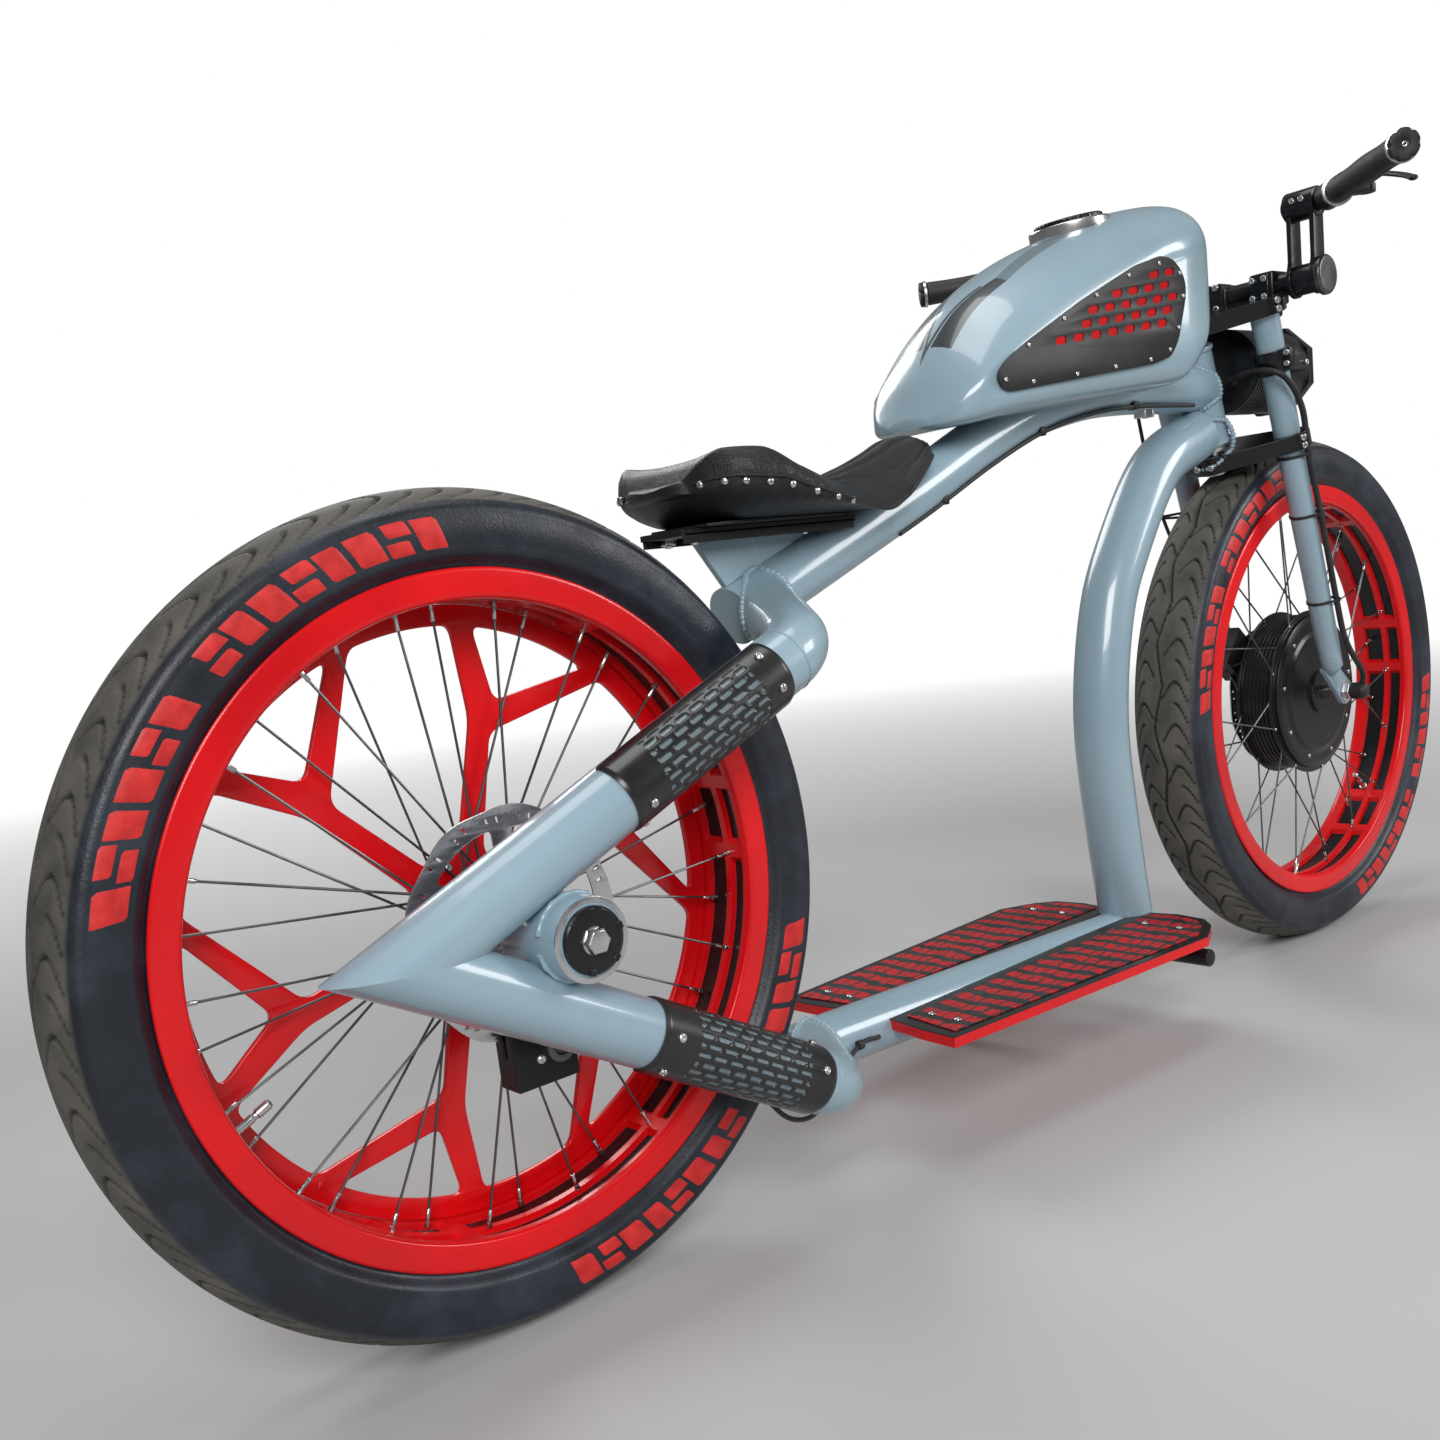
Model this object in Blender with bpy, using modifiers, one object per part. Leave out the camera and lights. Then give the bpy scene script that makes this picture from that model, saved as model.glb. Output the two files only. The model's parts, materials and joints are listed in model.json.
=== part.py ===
"""Electric bicycle: a stretched cruiser with fat tyres, foot boards and a front hub motor.

Metres, +Z up, +X the way it rides, +Y its left. The floor is z = 0 and x = 0 is midway between the
axles. Every size is a named value here, and each piece takes its place from the pieces that carry it.
"""
from math import acos, asin, atan2, ceil, cos, hypot, pi, radians, sin, sqrt, tan

import bmesh
import bpy
from mathutils import Matrix, Vector

# Wheels
WHEELBASE = 1.402
TYRE_R = 0.365
TYRE_HALF = 0.049
TYRE_CROWN_HALF = 0.022
TYRE_WALL = 0.0065
TYRE_SECTION = 0.068
RIM_R = TYRE_R - TYRE_SECTION
RIM_HALF = 0.041
RIM_LIP = 0.0035
BEAD_SEAT_R = RIM_R - 0.0175
RIM_INNER_R = RIM_R - 0.026
WHEEL_SEGMENTS = 32
AXLE_Z = TYRE_R * cos(pi / WHEEL_SEGMENTS)
REAR_X = -WHEELBASE / 2
FRONT_X = WHEELBASE / 2
SPOKES = 36
SPOKE_R = 0.0014
SPOKE_RIM_Y = 0.012
REAR_CROSSING = 30.0
FRONT_CROSSING = 20.0
ROTOR_R = 0.1015
ROTOR_THICK = 0.002
ROTOR_BAND = 0.017

# Rear wheel
REAR_FLANGE_R = 0.034
REAR_FLANGE_Y = 0.022
REAR_HUB_R = 0.020
REAR_SHOULDER_R = 0.024
REAR_ROTOR_Y = -0.050
PLATE_Y = 0.031
PLATE_THICK = 0.006
PLATE_RING = 0.018
PLATE_ARMS = 6
PLATE_HUB_R = 0.056
PLATE_NODE_R = 0.635 * RIM_INNER_R
PLATE_NODE_TURN = 76.0
ARM_WIDTH = 0.021
REAR_AXLE_R = 0.0095

# Front wheel and its motor
MOTOR_R = 0.112
MOTOR_HALF = 0.035
MOTOR_COVER_R = 0.104
MOTOR_FLANGE_R = 0.119
MOTOR_FLANGE_Y = 0.024
FLANGE_THICK = 0.003
FRONT_AXLE_R = 0.007
FRONT_ROTOR_Y = 0.048
FRONT_CALIPER_TURN = 141.0
ROTOR_BOSS_R = 0.030

# Frame
PIPE_R = 0.030
DOWN_TUBE_R = 0.034
HEAD_R = 0.025
HEAD_WALL = 0.0045
HEAD_ANGLE = 73.4
HEAD_BACK = 0.209
HEAD_OVER_TYRE = 0.04176
HEAD_X = FRONT_X - HEAD_BACK
HEAD_Z = AXLE_Z + TYRE_R + HEAD_OVER_TYRE
HEAD_TOP_Z = HEAD_Z + 0.082
HEAD_BOTTOM_Z = HEAD_Z - 0.042
BACKBONE_REAR = (REAR_X + 0.9753 * TYRE_R, AXLE_Z + 0.6541 * TYRE_R)
BACKBONE_FRONT = (HEAD_X - 0.007, HEAD_Z + 0.030)
FLOOR_REAR_X = REAR_X + 0.8932 * TYRE_R
FLOOR_REAR_Z = AXLE_Z - 0.6336 * TYRE_R
FLOOR_FRONT_X = HEAD_X - 0.220
FLOOR_FRONT_Z = FLOOR_REAR_Z - 0.020
FRAME_LENGTH = HEAD_X - BACKBONE_REAR[0]
FLOOR_LENGTH = FLOOR_FRONT_X - FLOOR_REAR_X
STAY_R = 0.0303
STAY_WALL = 0.0025
STAY_Y = -0.120
STAY_TIP_X = REAR_X - 0.3726 * TYRE_R
STAY_TIP_Z = AXLE_Z + 0.0218 * TYRE_R
UPPER_ELBOW_X = REAR_X + 0.811 * TYRE_R
UPPER_ELBOW_Z = AXLE_Z + 0.5336 * TYRE_R
LOWER_ELBOW_X = REAR_X + 0.7699 * TYRE_R
LOWER_ELBOW_Z = AXLE_Z - 0.6116 * TYRE_R
HOUSING_R = 0.0345
HOUSING_BORE_R = 0.0215
HOUSING_OUT = 0.014
COVER_THICK = 0.0022
COVER_REAR_X = REAR_X + 0.1808 * TYRE_R
COVER_FRONT_X = REAR_X + 0.6877 * TYRE_R
ELBOW_BEND = 0.045
COVER_SWEEP = 205.0
COVER_TURN = 15.0

# Seat
SEAT_PLATE_REAR_X = BACKBONE_REAR[0] - 0.112
SEAT_PLATE_FRONT_X = BACKBONE_REAR[0] + 0.117
SEAT_PLATE_Z = BACKBONE_REAR[1] + 0.070
SEAT_PLATE_HALF = 0.032
SEAT_PLATE_THICK = 0.006
GUSSET_THICK = 0.008
SADDLE_REAR_X = BACKBONE_REAR[0] - 0.111
SADDLE_LENGTH = 0.4253 * FRAME_LENGTH
SADDLE_HALF = 0.107
SADDLE_RISE = 0.060
PAN_THICK = 0.003
SEAT_BOLT_R = 0.004
SEAT_BOLT_Y = 0.020
SEAT_BOLTS_X = (SEAT_PLATE_REAR_X + 0.024, SEAT_PLATE_FRONT_X - 0.062)

# Tank
TANK_FRONT_X = HEAD_X - 0.1165
TANK_LENGTH = 0.5706 * FRAME_LENGTH
TANK_REAR_X = TANK_FRONT_X - TANK_LENGTH
TANK_HALF = 0.113
TANK_WIDEST = 0.80
TANK_TAPER = 0.0758
TANK_BASE_Z = HEAD_Z - 0.013
TANK_HEIGHT = 0.260
TANK_WALL = 0.003
SIDE_PLATE_THICK = 0.002
CAP_R = 0.040
CAP_X = TANK_REAR_X + 0.668 * TANK_LENGTH
CAP_SINK = 0.006
CAP_HEIGHT = 0.016
BATTERY_X = TANK_REAR_X + 0.56 * TANK_LENGTH
BATTERY_Z = TANK_BASE_Z + 0.40 * TANK_HEIGHT
BATTERY_LENGTH = 0.48 * TANK_LENGTH
BATTERY_HALF = 0.45 * TANK_HALF
BATTERY_HEIGHT = 0.30 * TANK_HEIGHT

# Foot boards
BOARD_TOP_Z = FLOOR_REAR_Z + 0.008
BOARD_THICK = 0.012
SHEET_THICK = 0.0012
CROSS_BAR_R = 0.011
CROSS_BAR_HALF = 0.118
CROSS_BAR_X = FLOOR_FRONT_X - 0.032
CROSS_BAR_Z = FLOOR_REAR_Z - 0.042

# Stand
STAND_X = FLOOR_FRONT_X - 0.3277 * FLOOR_LENGTH
STAND_Y = 0.060
STAND_Z = FLOOR_REAR_Z - 0.030
STAND_FOOT_HEIGHT = 0.012
STAND_LEG_R = 0.009
STAND_FOOT_Y = 0.215
STAND_FOOT_R = 0.016
STAND_KNUCKLE_R = 0.0115
STAND_LUG_BACK = 0.0155

# Fork and steering
LEG_Y = 0.080
LEG_R = 0.018
LEG_AHEAD = 0.0511
LEG_FOOT_R = 0.015
DROPOUT_Y = 0.072
DROPOUT_THICK = 0.008
DROPOUT_R = 0.019
UPPER_CLAMP_Z = HEAD_TOP_Z + 0.024
LOWER_CLAMP_Z = HEAD_BOTTOM_Z - 0.024
LEG_TOP_Z = UPPER_CLAMP_Z + 0.017
LEG_BOTTOM_Z = AXLE_Z + 0.0288
CLAMP_THICK = 0.022
CLAMP_RIM = 0.010
STEERER_R = 0.0143
RACE_R = 0.023
STEM_WIDTH = 0.050
CROSSBAR_X = HEAD_X + 0.038
CROSSBAR_Z = UPPER_CLAMP_Z + 0.0375
CROSSBAR_R = 0.0145
CROSSBAR_HALF = 0.153
RISER_Y = 0.130
RISER_GAP = 0.030
RISER_THICK = 0.006
RISER_WIDTH = 0.026
RISER_EYE_R = 0.021
BAR_CLAMP_R = 0.019
RISER_LENGTH = 0.0895
BAR_CLAMP_Z = CROSSBAR_Z + RISER_LENGTH
BAR_BEND = (CROSSBAR_X, RISER_Y + 0.026, BAR_CLAMP_Z)
GRIP_END = (CROSSBAR_X - 0.196, 0.342, BAR_CLAMP_Z - 0.010)
GRIP_FROM = 0.050
PERCH_FROM = 0.014
PERCH_LENGTH = 0.028
PERCH_R = 0.0165
PERCH_ARM = 0.042
GRIP_R = 0.0165
BAR_R = 0.011
LIGHT_X = HEAD_X + 0.073
LIGHT_Z = HEAD_Z + 0.052
LIGHT_R = 0.056
LIGHT_LENGTH = 0.118
LIGHT_MOUTH_R = 0.050
BEZEL_R = 0.062
LENS_THICK = 0.004
LEVER_R = 0.0055
LEVER_LENGTH = 0.124
LEVER_DROP = 0.016
HOSE_R = 0.0025
LEAD_R = 0.004

GAP = 0.0003

for old in list(bpy.data.objects):
    bpy.data.objects.remove(old, do_unlink=True)

parts = bpy.data.collections.new("electric_bicycle")
cutters = bpy.data.collections.new("cutters")
bpy.context.scene.collection.children.link(parts)
bpy.context.scene.collection.children.link(cutters)

PAINT = ("blue_grey_paint", (0.30, 0.40, 0.44), 0.25, 0.0)
RED = ("red_paint", (0.75, 0.005, 0.01), 0.35, 0.0)
BLACK = ("black_finish", (0.012, 0.012, 0.014), 0.35, 0.0)
MATT = ("matt_black", (0.02, 0.02, 0.022), 0.6, 0.0)
STEEL = ("bright_steel", (0.62, 0.62, 0.62), 0.25, 1.0)
TYRE = ("tyre_rubber", (0.02, 0.022, 0.028), 0.55, 0.0)
LEATHER = ("black_leather", (0.015, 0.015, 0.016), 0.5, 0.0)
GRIT = ("grip_sheet", (0.10, 0.02, 0.02), 0.9, 0.0)
LENS = ("clear_lens", (0.75, 0.78, 0.80), 0.08, 0.0)


def material(spec):
    name, colour, roughness, metallic = spec
    found = bpy.data.materials.get(name)
    if found:
        return found
    made = bpy.data.materials.new(name)
    made.use_nodes = True
    shader = made.node_tree.nodes["Principled BSDF"]
    shader.inputs["Base Color"].default_value = (*colour, 1.0)
    shader.inputs["Roughness"].default_value = roughness
    shader.inputs["Metallic"].default_value = metallic
    made.diffuse_color = (*colour, 1.0)
    return made


def pivot(name, place, parent=None):
    """An empty on a joint's axis, which carries the pieces that turn about it."""
    made = bpy.data.objects.new(name, None)
    made.empty_display_size = 0.05
    parts.objects.link(made)
    made.parent = parent
    if parent:
        bpy.context.view_layer.update()
        made.matrix_parent_inverse = parent.matrix_world.inverted()
    made.location = place
    bpy.context.view_layer.update()
    return made


def carry(obj, parent):
    """Parents a piece to an empty and leaves it where it is."""
    if parent:
        bpy.context.view_layer.update()
        obj.parent = parent
        obj.matrix_parent_inverse = parent.matrix_world.inverted()
    return obj


def piece(name, data, spec, parent=None, smooth=True):
    made = bpy.data.objects.new(name, data)
    parts.objects.link(made)
    data.materials.append(material(spec))
    if smooth and isinstance(data, bpy.types.Mesh):
        data.shade_smooth()
        data.set_sharp_from_angle(angle=radians(40))
    return carry(made, parent)


def mesh_from(bm, name):
    bmesh.ops.recalc_face_normals(bm, faces=bm.faces[:])
    data = bpy.data.meshes.new(name)
    bm.to_mesh(data)
    bm.free()
    return data


def box(bm, centre, size, turn=None):
    place = Matrix.Translation(centre)
    if turn is not None:
        place = place @ turn.to_4x4()
    bmesh.ops.create_cube(bm, size=1.0, matrix=place @ Matrix.Diagonal((*size, 1.0)))


def rod(bm, start, end, radius, sides=12, end_radius=None):
    """A cylinder, or a cone, from one point to another."""
    start, end = Vector(start), Vector(end)
    along = end - start
    turn = along.to_track_quat("Z", "Y").to_matrix().to_4x4()
    tip = radius if end_radius is None else end_radius
    bmesh.ops.create_cone(bm, cap_ends=True, segments=sides, radius1=radius, radius2=tip,
                          depth=along.length, matrix=Matrix.Translation((start + end) / 2) @ turn)


def tube(name, points, radius, spec, parent=None, sides=14, radii=None):
    """A rail or cable along its points, with closed ends."""
    data = bpy.data.curves.new(name, "CURVE")
    data.dimensions = "3D"
    data.bevel_depth = radius
    data.bevel_resolution = (sides - 4) // 2
    data.use_fill_caps = True
    spline = data.splines.new("POLY")
    spline.points.add(len(points) - 1)
    for index, point in enumerate(points):
        spline.points[index].co = (*point, 1.0)
        spline.points[index].radius = radii[index] if radii else 1.0
    return piece(name, data, spec, parent)


def as_mesh(curve):
    """Turns a curve into a closed mesh, so that it can be cut."""
    bpy.context.view_layer.update()
    graph = bpy.context.evaluated_depsgraph_get()
    data = bpy.data.meshes.new_from_object(curve.evaluated_get(graph))
    bm = bmesh.new()
    bm.from_mesh(data)
    bmesh.ops.remove_doubles(bm, verts=bm.verts[:], dist=0.00001)
    bm.to_mesh(data)
    bm.free()
    made = bpy.data.objects.new(curve.name, data)
    parts.objects.link(made)
    made.matrix_world = curve.matrix_world.copy()
    parent = curve.parent
    name = curve.name
    bpy.data.objects.remove(curve)
    made.name = name
    data.shade_smooth()
    data.set_sharp_from_angle(angle=radians(40))
    return carry(made, parent)


def cutter(data, name):
    made = bpy.data.objects.new(name, data)
    cutters.objects.link(made)
    made.hide_render = True
    made.display_type = "WIRE"
    return made


def cut(obj, bm):
    """Takes the shape held in bm out of the piece."""
    name = obj.name + "_cutter"
    tool = cutter(mesh_from(bm, name), name)
    step = obj.modifiers.new(name, "BOOLEAN")
    step.operation = "DIFFERENCE"
    step.solver = "EXACT"
    step.use_self = True
    step.object = tool


def union(obj, bm):
    """Joins the shapes held in bm to the piece, as one body."""
    name = obj.name + "_addition"
    tool = cutter(mesh_from(bm, name), name)
    step = obj.modifiers.new(name, "BOOLEAN")
    step.operation = "UNION"
    step.solver = "EXACT"
    step.use_self = True
    step.object = tool


def solid(name, spec, parent, first, *more, smooth=False):
    """One body from several plain shapes, each drawn into its own bmesh by a function."""
    bm = bmesh.new()
    first(bm)
    made = piece(name, mesh_from(bm, name), spec, parent, smooth)
    if more:
        bm = bmesh.new()
        for shape in more:
            shape(bm)
        union(made, bm)
    return made


def hollow(obj, *shapes):
    """Takes plain shapes out of a piece."""
    bm = bmesh.new()
    for shape in shapes:
        shape(bm)
    cut(obj, bm)


def a_box(centre, size, turn=None):
    return lambda bm: box(bm, centre, size, turn)


def a_rod(start, end, radius, sides=16, end_radius=None):
    return lambda bm: rod(bm, start, end, radius, sides, end_radius)


def a_bore(start, end, radius, sides=16):
    """A hole whose flats, not its corners, keep the radius, so that a round pin clears it."""
    return a_rod(start, end, radius / cos(pi / sides), sides)


def turned(name, profile, centre, spec, parent=None, steps=WHEEL_SEGMENTS, closed=True, start=0.0):
    """A ring or disc about an axis along Y: the profile is a list of (y, radius)."""
    loop = profile if closed else [*profile, (profile[-1][0], 0.0), (profile[0][0], 0.0)]
    area = sum(a[0] * b[1] - b[0] * a[1] for a, b in zip(loop, [*loop[1:], loop[0]]))
    if area < 0:
        profile = profile[::-1]
    bm = bmesh.new()
    verts = [bm.verts.new((radius, 0.0, y)) for y, radius in profile]
    for first, second in zip(verts, verts[1:]):
        bm.edges.new((first, second))
    if closed:
        bm.edges.new((verts[-1], verts[0]))
    data = bpy.data.meshes.new(name)
    bm.to_mesh(data)
    bm.free()
    made = bpy.data.objects.new(name, data)
    parts.objects.link(made)
    data.materials.append(material(spec))
    made.location = centre
    made.rotation_euler = (radians(-90), radians(start), 0)
    screw = made.modifiers.new("turn", "SCREW")
    screw.steps = steps
    screw.render_steps = steps
    screw.use_merge_vertices = True
    screw.merge_threshold = 0.00001
    screw.use_smooth_shade = False
    return carry(made, parent)


def arc(centre, radius, first, last, count):
    """Points on an arc in a plane, angles in degrees, ends included."""
    return [(centre[0] + radius * cos(radians(first + (last - first) * i / (count - 1))),
             centre[1] + radius * sin(radians(first + (last - first) * i / (count - 1))))
            for i in range(count)]


def flat(name, outline, thick, spec, parent=None, holes=(), bevel=0.0):
    """A flat plate from its outline and holes, in its own XY plane."""
    data = bpy.data.curves.new(name, "CURVE")
    data.dimensions = "2D"
    data.fill_mode = "BOTH"
    data.extrude = thick / 2
    for loop in [outline, *holes]:
        spline = data.splines.new("POLY")
        spline.points.add(len(loop) - 1)
        for index, (u, v) in enumerate(loop):
            spline.points[index].co = (u, v, 0.0, 1.0)
        spline.use_cyclic_u = True
    made = bpy.data.objects.new(name, data)
    parts.objects.link(made)
    data.materials.append(material(spec))
    return made


def upright(obj, y, parent=None):
    """Stands a flat plate in the XZ plane at the given y."""
    obj.rotation_euler = (radians(90), 0, 0)
    obj.location = (0, y, 0)
    return carry(obj, parent)


def smooth_path(points, count):
    """A smooth curve through chosen points (Catmull-Rom), read at even steps."""
    pts = [Vector(p) for p in points]
    pts = [2 * pts[0] - pts[1], *pts, 2 * pts[-1] - pts[-2]]
    dense = []
    for i in range(1, len(pts) - 2):
        a, b, c, d = pts[i - 1:i + 3]
        for k in range(24):
            t = k / 24
            dense.append(0.5 * (2 * b + (c - a) * t + (2 * a - 5 * b + 4 * c - d) * t ** 2
                                + (3 * b - a - 3 * c + d) * t ** 3))
    dense.append(pts[-2])
    lengths = [0.0]
    for first, second in zip(dense, dense[1:]):
        lengths.append(lengths[-1] + (second - first).length)
    made = []
    for k in range(count):
        target = lengths[-1] * k / (count - 1)
        i = max(j for j in range(len(lengths)) if lengths[j] <= target + 1e-9)
        i = min(i, len(dense) - 2)
        share = (target - lengths[i]) / max(lengths[i + 1] - lengths[i], 1e-9)
        made.append(dense[i].lerp(dense[i + 1], min(share, 1.0)))
    return made


def ring_points(centre, radius, count, start=0.0):
    return [(centre[0] + radius * cos(start + 2 * pi * i / count),
             centre[1] + radius * sin(start + 2 * pi * i / count)) for i in range(count)]


STEER_UP = Vector((-cos(radians(HEAD_ANGLE)), 0, sin(radians(HEAD_ANGLE))))
STEER_AHEAD = Vector((sin(radians(HEAD_ANGLE)), 0, cos(radians(HEAD_ANGLE))))
STEER_POINT = Vector((HEAD_X, 0, HEAD_Z))


def on_axis(z):
    """The point of the steering axis at a height."""
    return STEER_POINT + STEER_UP * ((z - HEAD_Z) / STEER_UP.z)


def on_leg(z, side):
    """The point of a fork leg's centre line at a height."""
    base = STEER_POINT + STEER_AHEAD * LEG_AHEAD
    point = base + STEER_UP * ((z - base.z) / STEER_UP.z)
    return Vector((point.x, side * LEG_Y, point.z))


steering = pivot("steering_axis", STEER_POINT)
rear_wheel = pivot("rear_axle_axis", (REAR_X, 0, AXLE_Z))
front_wheel = pivot("front_axle_axis", (FRONT_X, 0, AXLE_Z), steering)


def tyre(name, x, parent):
    """A fat tyre: round outside with a narrow flat crown, hollow inside, beads within the rim."""
    lip_y = RIM_HALF - RIM_LIP - GAP
    outer = [(lip_y, BEAD_SEAT_R + GAP), (lip_y, RIM_R + 0.0015), (TYRE_HALF - 0.003, RIM_R + 0.010),
             (TYRE_HALF, RIM_R + 0.028), (TYRE_HALF - 0.0045, TYRE_R - 0.019),
             (TYRE_CROWN_HALF + 0.014, TYRE_R - 0.005), (TYRE_CROWN_HALF, TYRE_R)]
    inner = [(TYRE_CROWN_HALF + 0.008, TYRE_R - TYRE_WALL - 0.0055), (lip_y - 0.008, BEAD_SEAT_R + GAP)]
    left = outer + [(-y, r) for y, r in reversed(outer)]
    right = [(-y, r) for y, r in reversed(inner)] + inner
    return turned(name, left + right, (x, 0, AXLE_Z), TYRE, parent, start=180 / WHEEL_SEGMENTS)


def rim(name, x, parent):
    """A wide box-section rim with two lips that hold the tyre's beads."""
    lip = RIM_HALF - RIM_LIP
    half = [(lip, BEAD_SEAT_R), (lip, RIM_R), (RIM_HALF, RIM_R), (RIM_HALF, RIM_INNER_R + 0.004),
            (RIM_HALF - 0.005, RIM_INNER_R)]
    profile = half + [(-y, r) for y, r in reversed(half)]
    return turned(name, profile, (x, 0, AXLE_Z), RED, parent, start=180 / WHEEL_SEGMENTS)


def lace(hub, x, flange_r, flange_y, crossing):
    """Joins the spokes to a hub: they cross in pairs and stop just short of the rim."""
    bm = bmesh.new()
    rim_r = RIM_INNER_R * cos(pi / WHEEL_SEGMENTS) - GAP
    middle = Vector((x, 0, AXLE_Z))
    for i in range(SPOKES):
        side = 1 if i % 2 else -1
        outer = 1 if (i // 2) % 2 else -1
        rim_turn = 2 * pi * i / SPOKES
        hub_turn = rim_turn + outer * radians(crossing)
        out = Vector((cos(rim_turn), 0, sin(rim_turn)))
        hub_end = middle + Vector((flange_r * cos(hub_turn), side * (flange_y + outer * FLANGE_THICK / 2),
                                   flange_r * sin(hub_turn)))
        rim_end = middle + out * rim_r + Vector((0, side * SPOKE_RIM_Y, 0))
        along = (hub_end - rim_end).normalized()
        lean = acos(min(1.0, -along.dot(out)))
        top = rim_end + along * (SPOKE_R * tan(lean))
        rod(bm, top, hub_end, SPOKE_R, 3)
    union(hub, bm)


def rotor(name, x, y, parent, bore_r):
    """A brake disc with a wavy rim and six open windows."""
    waves = 9
    count = 36
    outline = []
    for i in range(count):
        turn = 2 * pi * i / count
        radius = ROTOR_R - 0.0025 + 0.0025 * cos(waves * turn)
        outline.append((radius * cos(turn), radius * sin(turn)))
    holes = [ring_points((0, 0), bore_r, 14)]
    for k in range(6):
        middle = 60 * k
        outer = arc((0, 0), ROTOR_R - ROTOR_BAND, middle - 24, middle + 24, 5)
        inner = arc((0, 0), bore_r + 0.014, middle + 20, middle - 20, 3)
        holes.append(outer + inner)
    made = flat(name, outline, ROTOR_THICK, STEEL, None, holes)
    made.rotation_euler = (radians(90), 0, 0)
    made.location = (x, y, AXLE_Z)
    return carry(made, parent)


tyre("rear_tyre", REAR_X, rear_wheel)
tyre("front_tyre", FRONT_X, front_wheel)
rim("rear_rim", REAR_X, rear_wheel)
rim("front_rim", FRONT_X, front_wheel)
hub_bore = REAR_AXLE_R + GAP
half_flange = FLANGE_THICK / 2
rotor_seat = REAR_ROTOR_Y + ROTOR_THICK / 2 + GAP
plate_seat = PLATE_Y - PLATE_THICK / 2 - GAP
plate_end = PLATE_Y + PLATE_THICK / 2
rear_hub = turned("rear_hub", [
    (plate_end, hub_bore), (plate_end, REAR_HUB_R), (plate_seat, REAR_HUB_R), (plate_seat, REAR_SHOULDER_R),
    (REAR_FLANGE_Y + half_flange, REAR_SHOULDER_R), (REAR_FLANGE_Y + half_flange, REAR_FLANGE_R),
    (REAR_FLANGE_Y - half_flange, REAR_FLANGE_R), (REAR_FLANGE_Y - half_flange, REAR_HUB_R),
    (half_flange - REAR_FLANGE_Y, REAR_HUB_R), (half_flange - REAR_FLANGE_Y, REAR_FLANGE_R),
    (-half_flange - REAR_FLANGE_Y, REAR_FLANGE_R), (-half_flange - REAR_FLANGE_Y, REAR_SHOULDER_R),
    (rotor_seat, REAR_SHOULDER_R), (rotor_seat, hub_bore),
], (REAR_X, 0, AXLE_Z), BLACK, rear_wheel, 16)
lace(rear_hub, REAR_X, REAR_FLANGE_R - 0.0025, REAR_FLANGE_Y, REAR_CROSSING)
rotor("rear_rotor", REAR_X, REAR_ROTOR_Y, rear_wheel, REAR_AXLE_R + 0.006)

motor_bore = FRONT_AXLE_R + GAP
cover_step = 0.004
motor = [(MOTOR_HALF, motor_bore), (MOTOR_HALF, MOTOR_COVER_R), (MOTOR_HALF - cover_step, MOTOR_R),
         (MOTOR_FLANGE_Y + half_flange, MOTOR_R), (MOTOR_FLANGE_Y + half_flange, MOTOR_FLANGE_R),
         (MOTOR_FLANGE_Y - half_flange, MOTOR_FLANGE_R), (MOTOR_FLANGE_Y - half_flange, MOTOR_R)]
boss_end = FRONT_ROTOR_Y - ROTOR_THICK / 2 - GAP
boss = [(boss_end, motor_bore), (boss_end, ROTOR_BOSS_R), (MOTOR_HALF, ROTOR_BOSS_R)]
front_hub = turned("front_hub_motor", boss + motor[1:] + [(-y, r) for y, r in reversed(motor)],
                   (FRONT_X, 0, AXLE_Z), BLACK, front_wheel, 20)
lace(front_hub, FRONT_X, MOTOR_FLANGE_R - 0.0025, MOTOR_FLANGE_Y, FRONT_CROSSING)
rotor("front_rotor", FRONT_X, FRONT_ROTOR_Y, front_wheel, FRONT_AXLE_R + 0.008)


def side_plate():
    """The red plate on the rear wheel's left: a ring and forked arms that meet at the hub."""
    ring_out = RIM_INNER_R * cos(pi / WHEEL_SEGMENTS) - GAP
    ring_in = ring_out - PLATE_RING
    made = flat("rear_side_plate", ring_points((0, 0), ring_out, 40), PLATE_THICK, RED, None,
                [ring_points((0, 0), REAR_HUB_R + GAP, 24)] + plate_windows(ring_in))
    made.rotation_euler = (radians(90), 0, 0)
    made.location = (REAR_X, PLATE_Y, AXLE_Z)
    return carry(made, rear_wheel)


def fork_lines(k):
    """Node, hub end and the two rim ends of one forked arm, as angles and radii."""
    turn = radians(PLATE_NODE_TURN + 360 / PLATE_ARMS * k)
    return turn, turn + radians(6), turn - radians(27)


def polar(radius, turn):
    return (radius * cos(turn), radius * sin(turn))


def plate_windows(ring_in):
    """The openings left by the arms: one inside each fork, and one between neighbouring arms."""
    half = ARM_WIDTH / 2
    windows = []
    for k in range(PLATE_ARMS):
        node, ahead, behind = fork_lines(k)
        slack = half / ring_in
        inner = polar(PLATE_NODE_R + 1.6 * half, (node + (ahead + behind) / 2) / 2 + radians(1.5))
        rim_side = [polar(ring_in, ahead - slack + (behind - ahead + 2 * slack) * i / 5) for i in range(6)]
        windows.append([inner, *rim_side])
        after, after_ahead, after_behind = fork_lines(k + 1)
        near = [polar(ring_in, ahead + slack + (after_behind - ahead - 2 * slack) * i / 5) for i in range(6)]
        side_a = polar(PLATE_NODE_R, node + half / PLATE_NODE_R)
        side_b = polar(PLATE_NODE_R - 0.010, after - half / PLATE_NODE_R)
        foot_b = polar(PLATE_HUB_R, after - half * 1.15 / PLATE_HUB_R)
        foot_a = polar(PLATE_HUB_R, node + half * 1.15 / PLATE_HUB_R)
        windows.append([side_a, *near, side_b, foot_b, foot_a])
    return windows


side_plate()


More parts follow.
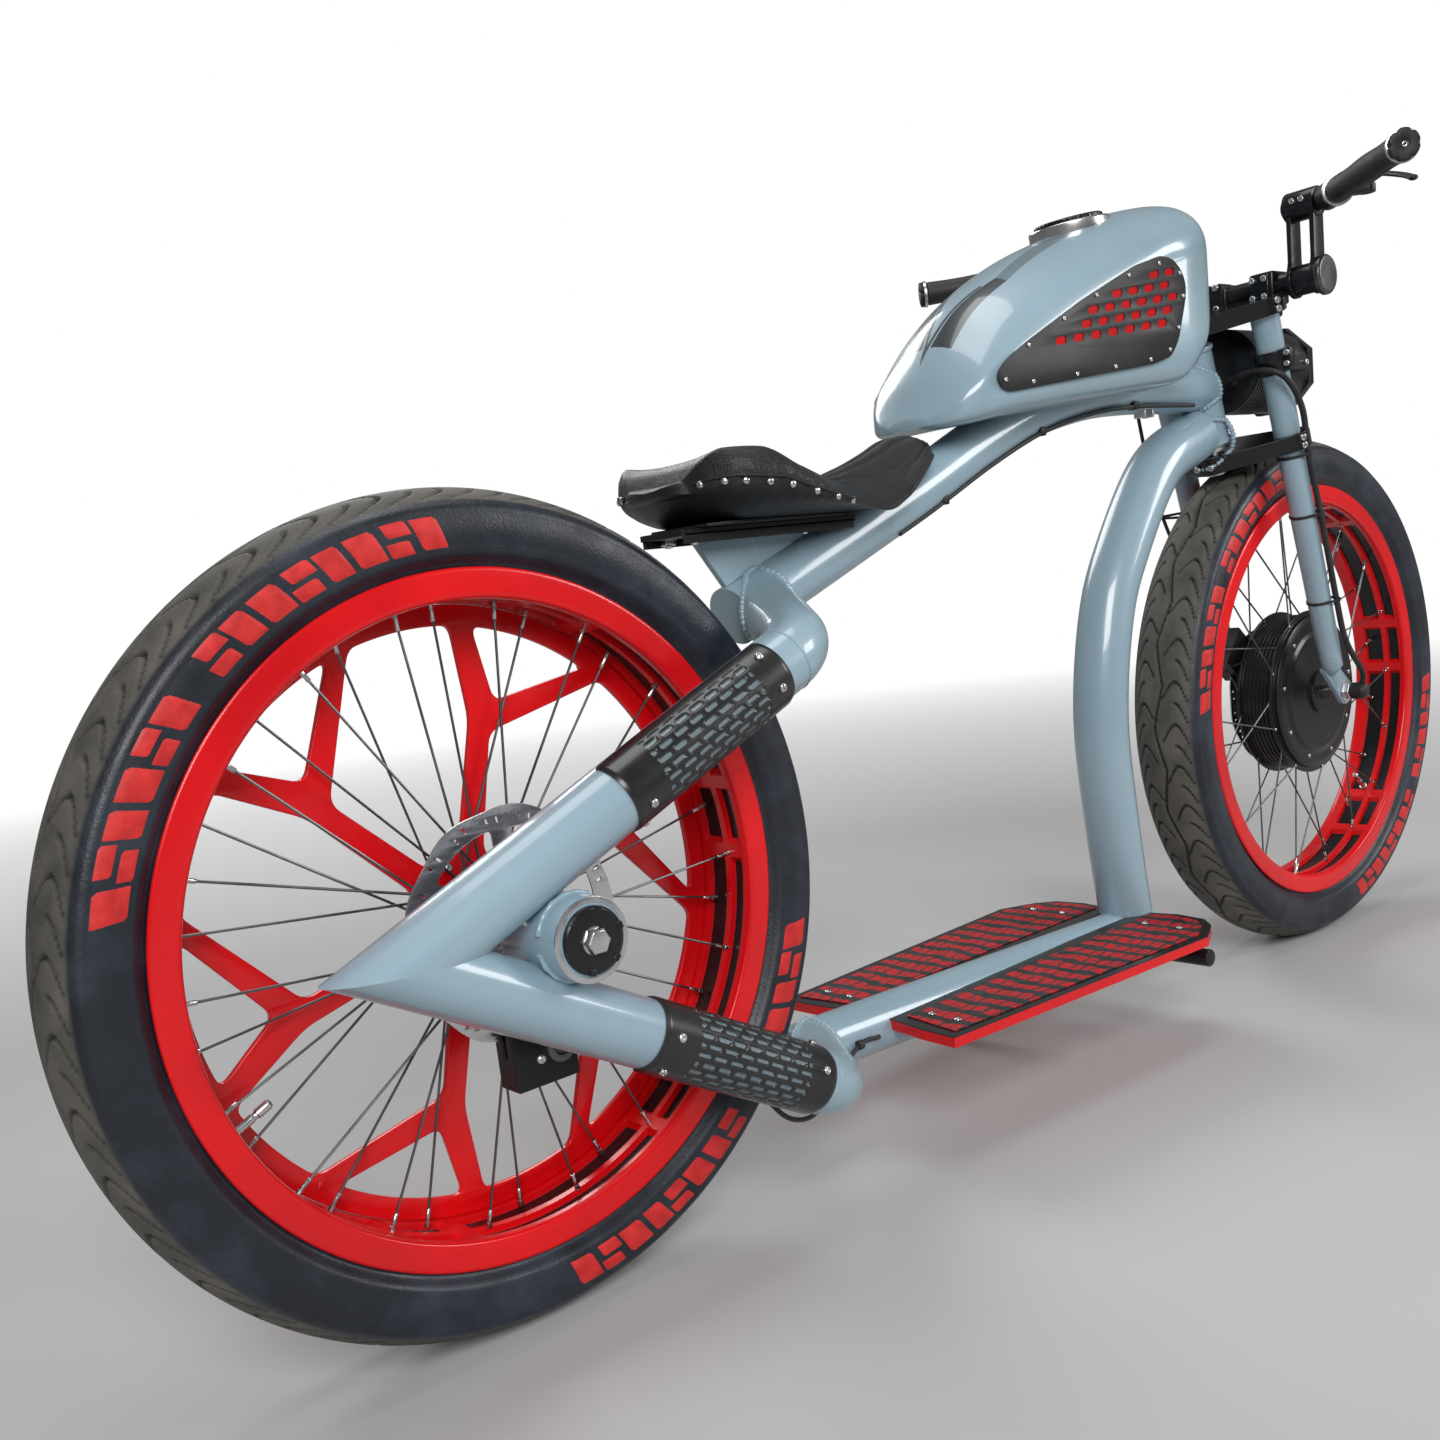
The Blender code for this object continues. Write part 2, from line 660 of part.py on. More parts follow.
def pipe(name, points, radius, spec, parent=None, sides=14):
    """A bent tube as a closed mesh, ready to be cut."""
    return as_mesh(tube(name, points, radius, spec, parent, sides))


def along_cutter(name, points, radius, sides=14):
    """The space that a tube takes up, with the gap that its neighbours keep."""
    tool = pipe(name, points, radius, MATT, None, sides)
    parts.objects.unlink(tool)
    cutters.objects.link(tool)
    tool.hide_render = True
    tool.display_type = "WIRE"
    return tool


def cut_with(obj, tool):
    step = obj.modifiers.new(tool.name, "BOOLEAN")
    step.operation = "DIFFERENCE"
    step.solver = "EXACT"
    step.object = tool


def rounded(points, bend, steps=5):
    """A path through its corners, each rounded with an arc of the bend radius."""
    pts = [Vector(p) for p in points]
    made = [pts[0]]
    for before, corner, after in zip(pts, pts[1:], pts[2:]):
        back = (before - corner).normalized()
        ahead = (after - corner).normalized()
        half = back.angle(ahead) / 2
        reach = bend / tan(half)
        middle = corner + (back + ahead).normalized() * (bend / sin(half))
        first, last = corner + back * reach - middle, corner + ahead * reach - middle
        sweep = first.angle(last)
        made += [middle + (first * sin(sweep * (1 - i / steps)) + last * sin(sweep * i / steps)) / sin(sweep)
                 for i in range(steps + 1)]
    return made + [pts[-1]]


def loft(name, rings, spec, parent=None):
    """A closed body through its rings of points, each ring with as many points as the next."""
    bm = bmesh.new()
    verts = [[bm.verts.new(point) for point in ring] for ring in rings]
    count = len(rings[0])
    for near, far in zip(verts, verts[1:]):
        for i in range(count):
            bm.faces.new((near[i], near[(i + 1) % count], far[(i + 1) % count], far[i]))
    bm.faces.new(verts[0])
    bm.faces.new(verts[-1])
    return piece(name, mesh_from(bm, name), spec, parent)


def between(table, x):
    """Reads a value at x from chosen (x, value) pairs, smoothly from one to the next."""
    if x <= table[0][0]:
        return table[0][1]
    for (x0, v0), (x1, v1) in zip(table, table[1:]):
        if x <= x1:
            return v0 + (v1 - v0) * (x - x0) / (x1 - x0)
    return table[-1][1]


# Frame tubes
HEAD_BOTTOM = on_axis(HEAD_BOTTOM_Z)
HEAD_TOP = on_axis(HEAD_TOP_Z)
axis_turn = STEER_UP.to_track_quat("Z", "Y").to_matrix()

head = bmesh.new()
rod(head, HEAD_BOTTOM, HEAD_TOP, HEAD_R, 24)
head_tube = piece("head_tube", mesh_from(head, "head_tube"), PAINT)
bore = bmesh.new()
rod(bore, HEAD_BOTTOM - STEER_UP * 0.01, HEAD_TOP + STEER_UP * 0.01, HEAD_R - HEAD_WALL, 24)
cut(head_tube, bore)

BACKBONE_SHAPE = [(-0.042, -0.066), (0.0, 0.0), (0.175, 0.278), (0.295, 0.470), (0.428, 0.702), (0.548, 0.874),
                  (0.669, 0.970), (0.777, 1.0), (0.892, 1.0), (1.0, 1.0)]
DOWN_SHAPE = [(0.0, 0.0), (0.439, 0.067), (0.816, 0.229), (1.004, 0.359), (1.112, 0.555), (1.083, 0.763), (1.0, 1.0)]


def drawn(shape, start, end):
    """A curve in the middle plane: its shape gives shares of the way from start to end, in x and in z."""
    return [(start[0] + (end[0] - start[0]) * u, 0, start[1] + (end[1] - start[1]) * v) for u, v in shape]


backbone_path = smooth_path(drawn(BACKBONE_SHAPE, BACKBONE_REAR, BACKBONE_FRONT), 15)
down_path = smooth_path(drawn(DOWN_SHAPE, (HEAD_X - 0.026, HEAD_Z - 0.029),
                              (FLOOR_FRONT_X - 0.034, FLOOR_FRONT_Z + 0.014)), 13)
floor_path = [(FLOOR_REAR_X, 0, FLOOR_REAR_Z), (FLOOR_FRONT_X, 0, FLOOR_FRONT_Z)]


def head_space(name):
    bm = bmesh.new()
    rod(bm, HEAD_BOTTOM - STEER_UP * 0.06, HEAD_TOP + STEER_UP * 0.06, HEAD_R + GAP, 24)
    return cutter(mesh_from(bm, name), name)


head_room = head_space("head_room")
backbone_room = along_cutter("backbone_room", backbone_path, PIPE_R + GAP)
floor_room = along_cutter("floor_room", floor_path, PIPE_R + GAP)
down_room = along_cutter("down_room", [*down_path[:-1], (down_path[-1].x, 0, FLOOR_FRONT_Z)], DOWN_TUBE_R + 2 * GAP)

backbone = pipe("backbone", backbone_path, PIPE_R, PAINT)
cut_with(backbone, head_room)
down_tube = pipe("down_tube", down_path, DOWN_TUBE_R, PAINT)
for tool in (head_room, backbone_room, floor_room):
    cut_with(down_tube, tool)
floor_tube = pipe("floor_tube", floor_path, PIPE_R, PAINT)
bar_space = bmesh.new()
rod(bar_space, (CROSS_BAR_X, -0.1, CROSS_BAR_Z), (CROSS_BAR_X, 0.1, CROSS_BAR_Z), CROSS_BAR_R + GAP, 16)
cut(floor_tube, bar_space)

# Stays: two hollow tubes on the right that meet in a mitred tip behind the axle
tip = Vector((STAY_TIP_X, STAY_Y, STAY_TIP_Z))
upper_elbow = Vector((UPPER_ELBOW_X, STAY_Y, UPPER_ELBOW_Z))
lower_elbow = Vector((LOWER_ELBOW_X, STAY_Y, LOWER_ELBOW_Z))
upper_way = (upper_elbow - tip).normalized()
lower_way = (lower_elbow - tip).normalized()
mitre_way = (upper_way + lower_way).normalized()
mitre_up = Vector((-mitre_way.z, 0, mitre_way.x))
past_tip = STAY_R / sin(upper_way.angle(lower_way) / 2) + STAY_R


def stay(name, elbow, way, inward, above, own_room):
    """One stay: mitred at the tip, notched for the axle housing, and bent in to the middle tube."""
    path = rounded([tip - way * past_tip, elbow, inward], ELBOW_BEND)
    made = pipe(name, path, STAY_R, PAINT)
    inside = [path[0] - way * STAY_WALL, *path[1:-1], path[-2].lerp(path[-1], 0.35)]
    cut_with(made, along_cutter(name + "_hollow", inside, STAY_R - STAY_WALL, 10))
    side = bmesh.new()
    depth = 0.2
    turn = Matrix.Rotation(-atan2(mitre_way.z, mitre_way.x), 3, "Y")
    box(side, tip - mitre_up * above * (depth / 2 - GAP / 2), (0.6, 0.2, depth), turn)
    cut(made, side)
    notch = bmesh.new()
    rod(notch, (REAR_X, STAY_Y - 0.1, AXLE_Z), (REAR_X, STAY_Y + 0.1, AXLE_Z), HOUSING_R + GAP, 32)
    cut_with(made, cutter(mesh_from(notch, name + "_notch"), name + "_notch"))
    cut_with(made, own_room)
    return path, made


upper_path, upper_stay = stay("upper_stay", upper_elbow, upper_way,
                              Vector((BACKBONE_REAR[0], -0.004, BACKBONE_REAR[1])), 1, backbone_room)
lower_path, lower_stay = stay("lower_stay", lower_elbow, lower_way,
                              Vector((FLOOR_REAR_X + PIPE_R, -0.004, FLOOR_REAR_Z)), -1, floor_room)

housing_in = STAY_Y + STAY_R + 0.006
housing_out = STAY_Y - STAY_R - HOUSING_OUT
axle_housing = turned("axle_housing", [(housing_in, HOUSING_BORE_R), (housing_in, HOUSING_R - 0.003),
                      (housing_in - 0.003, HOUSING_R), (housing_out + 0.003, HOUSING_R),
                      (housing_out, HOUSING_R - 0.003), (housing_out, HOUSING_BORE_R)],
                      (REAR_X, 0, AXLE_Z), PAINT, None, 24)
axle_r = HOUSING_BORE_R - GAP
nut_r = 0.016
turned("rear_axle", [(housing_out - 0.012, 0.0), (housing_out - 0.012, 0.010), (housing_out - 0.004, 0.0115),
       (housing_out - 0.004, axle_r), (housing_in + 0.003, axle_r), (housing_in + 0.003, REAR_AXLE_R),
       (plate_end + GAP, REAR_AXLE_R), (plate_end + GAP, nut_r), (plate_end + 0.011, nut_r),
       (plate_end + 0.013, nut_r - 0.003), (plate_end + 0.013, 0.0)],
       (REAR_X, 0, AXLE_Z), STEEL, None, 16, False)


def cover(name, point, way, first, last, facing):
    """A curved guard that wraps the outer side of a stay."""
    inner = STAY_R + GAP
    outer = inner + COVER_THICK
    half = COVER_SWEEP / 2
    outline = arc((0, 0), outer, -half, half, 15) + arc((0, 0), inner, half, -half, 15)
    start = point + way * ((first - point.x) / way.x)
    end = point + way * ((last - point.x) / way.x)
    made = flat(name, outline, (end - start).length, BLACK)
    across = Vector((0, -1, 0))
    across.rotate(Matrix.Rotation(radians(facing), 3, way))
    frame = Matrix((across, way.cross(across), way)).transposed()
    made.matrix_world = Matrix.Translation((start + end) / 2) @ frame.to_4x4()
    return made


cover("upper_stay_cover", tip, upper_way, COVER_REAR_X, COVER_FRONT_X, COVER_TURN)
cover("lower_stay_cover", tip, lower_way, COVER_REAR_X, COVER_FRONT_X, -COVER_TURN)

# Rear calliper on the lower stay, reaching over the disc
caliper_x = REAR_X + 0.004
caliper_z = AXLE_Z - ROTOR_R - 0.022
stay_z = tip.z + lower_way.z * (caliper_x - tip.x) / lower_way.x
rear_caliper = solid("rear_caliper", BLACK, None,
                     a_box((caliper_x, REAR_ROTOR_Y, caliper_z + 0.012), (0.062, 0.030, 0.058)),
                     a_box((caliper_x, -0.0705, stay_z - 0.012), (0.034, 0.040, 0.022)))
hollow(rear_caliper, a_box((caliper_x, REAR_ROTOR_Y, AXLE_Z - ROTOR_R + 0.04),
                           (0.090, ROTOR_THICK + 0.0025, 0.100)))
stay_room = along_cutter("lower_stay_room", lower_path, STAY_R + GAP)
cut_with(rear_caliper, stay_room)

# Seat: plate, gusset, bolts, pan and cushion
seat_length = SEAT_PLATE_FRONT_X - SEAT_PLATE_REAR_X
seat_middle = (SEAT_PLATE_FRONT_X + SEAT_PLATE_REAR_X) / 2
seat_bottom = SEAT_PLATE_Z - SEAT_PLATE_THICK / 2
seat_top = SEAT_PLATE_Z + SEAT_PLATE_THICK / 2
bolt_room = [a_bore((x, y, seat_bottom - 0.01), (x, y, seat_top + 0.01), SEAT_BOLT_R + GAP, 12)
             for x in SEAT_BOLTS_X for y in (-SEAT_BOLT_Y, SEAT_BOLT_Y)]
seat_plate = solid("seat_plate", BLACK, None,
                   a_box((seat_middle, 0, SEAT_PLATE_Z), (seat_length, 2 * SEAT_PLATE_HALF, SEAT_PLATE_THICK)))
hollow(seat_plate, *bolt_room)
cut_with(seat_plate, backbone_room)
gusset_foot = [(-0.027, -0.004), (0.083, 0.033)]
gusset = flat("seat_gusset", [(SEAT_PLATE_REAR_X + 0.034, seat_bottom - GAP),
                              *[(BACKBONE_REAR[0] + u, BACKBONE_REAR[1] + v) for u, v in gusset_foot],
                              (SEAT_PLATE_FRONT_X - 0.004, seat_bottom - GAP)], GUSSET_THICK, PAINT)
gusset = as_mesh(upright(gusset, 0))
cut_with(gusset, backbone_room)


def seat_bolt(name, x):
    head_end = seat_bottom - GAP
    return solid(name, STEEL, None, a_rod((x, -SEAT_BOLT_Y, head_end - SEAT_BOLT_R), (x, -SEAT_BOLT_Y, head_end),
                                          SEAT_BOLT_R * 1.8, 6),
                 a_rod((x, -SEAT_BOLT_Y, head_end - 0.001), (x, -SEAT_BOLT_Y, seat_top), SEAT_BOLT_R, 12))


seat_bolt("seat_bolt_rear", SEAT_BOLTS_X[0])
seat_bolt("seat_bolt_front", SEAT_BOLTS_X[1])

# Saddle: shares of its length from the rear, then half width, rim, middle and underside as shares
SADDLE_SHAPE = [(0.000, 0.33, 0.99, 0.86, 0.56), (0.025, 0.62, 1.06, 0.79, 0.36), (0.073, 0.82, 1.06, 0.72, 0.12),
                (0.157, 0.96, 0.82, 0.62, 0.00), (0.270, 1.00, 0.57, 0.56, 0.00), (0.410, 0.92, 0.36, 0.54, 0.00),
                (0.551, 0.75, 0.19, 0.57, 0.00), (0.691, 0.58, 0.12, 0.76, 0.00), (0.803, 0.49, 0.32, 0.99, 0.19),
                (0.888, 0.44, 0.66, 1.19, 0.44), (0.958, 0.39, 0.99, 1.26, 0.72), (1.000, 0.26, 1.11, 1.19, 0.94)]
SADDLE_SIDE = [(0.0, 0.0), (0.55, 0.0), (0.84, 0.20), (0.97, 0.55), (1.0, 0.80), (0.95, 0.96), (0.84, 1.0)]
SADDLE_CROWN = [(0.66, 0.55), (0.44, 0.22), (0.22, 0.06), (0.0, 0.0)]
pan_top = seat_top + GAP + PAN_THICK
saddle_base = pan_top + GAP
pan_outline = [(SADDLE_REAR_X + share * SADDLE_LENGTH, SADDLE_HALF * half)
               for share, half in ((0.06, 0.40), (0.12, 0.52), (0.30, 0.50), (0.45, 0.42), (0.60, 0.30))]
pan = flat("saddle_pan", pan_outline + [(x, -y) for x, y in reversed(pan_outline)], PAN_THICK, MATT)
pan.location = (0, 0, pan_top - PAN_THICK / 2)


def saddle_ring(share):
    """One section of the cushion: its side climbs to the rolled rim, and its top runs from there to the middle."""
    width, rim_rise, middle_rise, under = [between([(row[0], row[k]) for row in SADDLE_SHAPE], share)
                                           for k in (1, 2, 3, 4)]
    x = SADDLE_REAR_X + share * SADDLE_LENGTH
    half = SADDLE_HALF * width
    base = saddle_base + SADDLE_RISE * under
    top = saddle_base + SADDLE_RISE * rim_rise
    middle = saddle_base + SADDLE_RISE * middle_rise
    shape = [(half * u, base + (top - base) * v) for u, v in SADDLE_SIDE]
    shape += [(half * u, middle + (top - middle) * v) for u, v in SADDLE_CROWN]
    return [(x, y, z) for y, z in shape] + [(x, -y, z) for y, z in reversed(shape[1:-1])]


saddle_stations = [0.0, 0.012, 0.025, 0.05, 0.073, 0.11, 0.157, 0.21, 0.27, 0.34, 0.41, 0.48, 0.551, 0.62, 0.691,
                   0.75, 0.803, 0.85, 0.888, 0.93, 0.958, 0.98, 1.0]
cushion = loft("saddle_cushion", [saddle_ring(share) for share in saddle_stations], LEATHER)
cut_with(cushion, backbone_room)

# Tank: a rounded shell over the backbone, open below where the tube passes
# One row for each station: its share of the length, then half width, top and base as shares
TANK_SHAPE = [(0.0, 0.309, 0.054, 0.011), (0.016, 0.567, 0.112, 0.005), (0.046, 0.793, 0.226, 0.001),
              (0.095, 0.954, 0.360, 0.008), (0.172, 1.0, 0.507, 0.027), (0.297, 1.0, 0.647, 0.050),
              (0.423, 1.0, 0.748, 0.072), (0.549, 1.0, 0.826, 0.091), (0.674, 1.0, 0.896, 0.111),
              (0.800, 1.0, 0.960, 0.132), (0.887, 0.960, 0.979, 0.227), (0.945, 0.837, 0.937, 0.365),
              (0.979, 0.670, 0.848, 0.427), (1.0, 0.416, 0.722, 0.473)]
TANK_FRONT_SECTION = [(0.0, 0.0), (0.55, 0.0), (0.84, 0.02), (0.96, 0.09), (1.0, 0.20), (1.0, 0.45), (1.0, 0.64),
                      (0.965, 0.76), (0.86, 0.86), (0.68, 0.935), (0.46, 0.978), (0.22, 0.996), (0.0, 1.0)]
TANK_REAR_SECTION = [(0.0, 0.0), (0.55, 0.0), (0.84, 0.03), (0.96, 0.10), (1.0, 0.20), (1.0, 0.36), (0.99, 0.50),
                     (0.91, 0.62), (0.78, 0.73), (0.60, 0.84), (0.40, 0.93), (0.19, 0.985), (0.0, 1.0)]
TANK_SLOPE_FROM = 0.11
TANK_SLOPE_TO = 0.73
PLATE_SHAPE = [(0.100, 0.175), (0.110, 0.126), (0.138, 0.106), (0.652, 0.209), (0.717, 0.240), (0.750, 0.310),
               (0.787, 0.495), (0.790, 0.560), (0.771, 0.623), (0.739, 0.662), (0.696, 0.670), (0.599, 0.623),
               (0.412, 0.483), (0.233, 0.330), (0.147, 0.251), (0.116, 0.213)]


def flank(share):
    """Half the tank's width at a share of its length: its sides are flat, and taper to the rear."""
    return TANK_HALF - TANK_TAPER * (TANK_WIDEST - share) * TANK_LENGTH


def tank_ring(row, wall):
    """One section of the tank, drawn in by the wall for its inside: upright sides ahead, sloping ones behind."""
    share, width, crest, keel = row
    x = TANK_REAR_X + share * TANK_LENGTH
    half = flank(share) * width - wall
    base = TANK_BASE_Z + TANK_HEIGHT * keel + wall
    height = TANK_BASE_Z + TANK_HEIGHT * crest - wall - base
    slope = min(max((TANK_SLOPE_TO - share) / (TANK_SLOPE_TO - TANK_SLOPE_FROM), 0.0), 1.0)
    shape = [(half * (u0 + (u1 - u0) * slope), base + height * (v0 + (v1 - v0) * slope))
             for (u0, v0), (u1, v1) in zip(TANK_FRONT_SECTION, TANK_REAR_SECTION)]
    return [(x, y, z) for y, z in shape] + [(x, -y, z) for y, z in reversed(shape[1:-1])]


tank_shell = loft("tank_shell", [tank_ring(row, 0.0) for row in TANK_SHAPE], PAINT)
tank_space = loft("tank_space", [tank_ring(row, TANK_WALL)[::2] for row in TANK_SHAPE[3:-2:2]], MATT)
parts.objects.unlink(tank_space)
cutters.objects.link(tank_space)
tank_space.hide_render = True
tank_space.display_type = "WIRE"
cut_with(tank_shell, tank_space)
cap_seat = TANK_BASE_Z + TANK_HEIGHT * between([(row[0], row[2]) for row in TANK_SHAPE],
                                               (CAP_X - TANK_REAR_X) / TANK_LENGTH)
cap_bottom = cap_seat - CAP_SINK
hollow(tank_shell, a_bore((CAP_X, 0, cap_bottom - 0.004), (CAP_X, 0, cap_seat + 0.04), CAP_R + GAP, 24))
cut_with(tank_shell, backbone_room)
cap = bmesh.new()
rod(cap, (CAP_X, 0, cap_bottom), (CAP_X, 0, cap_bottom + CAP_HEIGHT), CAP_R, 24)
tank_cap = piece("tank_cap", mesh_from(cap, "tank_cap"), BLACK)
battery = solid("battery_box", MATT, None,
                a_box((BATTERY_X, 0, BATTERY_Z), (BATTERY_LENGTH, 2 * BATTERY_HALF, BATTERY_HEIGHT)))
cut_with(battery, backbone_room)

plate_outline = [(u * TANK_LENGTH, v * TANK_HEIGHT) for u, v in PLATE_SHAPE]
plate_along = Vector((1.0, TANK_TAPER, 0.0)).normalized()
for name, side in (("tank_plate_right", -1), ("tank_plate_left", 1)):
    along = Vector((plate_along.x, side * plate_along.y, 0.0))
    across = along.cross(Vector((0, 0, 1)))
    out = side * (flank(0.0) + GAP + SIDE_PLATE_THICK / 2 / plate_along.x)
    side_cover = flat(name, plate_outline, SIDE_PLATE_THICK, BLACK)
    side_cover.matrix_world = (Matrix.Translation((TANK_REAR_X, out, TANK_BASE_Z))
                               @ Matrix((along, Vector((0, 0, 1)), across)).transposed().to_4x4())

# Foot boards with their grip sheets, and the cross bar through the floor tube
# Each corner: its share of the floor tube's length behind the tube's front end, and its distance outwards
BOARD_SHAPE = [(0.799, 0.020), (0.813, 0.080), (0.816, 0.127), (0.150, 0.156), (0.080, 0.133), (0.049, 0.112),
               (0.039, 0.071), (0.053, 0.020)]
SHEET_SHAPE = [(0.779, 0.040), (0.796, 0.117), (0.155, 0.145), (0.093, 0.126), (0.066, 0.106), (0.057, 0.071),
               (0.066, 0.040)]
board_outline = [(FLOOR_FRONT_X - u * FLOOR_LENGTH, y) for u, y in BOARD_SHAPE]
sheet_outline = [(FLOOR_FRONT_X - u * FLOOR_LENGTH, y) for u, y in SHEET_SHAPE]
for name, side in (("right", -1), ("left", 1)):
    board = flat(name + "_foot_board", [(x, side * y) for x, y in board_outline], BOARD_THICK, MATT)
    board.location = (0, 0, BOARD_TOP_Z - BOARD_THICK / 2)
    board = as_mesh(board)
    cut_with(board, floor_room)
    cut_with(board, down_room)
    sheet = flat(name + "_grip_sheet", [(x, side * y) for x, y in sheet_outline], SHEET_THICK, GRIT)
    sheet.location = (0, 0, BOARD_TOP_Z + GAP + SHEET_THICK / 2)
solid("board_cross_bar", BLACK, None, a_rod((CROSS_BAR_X, -CROSS_BAR_HALF, CROSS_BAR_Z),
                                            (CROSS_BAR_X, CROSS_BAR_HALF, CROSS_BAR_Z), CROSS_BAR_R, 16),
      smooth=True)


# Fork: clamps, legs with their dropouts, steerer and front axle
def clamp(name, z, spec, bar=False):
    """A fork clamp: one plate round the steerer and both legs."""
    reach = LEG_R + CLAMP_RIM
    outline = (arc((LEG_AHEAD, LEG_Y), reach, 0, 150, 6) + arc((0, 0), STEERER_R + 0.014, 120, 240, 5)
               + arc((LEG_AHEAD, -LEG_Y), reach, 210, 360, 6))
    holes = [ring_points((LEG_AHEAD, side * LEG_Y), LEG_R + GAP, 20) for side in (-1, 1)]
    holes.append(ring_points((0, 0), STEERER_R + GAP, 20))
    made = flat(name, outline, CLAMP_THICK, spec, None, holes)
    made.matrix_world = Matrix.Translation(on_axis(z)) @ Matrix((STEER_AHEAD, Vector((0, 1, 0)), STEER_UP)).transposed().to_4x4()
    made = as_mesh(made)
    if bar:
        low = on_axis(z) + STEER_AHEAD * (CROSSBAR_X - on_axis(z).x)
        union_shapes(made, a_box((CROSSBAR_X, 0, (low.z + CROSSBAR_Z) / 2 + 0.004),
                                 (0.044, STEM_WIDTH, CROSSBAR_Z - low.z + 0.026)))
        hollow(made, a_bore((CROSSBAR_X, -CROSSBAR_HALF, CROSSBAR_Z),
                           (CROSSBAR_X, CROSSBAR_HALF, CROSSBAR_Z), CROSSBAR_R + GAP, 20))
    return carry(made, steering)


def union_shapes(obj, *shapes):
    bm = bmesh.new()
    for shape in shapes:
        shape(bm)
    union(obj, bm)


clamp("lower_fork_clamp", LOWER_CLAMP_Z, MATT)
clamp("upper_fork_clamp", UPPER_CLAMP_Z, MATT, bar=True)
half_clamp = CLAMP_THICK / 2
lower_top = on_axis(LOWER_CLAMP_Z) + STEER_UP * (half_clamp + GAP)
upper_bottom = on_axis(UPPER_CLAMP_Z) - STEER_UP * (half_clamp + GAP)
steerer = solid("steerer", STEEL, steering,
                a_rod(on_axis(LOWER_CLAMP_Z) - STEER_UP * 0.016, on_axis(UPPER_CLAMP_Z) + STEER_UP * 0.020,
                      STEERER_R, 14),
                a_rod(lower_top, HEAD_BOTTOM - STEER_UP * GAP, RACE_R, 16),
                a_rod(HEAD_TOP + STEER_UP * GAP, upper_bottom, RACE_R, 16), smooth=True)

axle = Vector((FRONT_X, 0, AXLE_Z))
for name, side in (("right_fork_leg", -1), ("left_fork_leg", 1)):
    foot = on_leg(LEG_BOTTOM_Z, side)
    out = Vector((0, side, 0))
    seat = Vector((axle.x, side * DROPOUT_Y, axle.z))
    heel = Vector((foot.x, side * DROPOUT_Y, foot.z + 0.012))
    way = (seat - heel).normalized()
    turn = Matrix((way, out, way.cross(out))).transposed()
    leg = solid(name, PAINT, steering, a_rod(on_leg(LEG_TOP_Z, side), foot, LEG_R, 16, LEG_FOOT_R), smooth=True)
    union_shapes(leg, a_box((seat + heel) / 2, ((seat - heel).length, DROPOUT_THICK, 1.7 * DROPOUT_R), turn),
                 a_rod(seat - out * DROPOUT_THICK / 2, seat + out * DROPOUT_THICK / 2, DROPOUT_R, 16))
    hollow(leg, a_bore(seat - out * 0.02, seat + out * 0.02, FRONT_AXLE_R + GAP, 20))


def leg_room(name, side):
    bm = bmesh.new()
    rod(bm, on_leg(LEG_TOP_Z, side), on_leg(LEG_BOTTOM_Z, side), LEG_R + GAP, 20, LEG_FOOT_R + GAP)
    return cutter(mesh_from(bm, name), name)


right_leg_room = leg_room("right_leg_room", -1)
left_leg_room = leg_room("left_leg_room", 1)

drop_in = DROPOUT_Y - DROPOUT_THICK / 2 - GAP
drop_out = DROPOUT_Y + DROPOUT_THICK / 2 + GAP
shoulder_r = 0.012
front_nut = [(drop_out, FRONT_AXLE_R), (drop_out, 0.0125), (drop_out + 0.008, 0.0125), (drop_out + 0.010, 0.010),
             (drop_out + 0.010, 0.0)]
rotor_side = FRONT_ROTOR_Y + ROTOR_THICK / 2 + GAP
turned("front_axle", [(-y, r) for y, r in reversed(front_nut)]
       + [(-drop_in, FRONT_AXLE_R), (-drop_in, shoulder_r), (-MOTOR_HALF - GAP, shoulder_r),
          (-MOTOR_HALF - GAP, FRONT_AXLE_R), (rotor_side, FRONT_AXLE_R), (rotor_side, shoulder_r),
          (drop_in, shoulder_r), (drop_in, FRONT_AXLE_R)] + front_nut[0:],
       (FRONT_X, 0, AXLE_Z), STEEL, steering, 12, False)

# Front calliper behind the left leg
caliper_turn = radians(FRONT_CALIPER_TURN)
caliper_out = Vector((cos(caliper_turn), 0, sin(caliper_turn)))
caliper_at = axle + caliper_out * (ROTOR_R + 0.006) + Vector((0, FRONT_ROTOR_Y, 0))
caliper_frame = Matrix((caliper_out, Vector((0, 1, 0)), caliper_out.cross(Vector((0, 1, 0))))).transposed()
front_caliper = solid("front_caliper", BLACK, steering,
                      a_box(caliper_at + Vector((0, 0.0025, 0)), (0.050, 0.027, 0.060), caliper_frame),
                      a_box(caliper_at + Vector((0.008, 0.018, 0)), (0.030, 0.024, 0.030), caliper_frame))
hollow(front_caliper, a_box(caliper_at - caliper_out * 0.036, (0.090, ROTOR_THICK + 0.0025, 0.090), caliper_frame))
cut_with(front_caliper, left_leg_room)

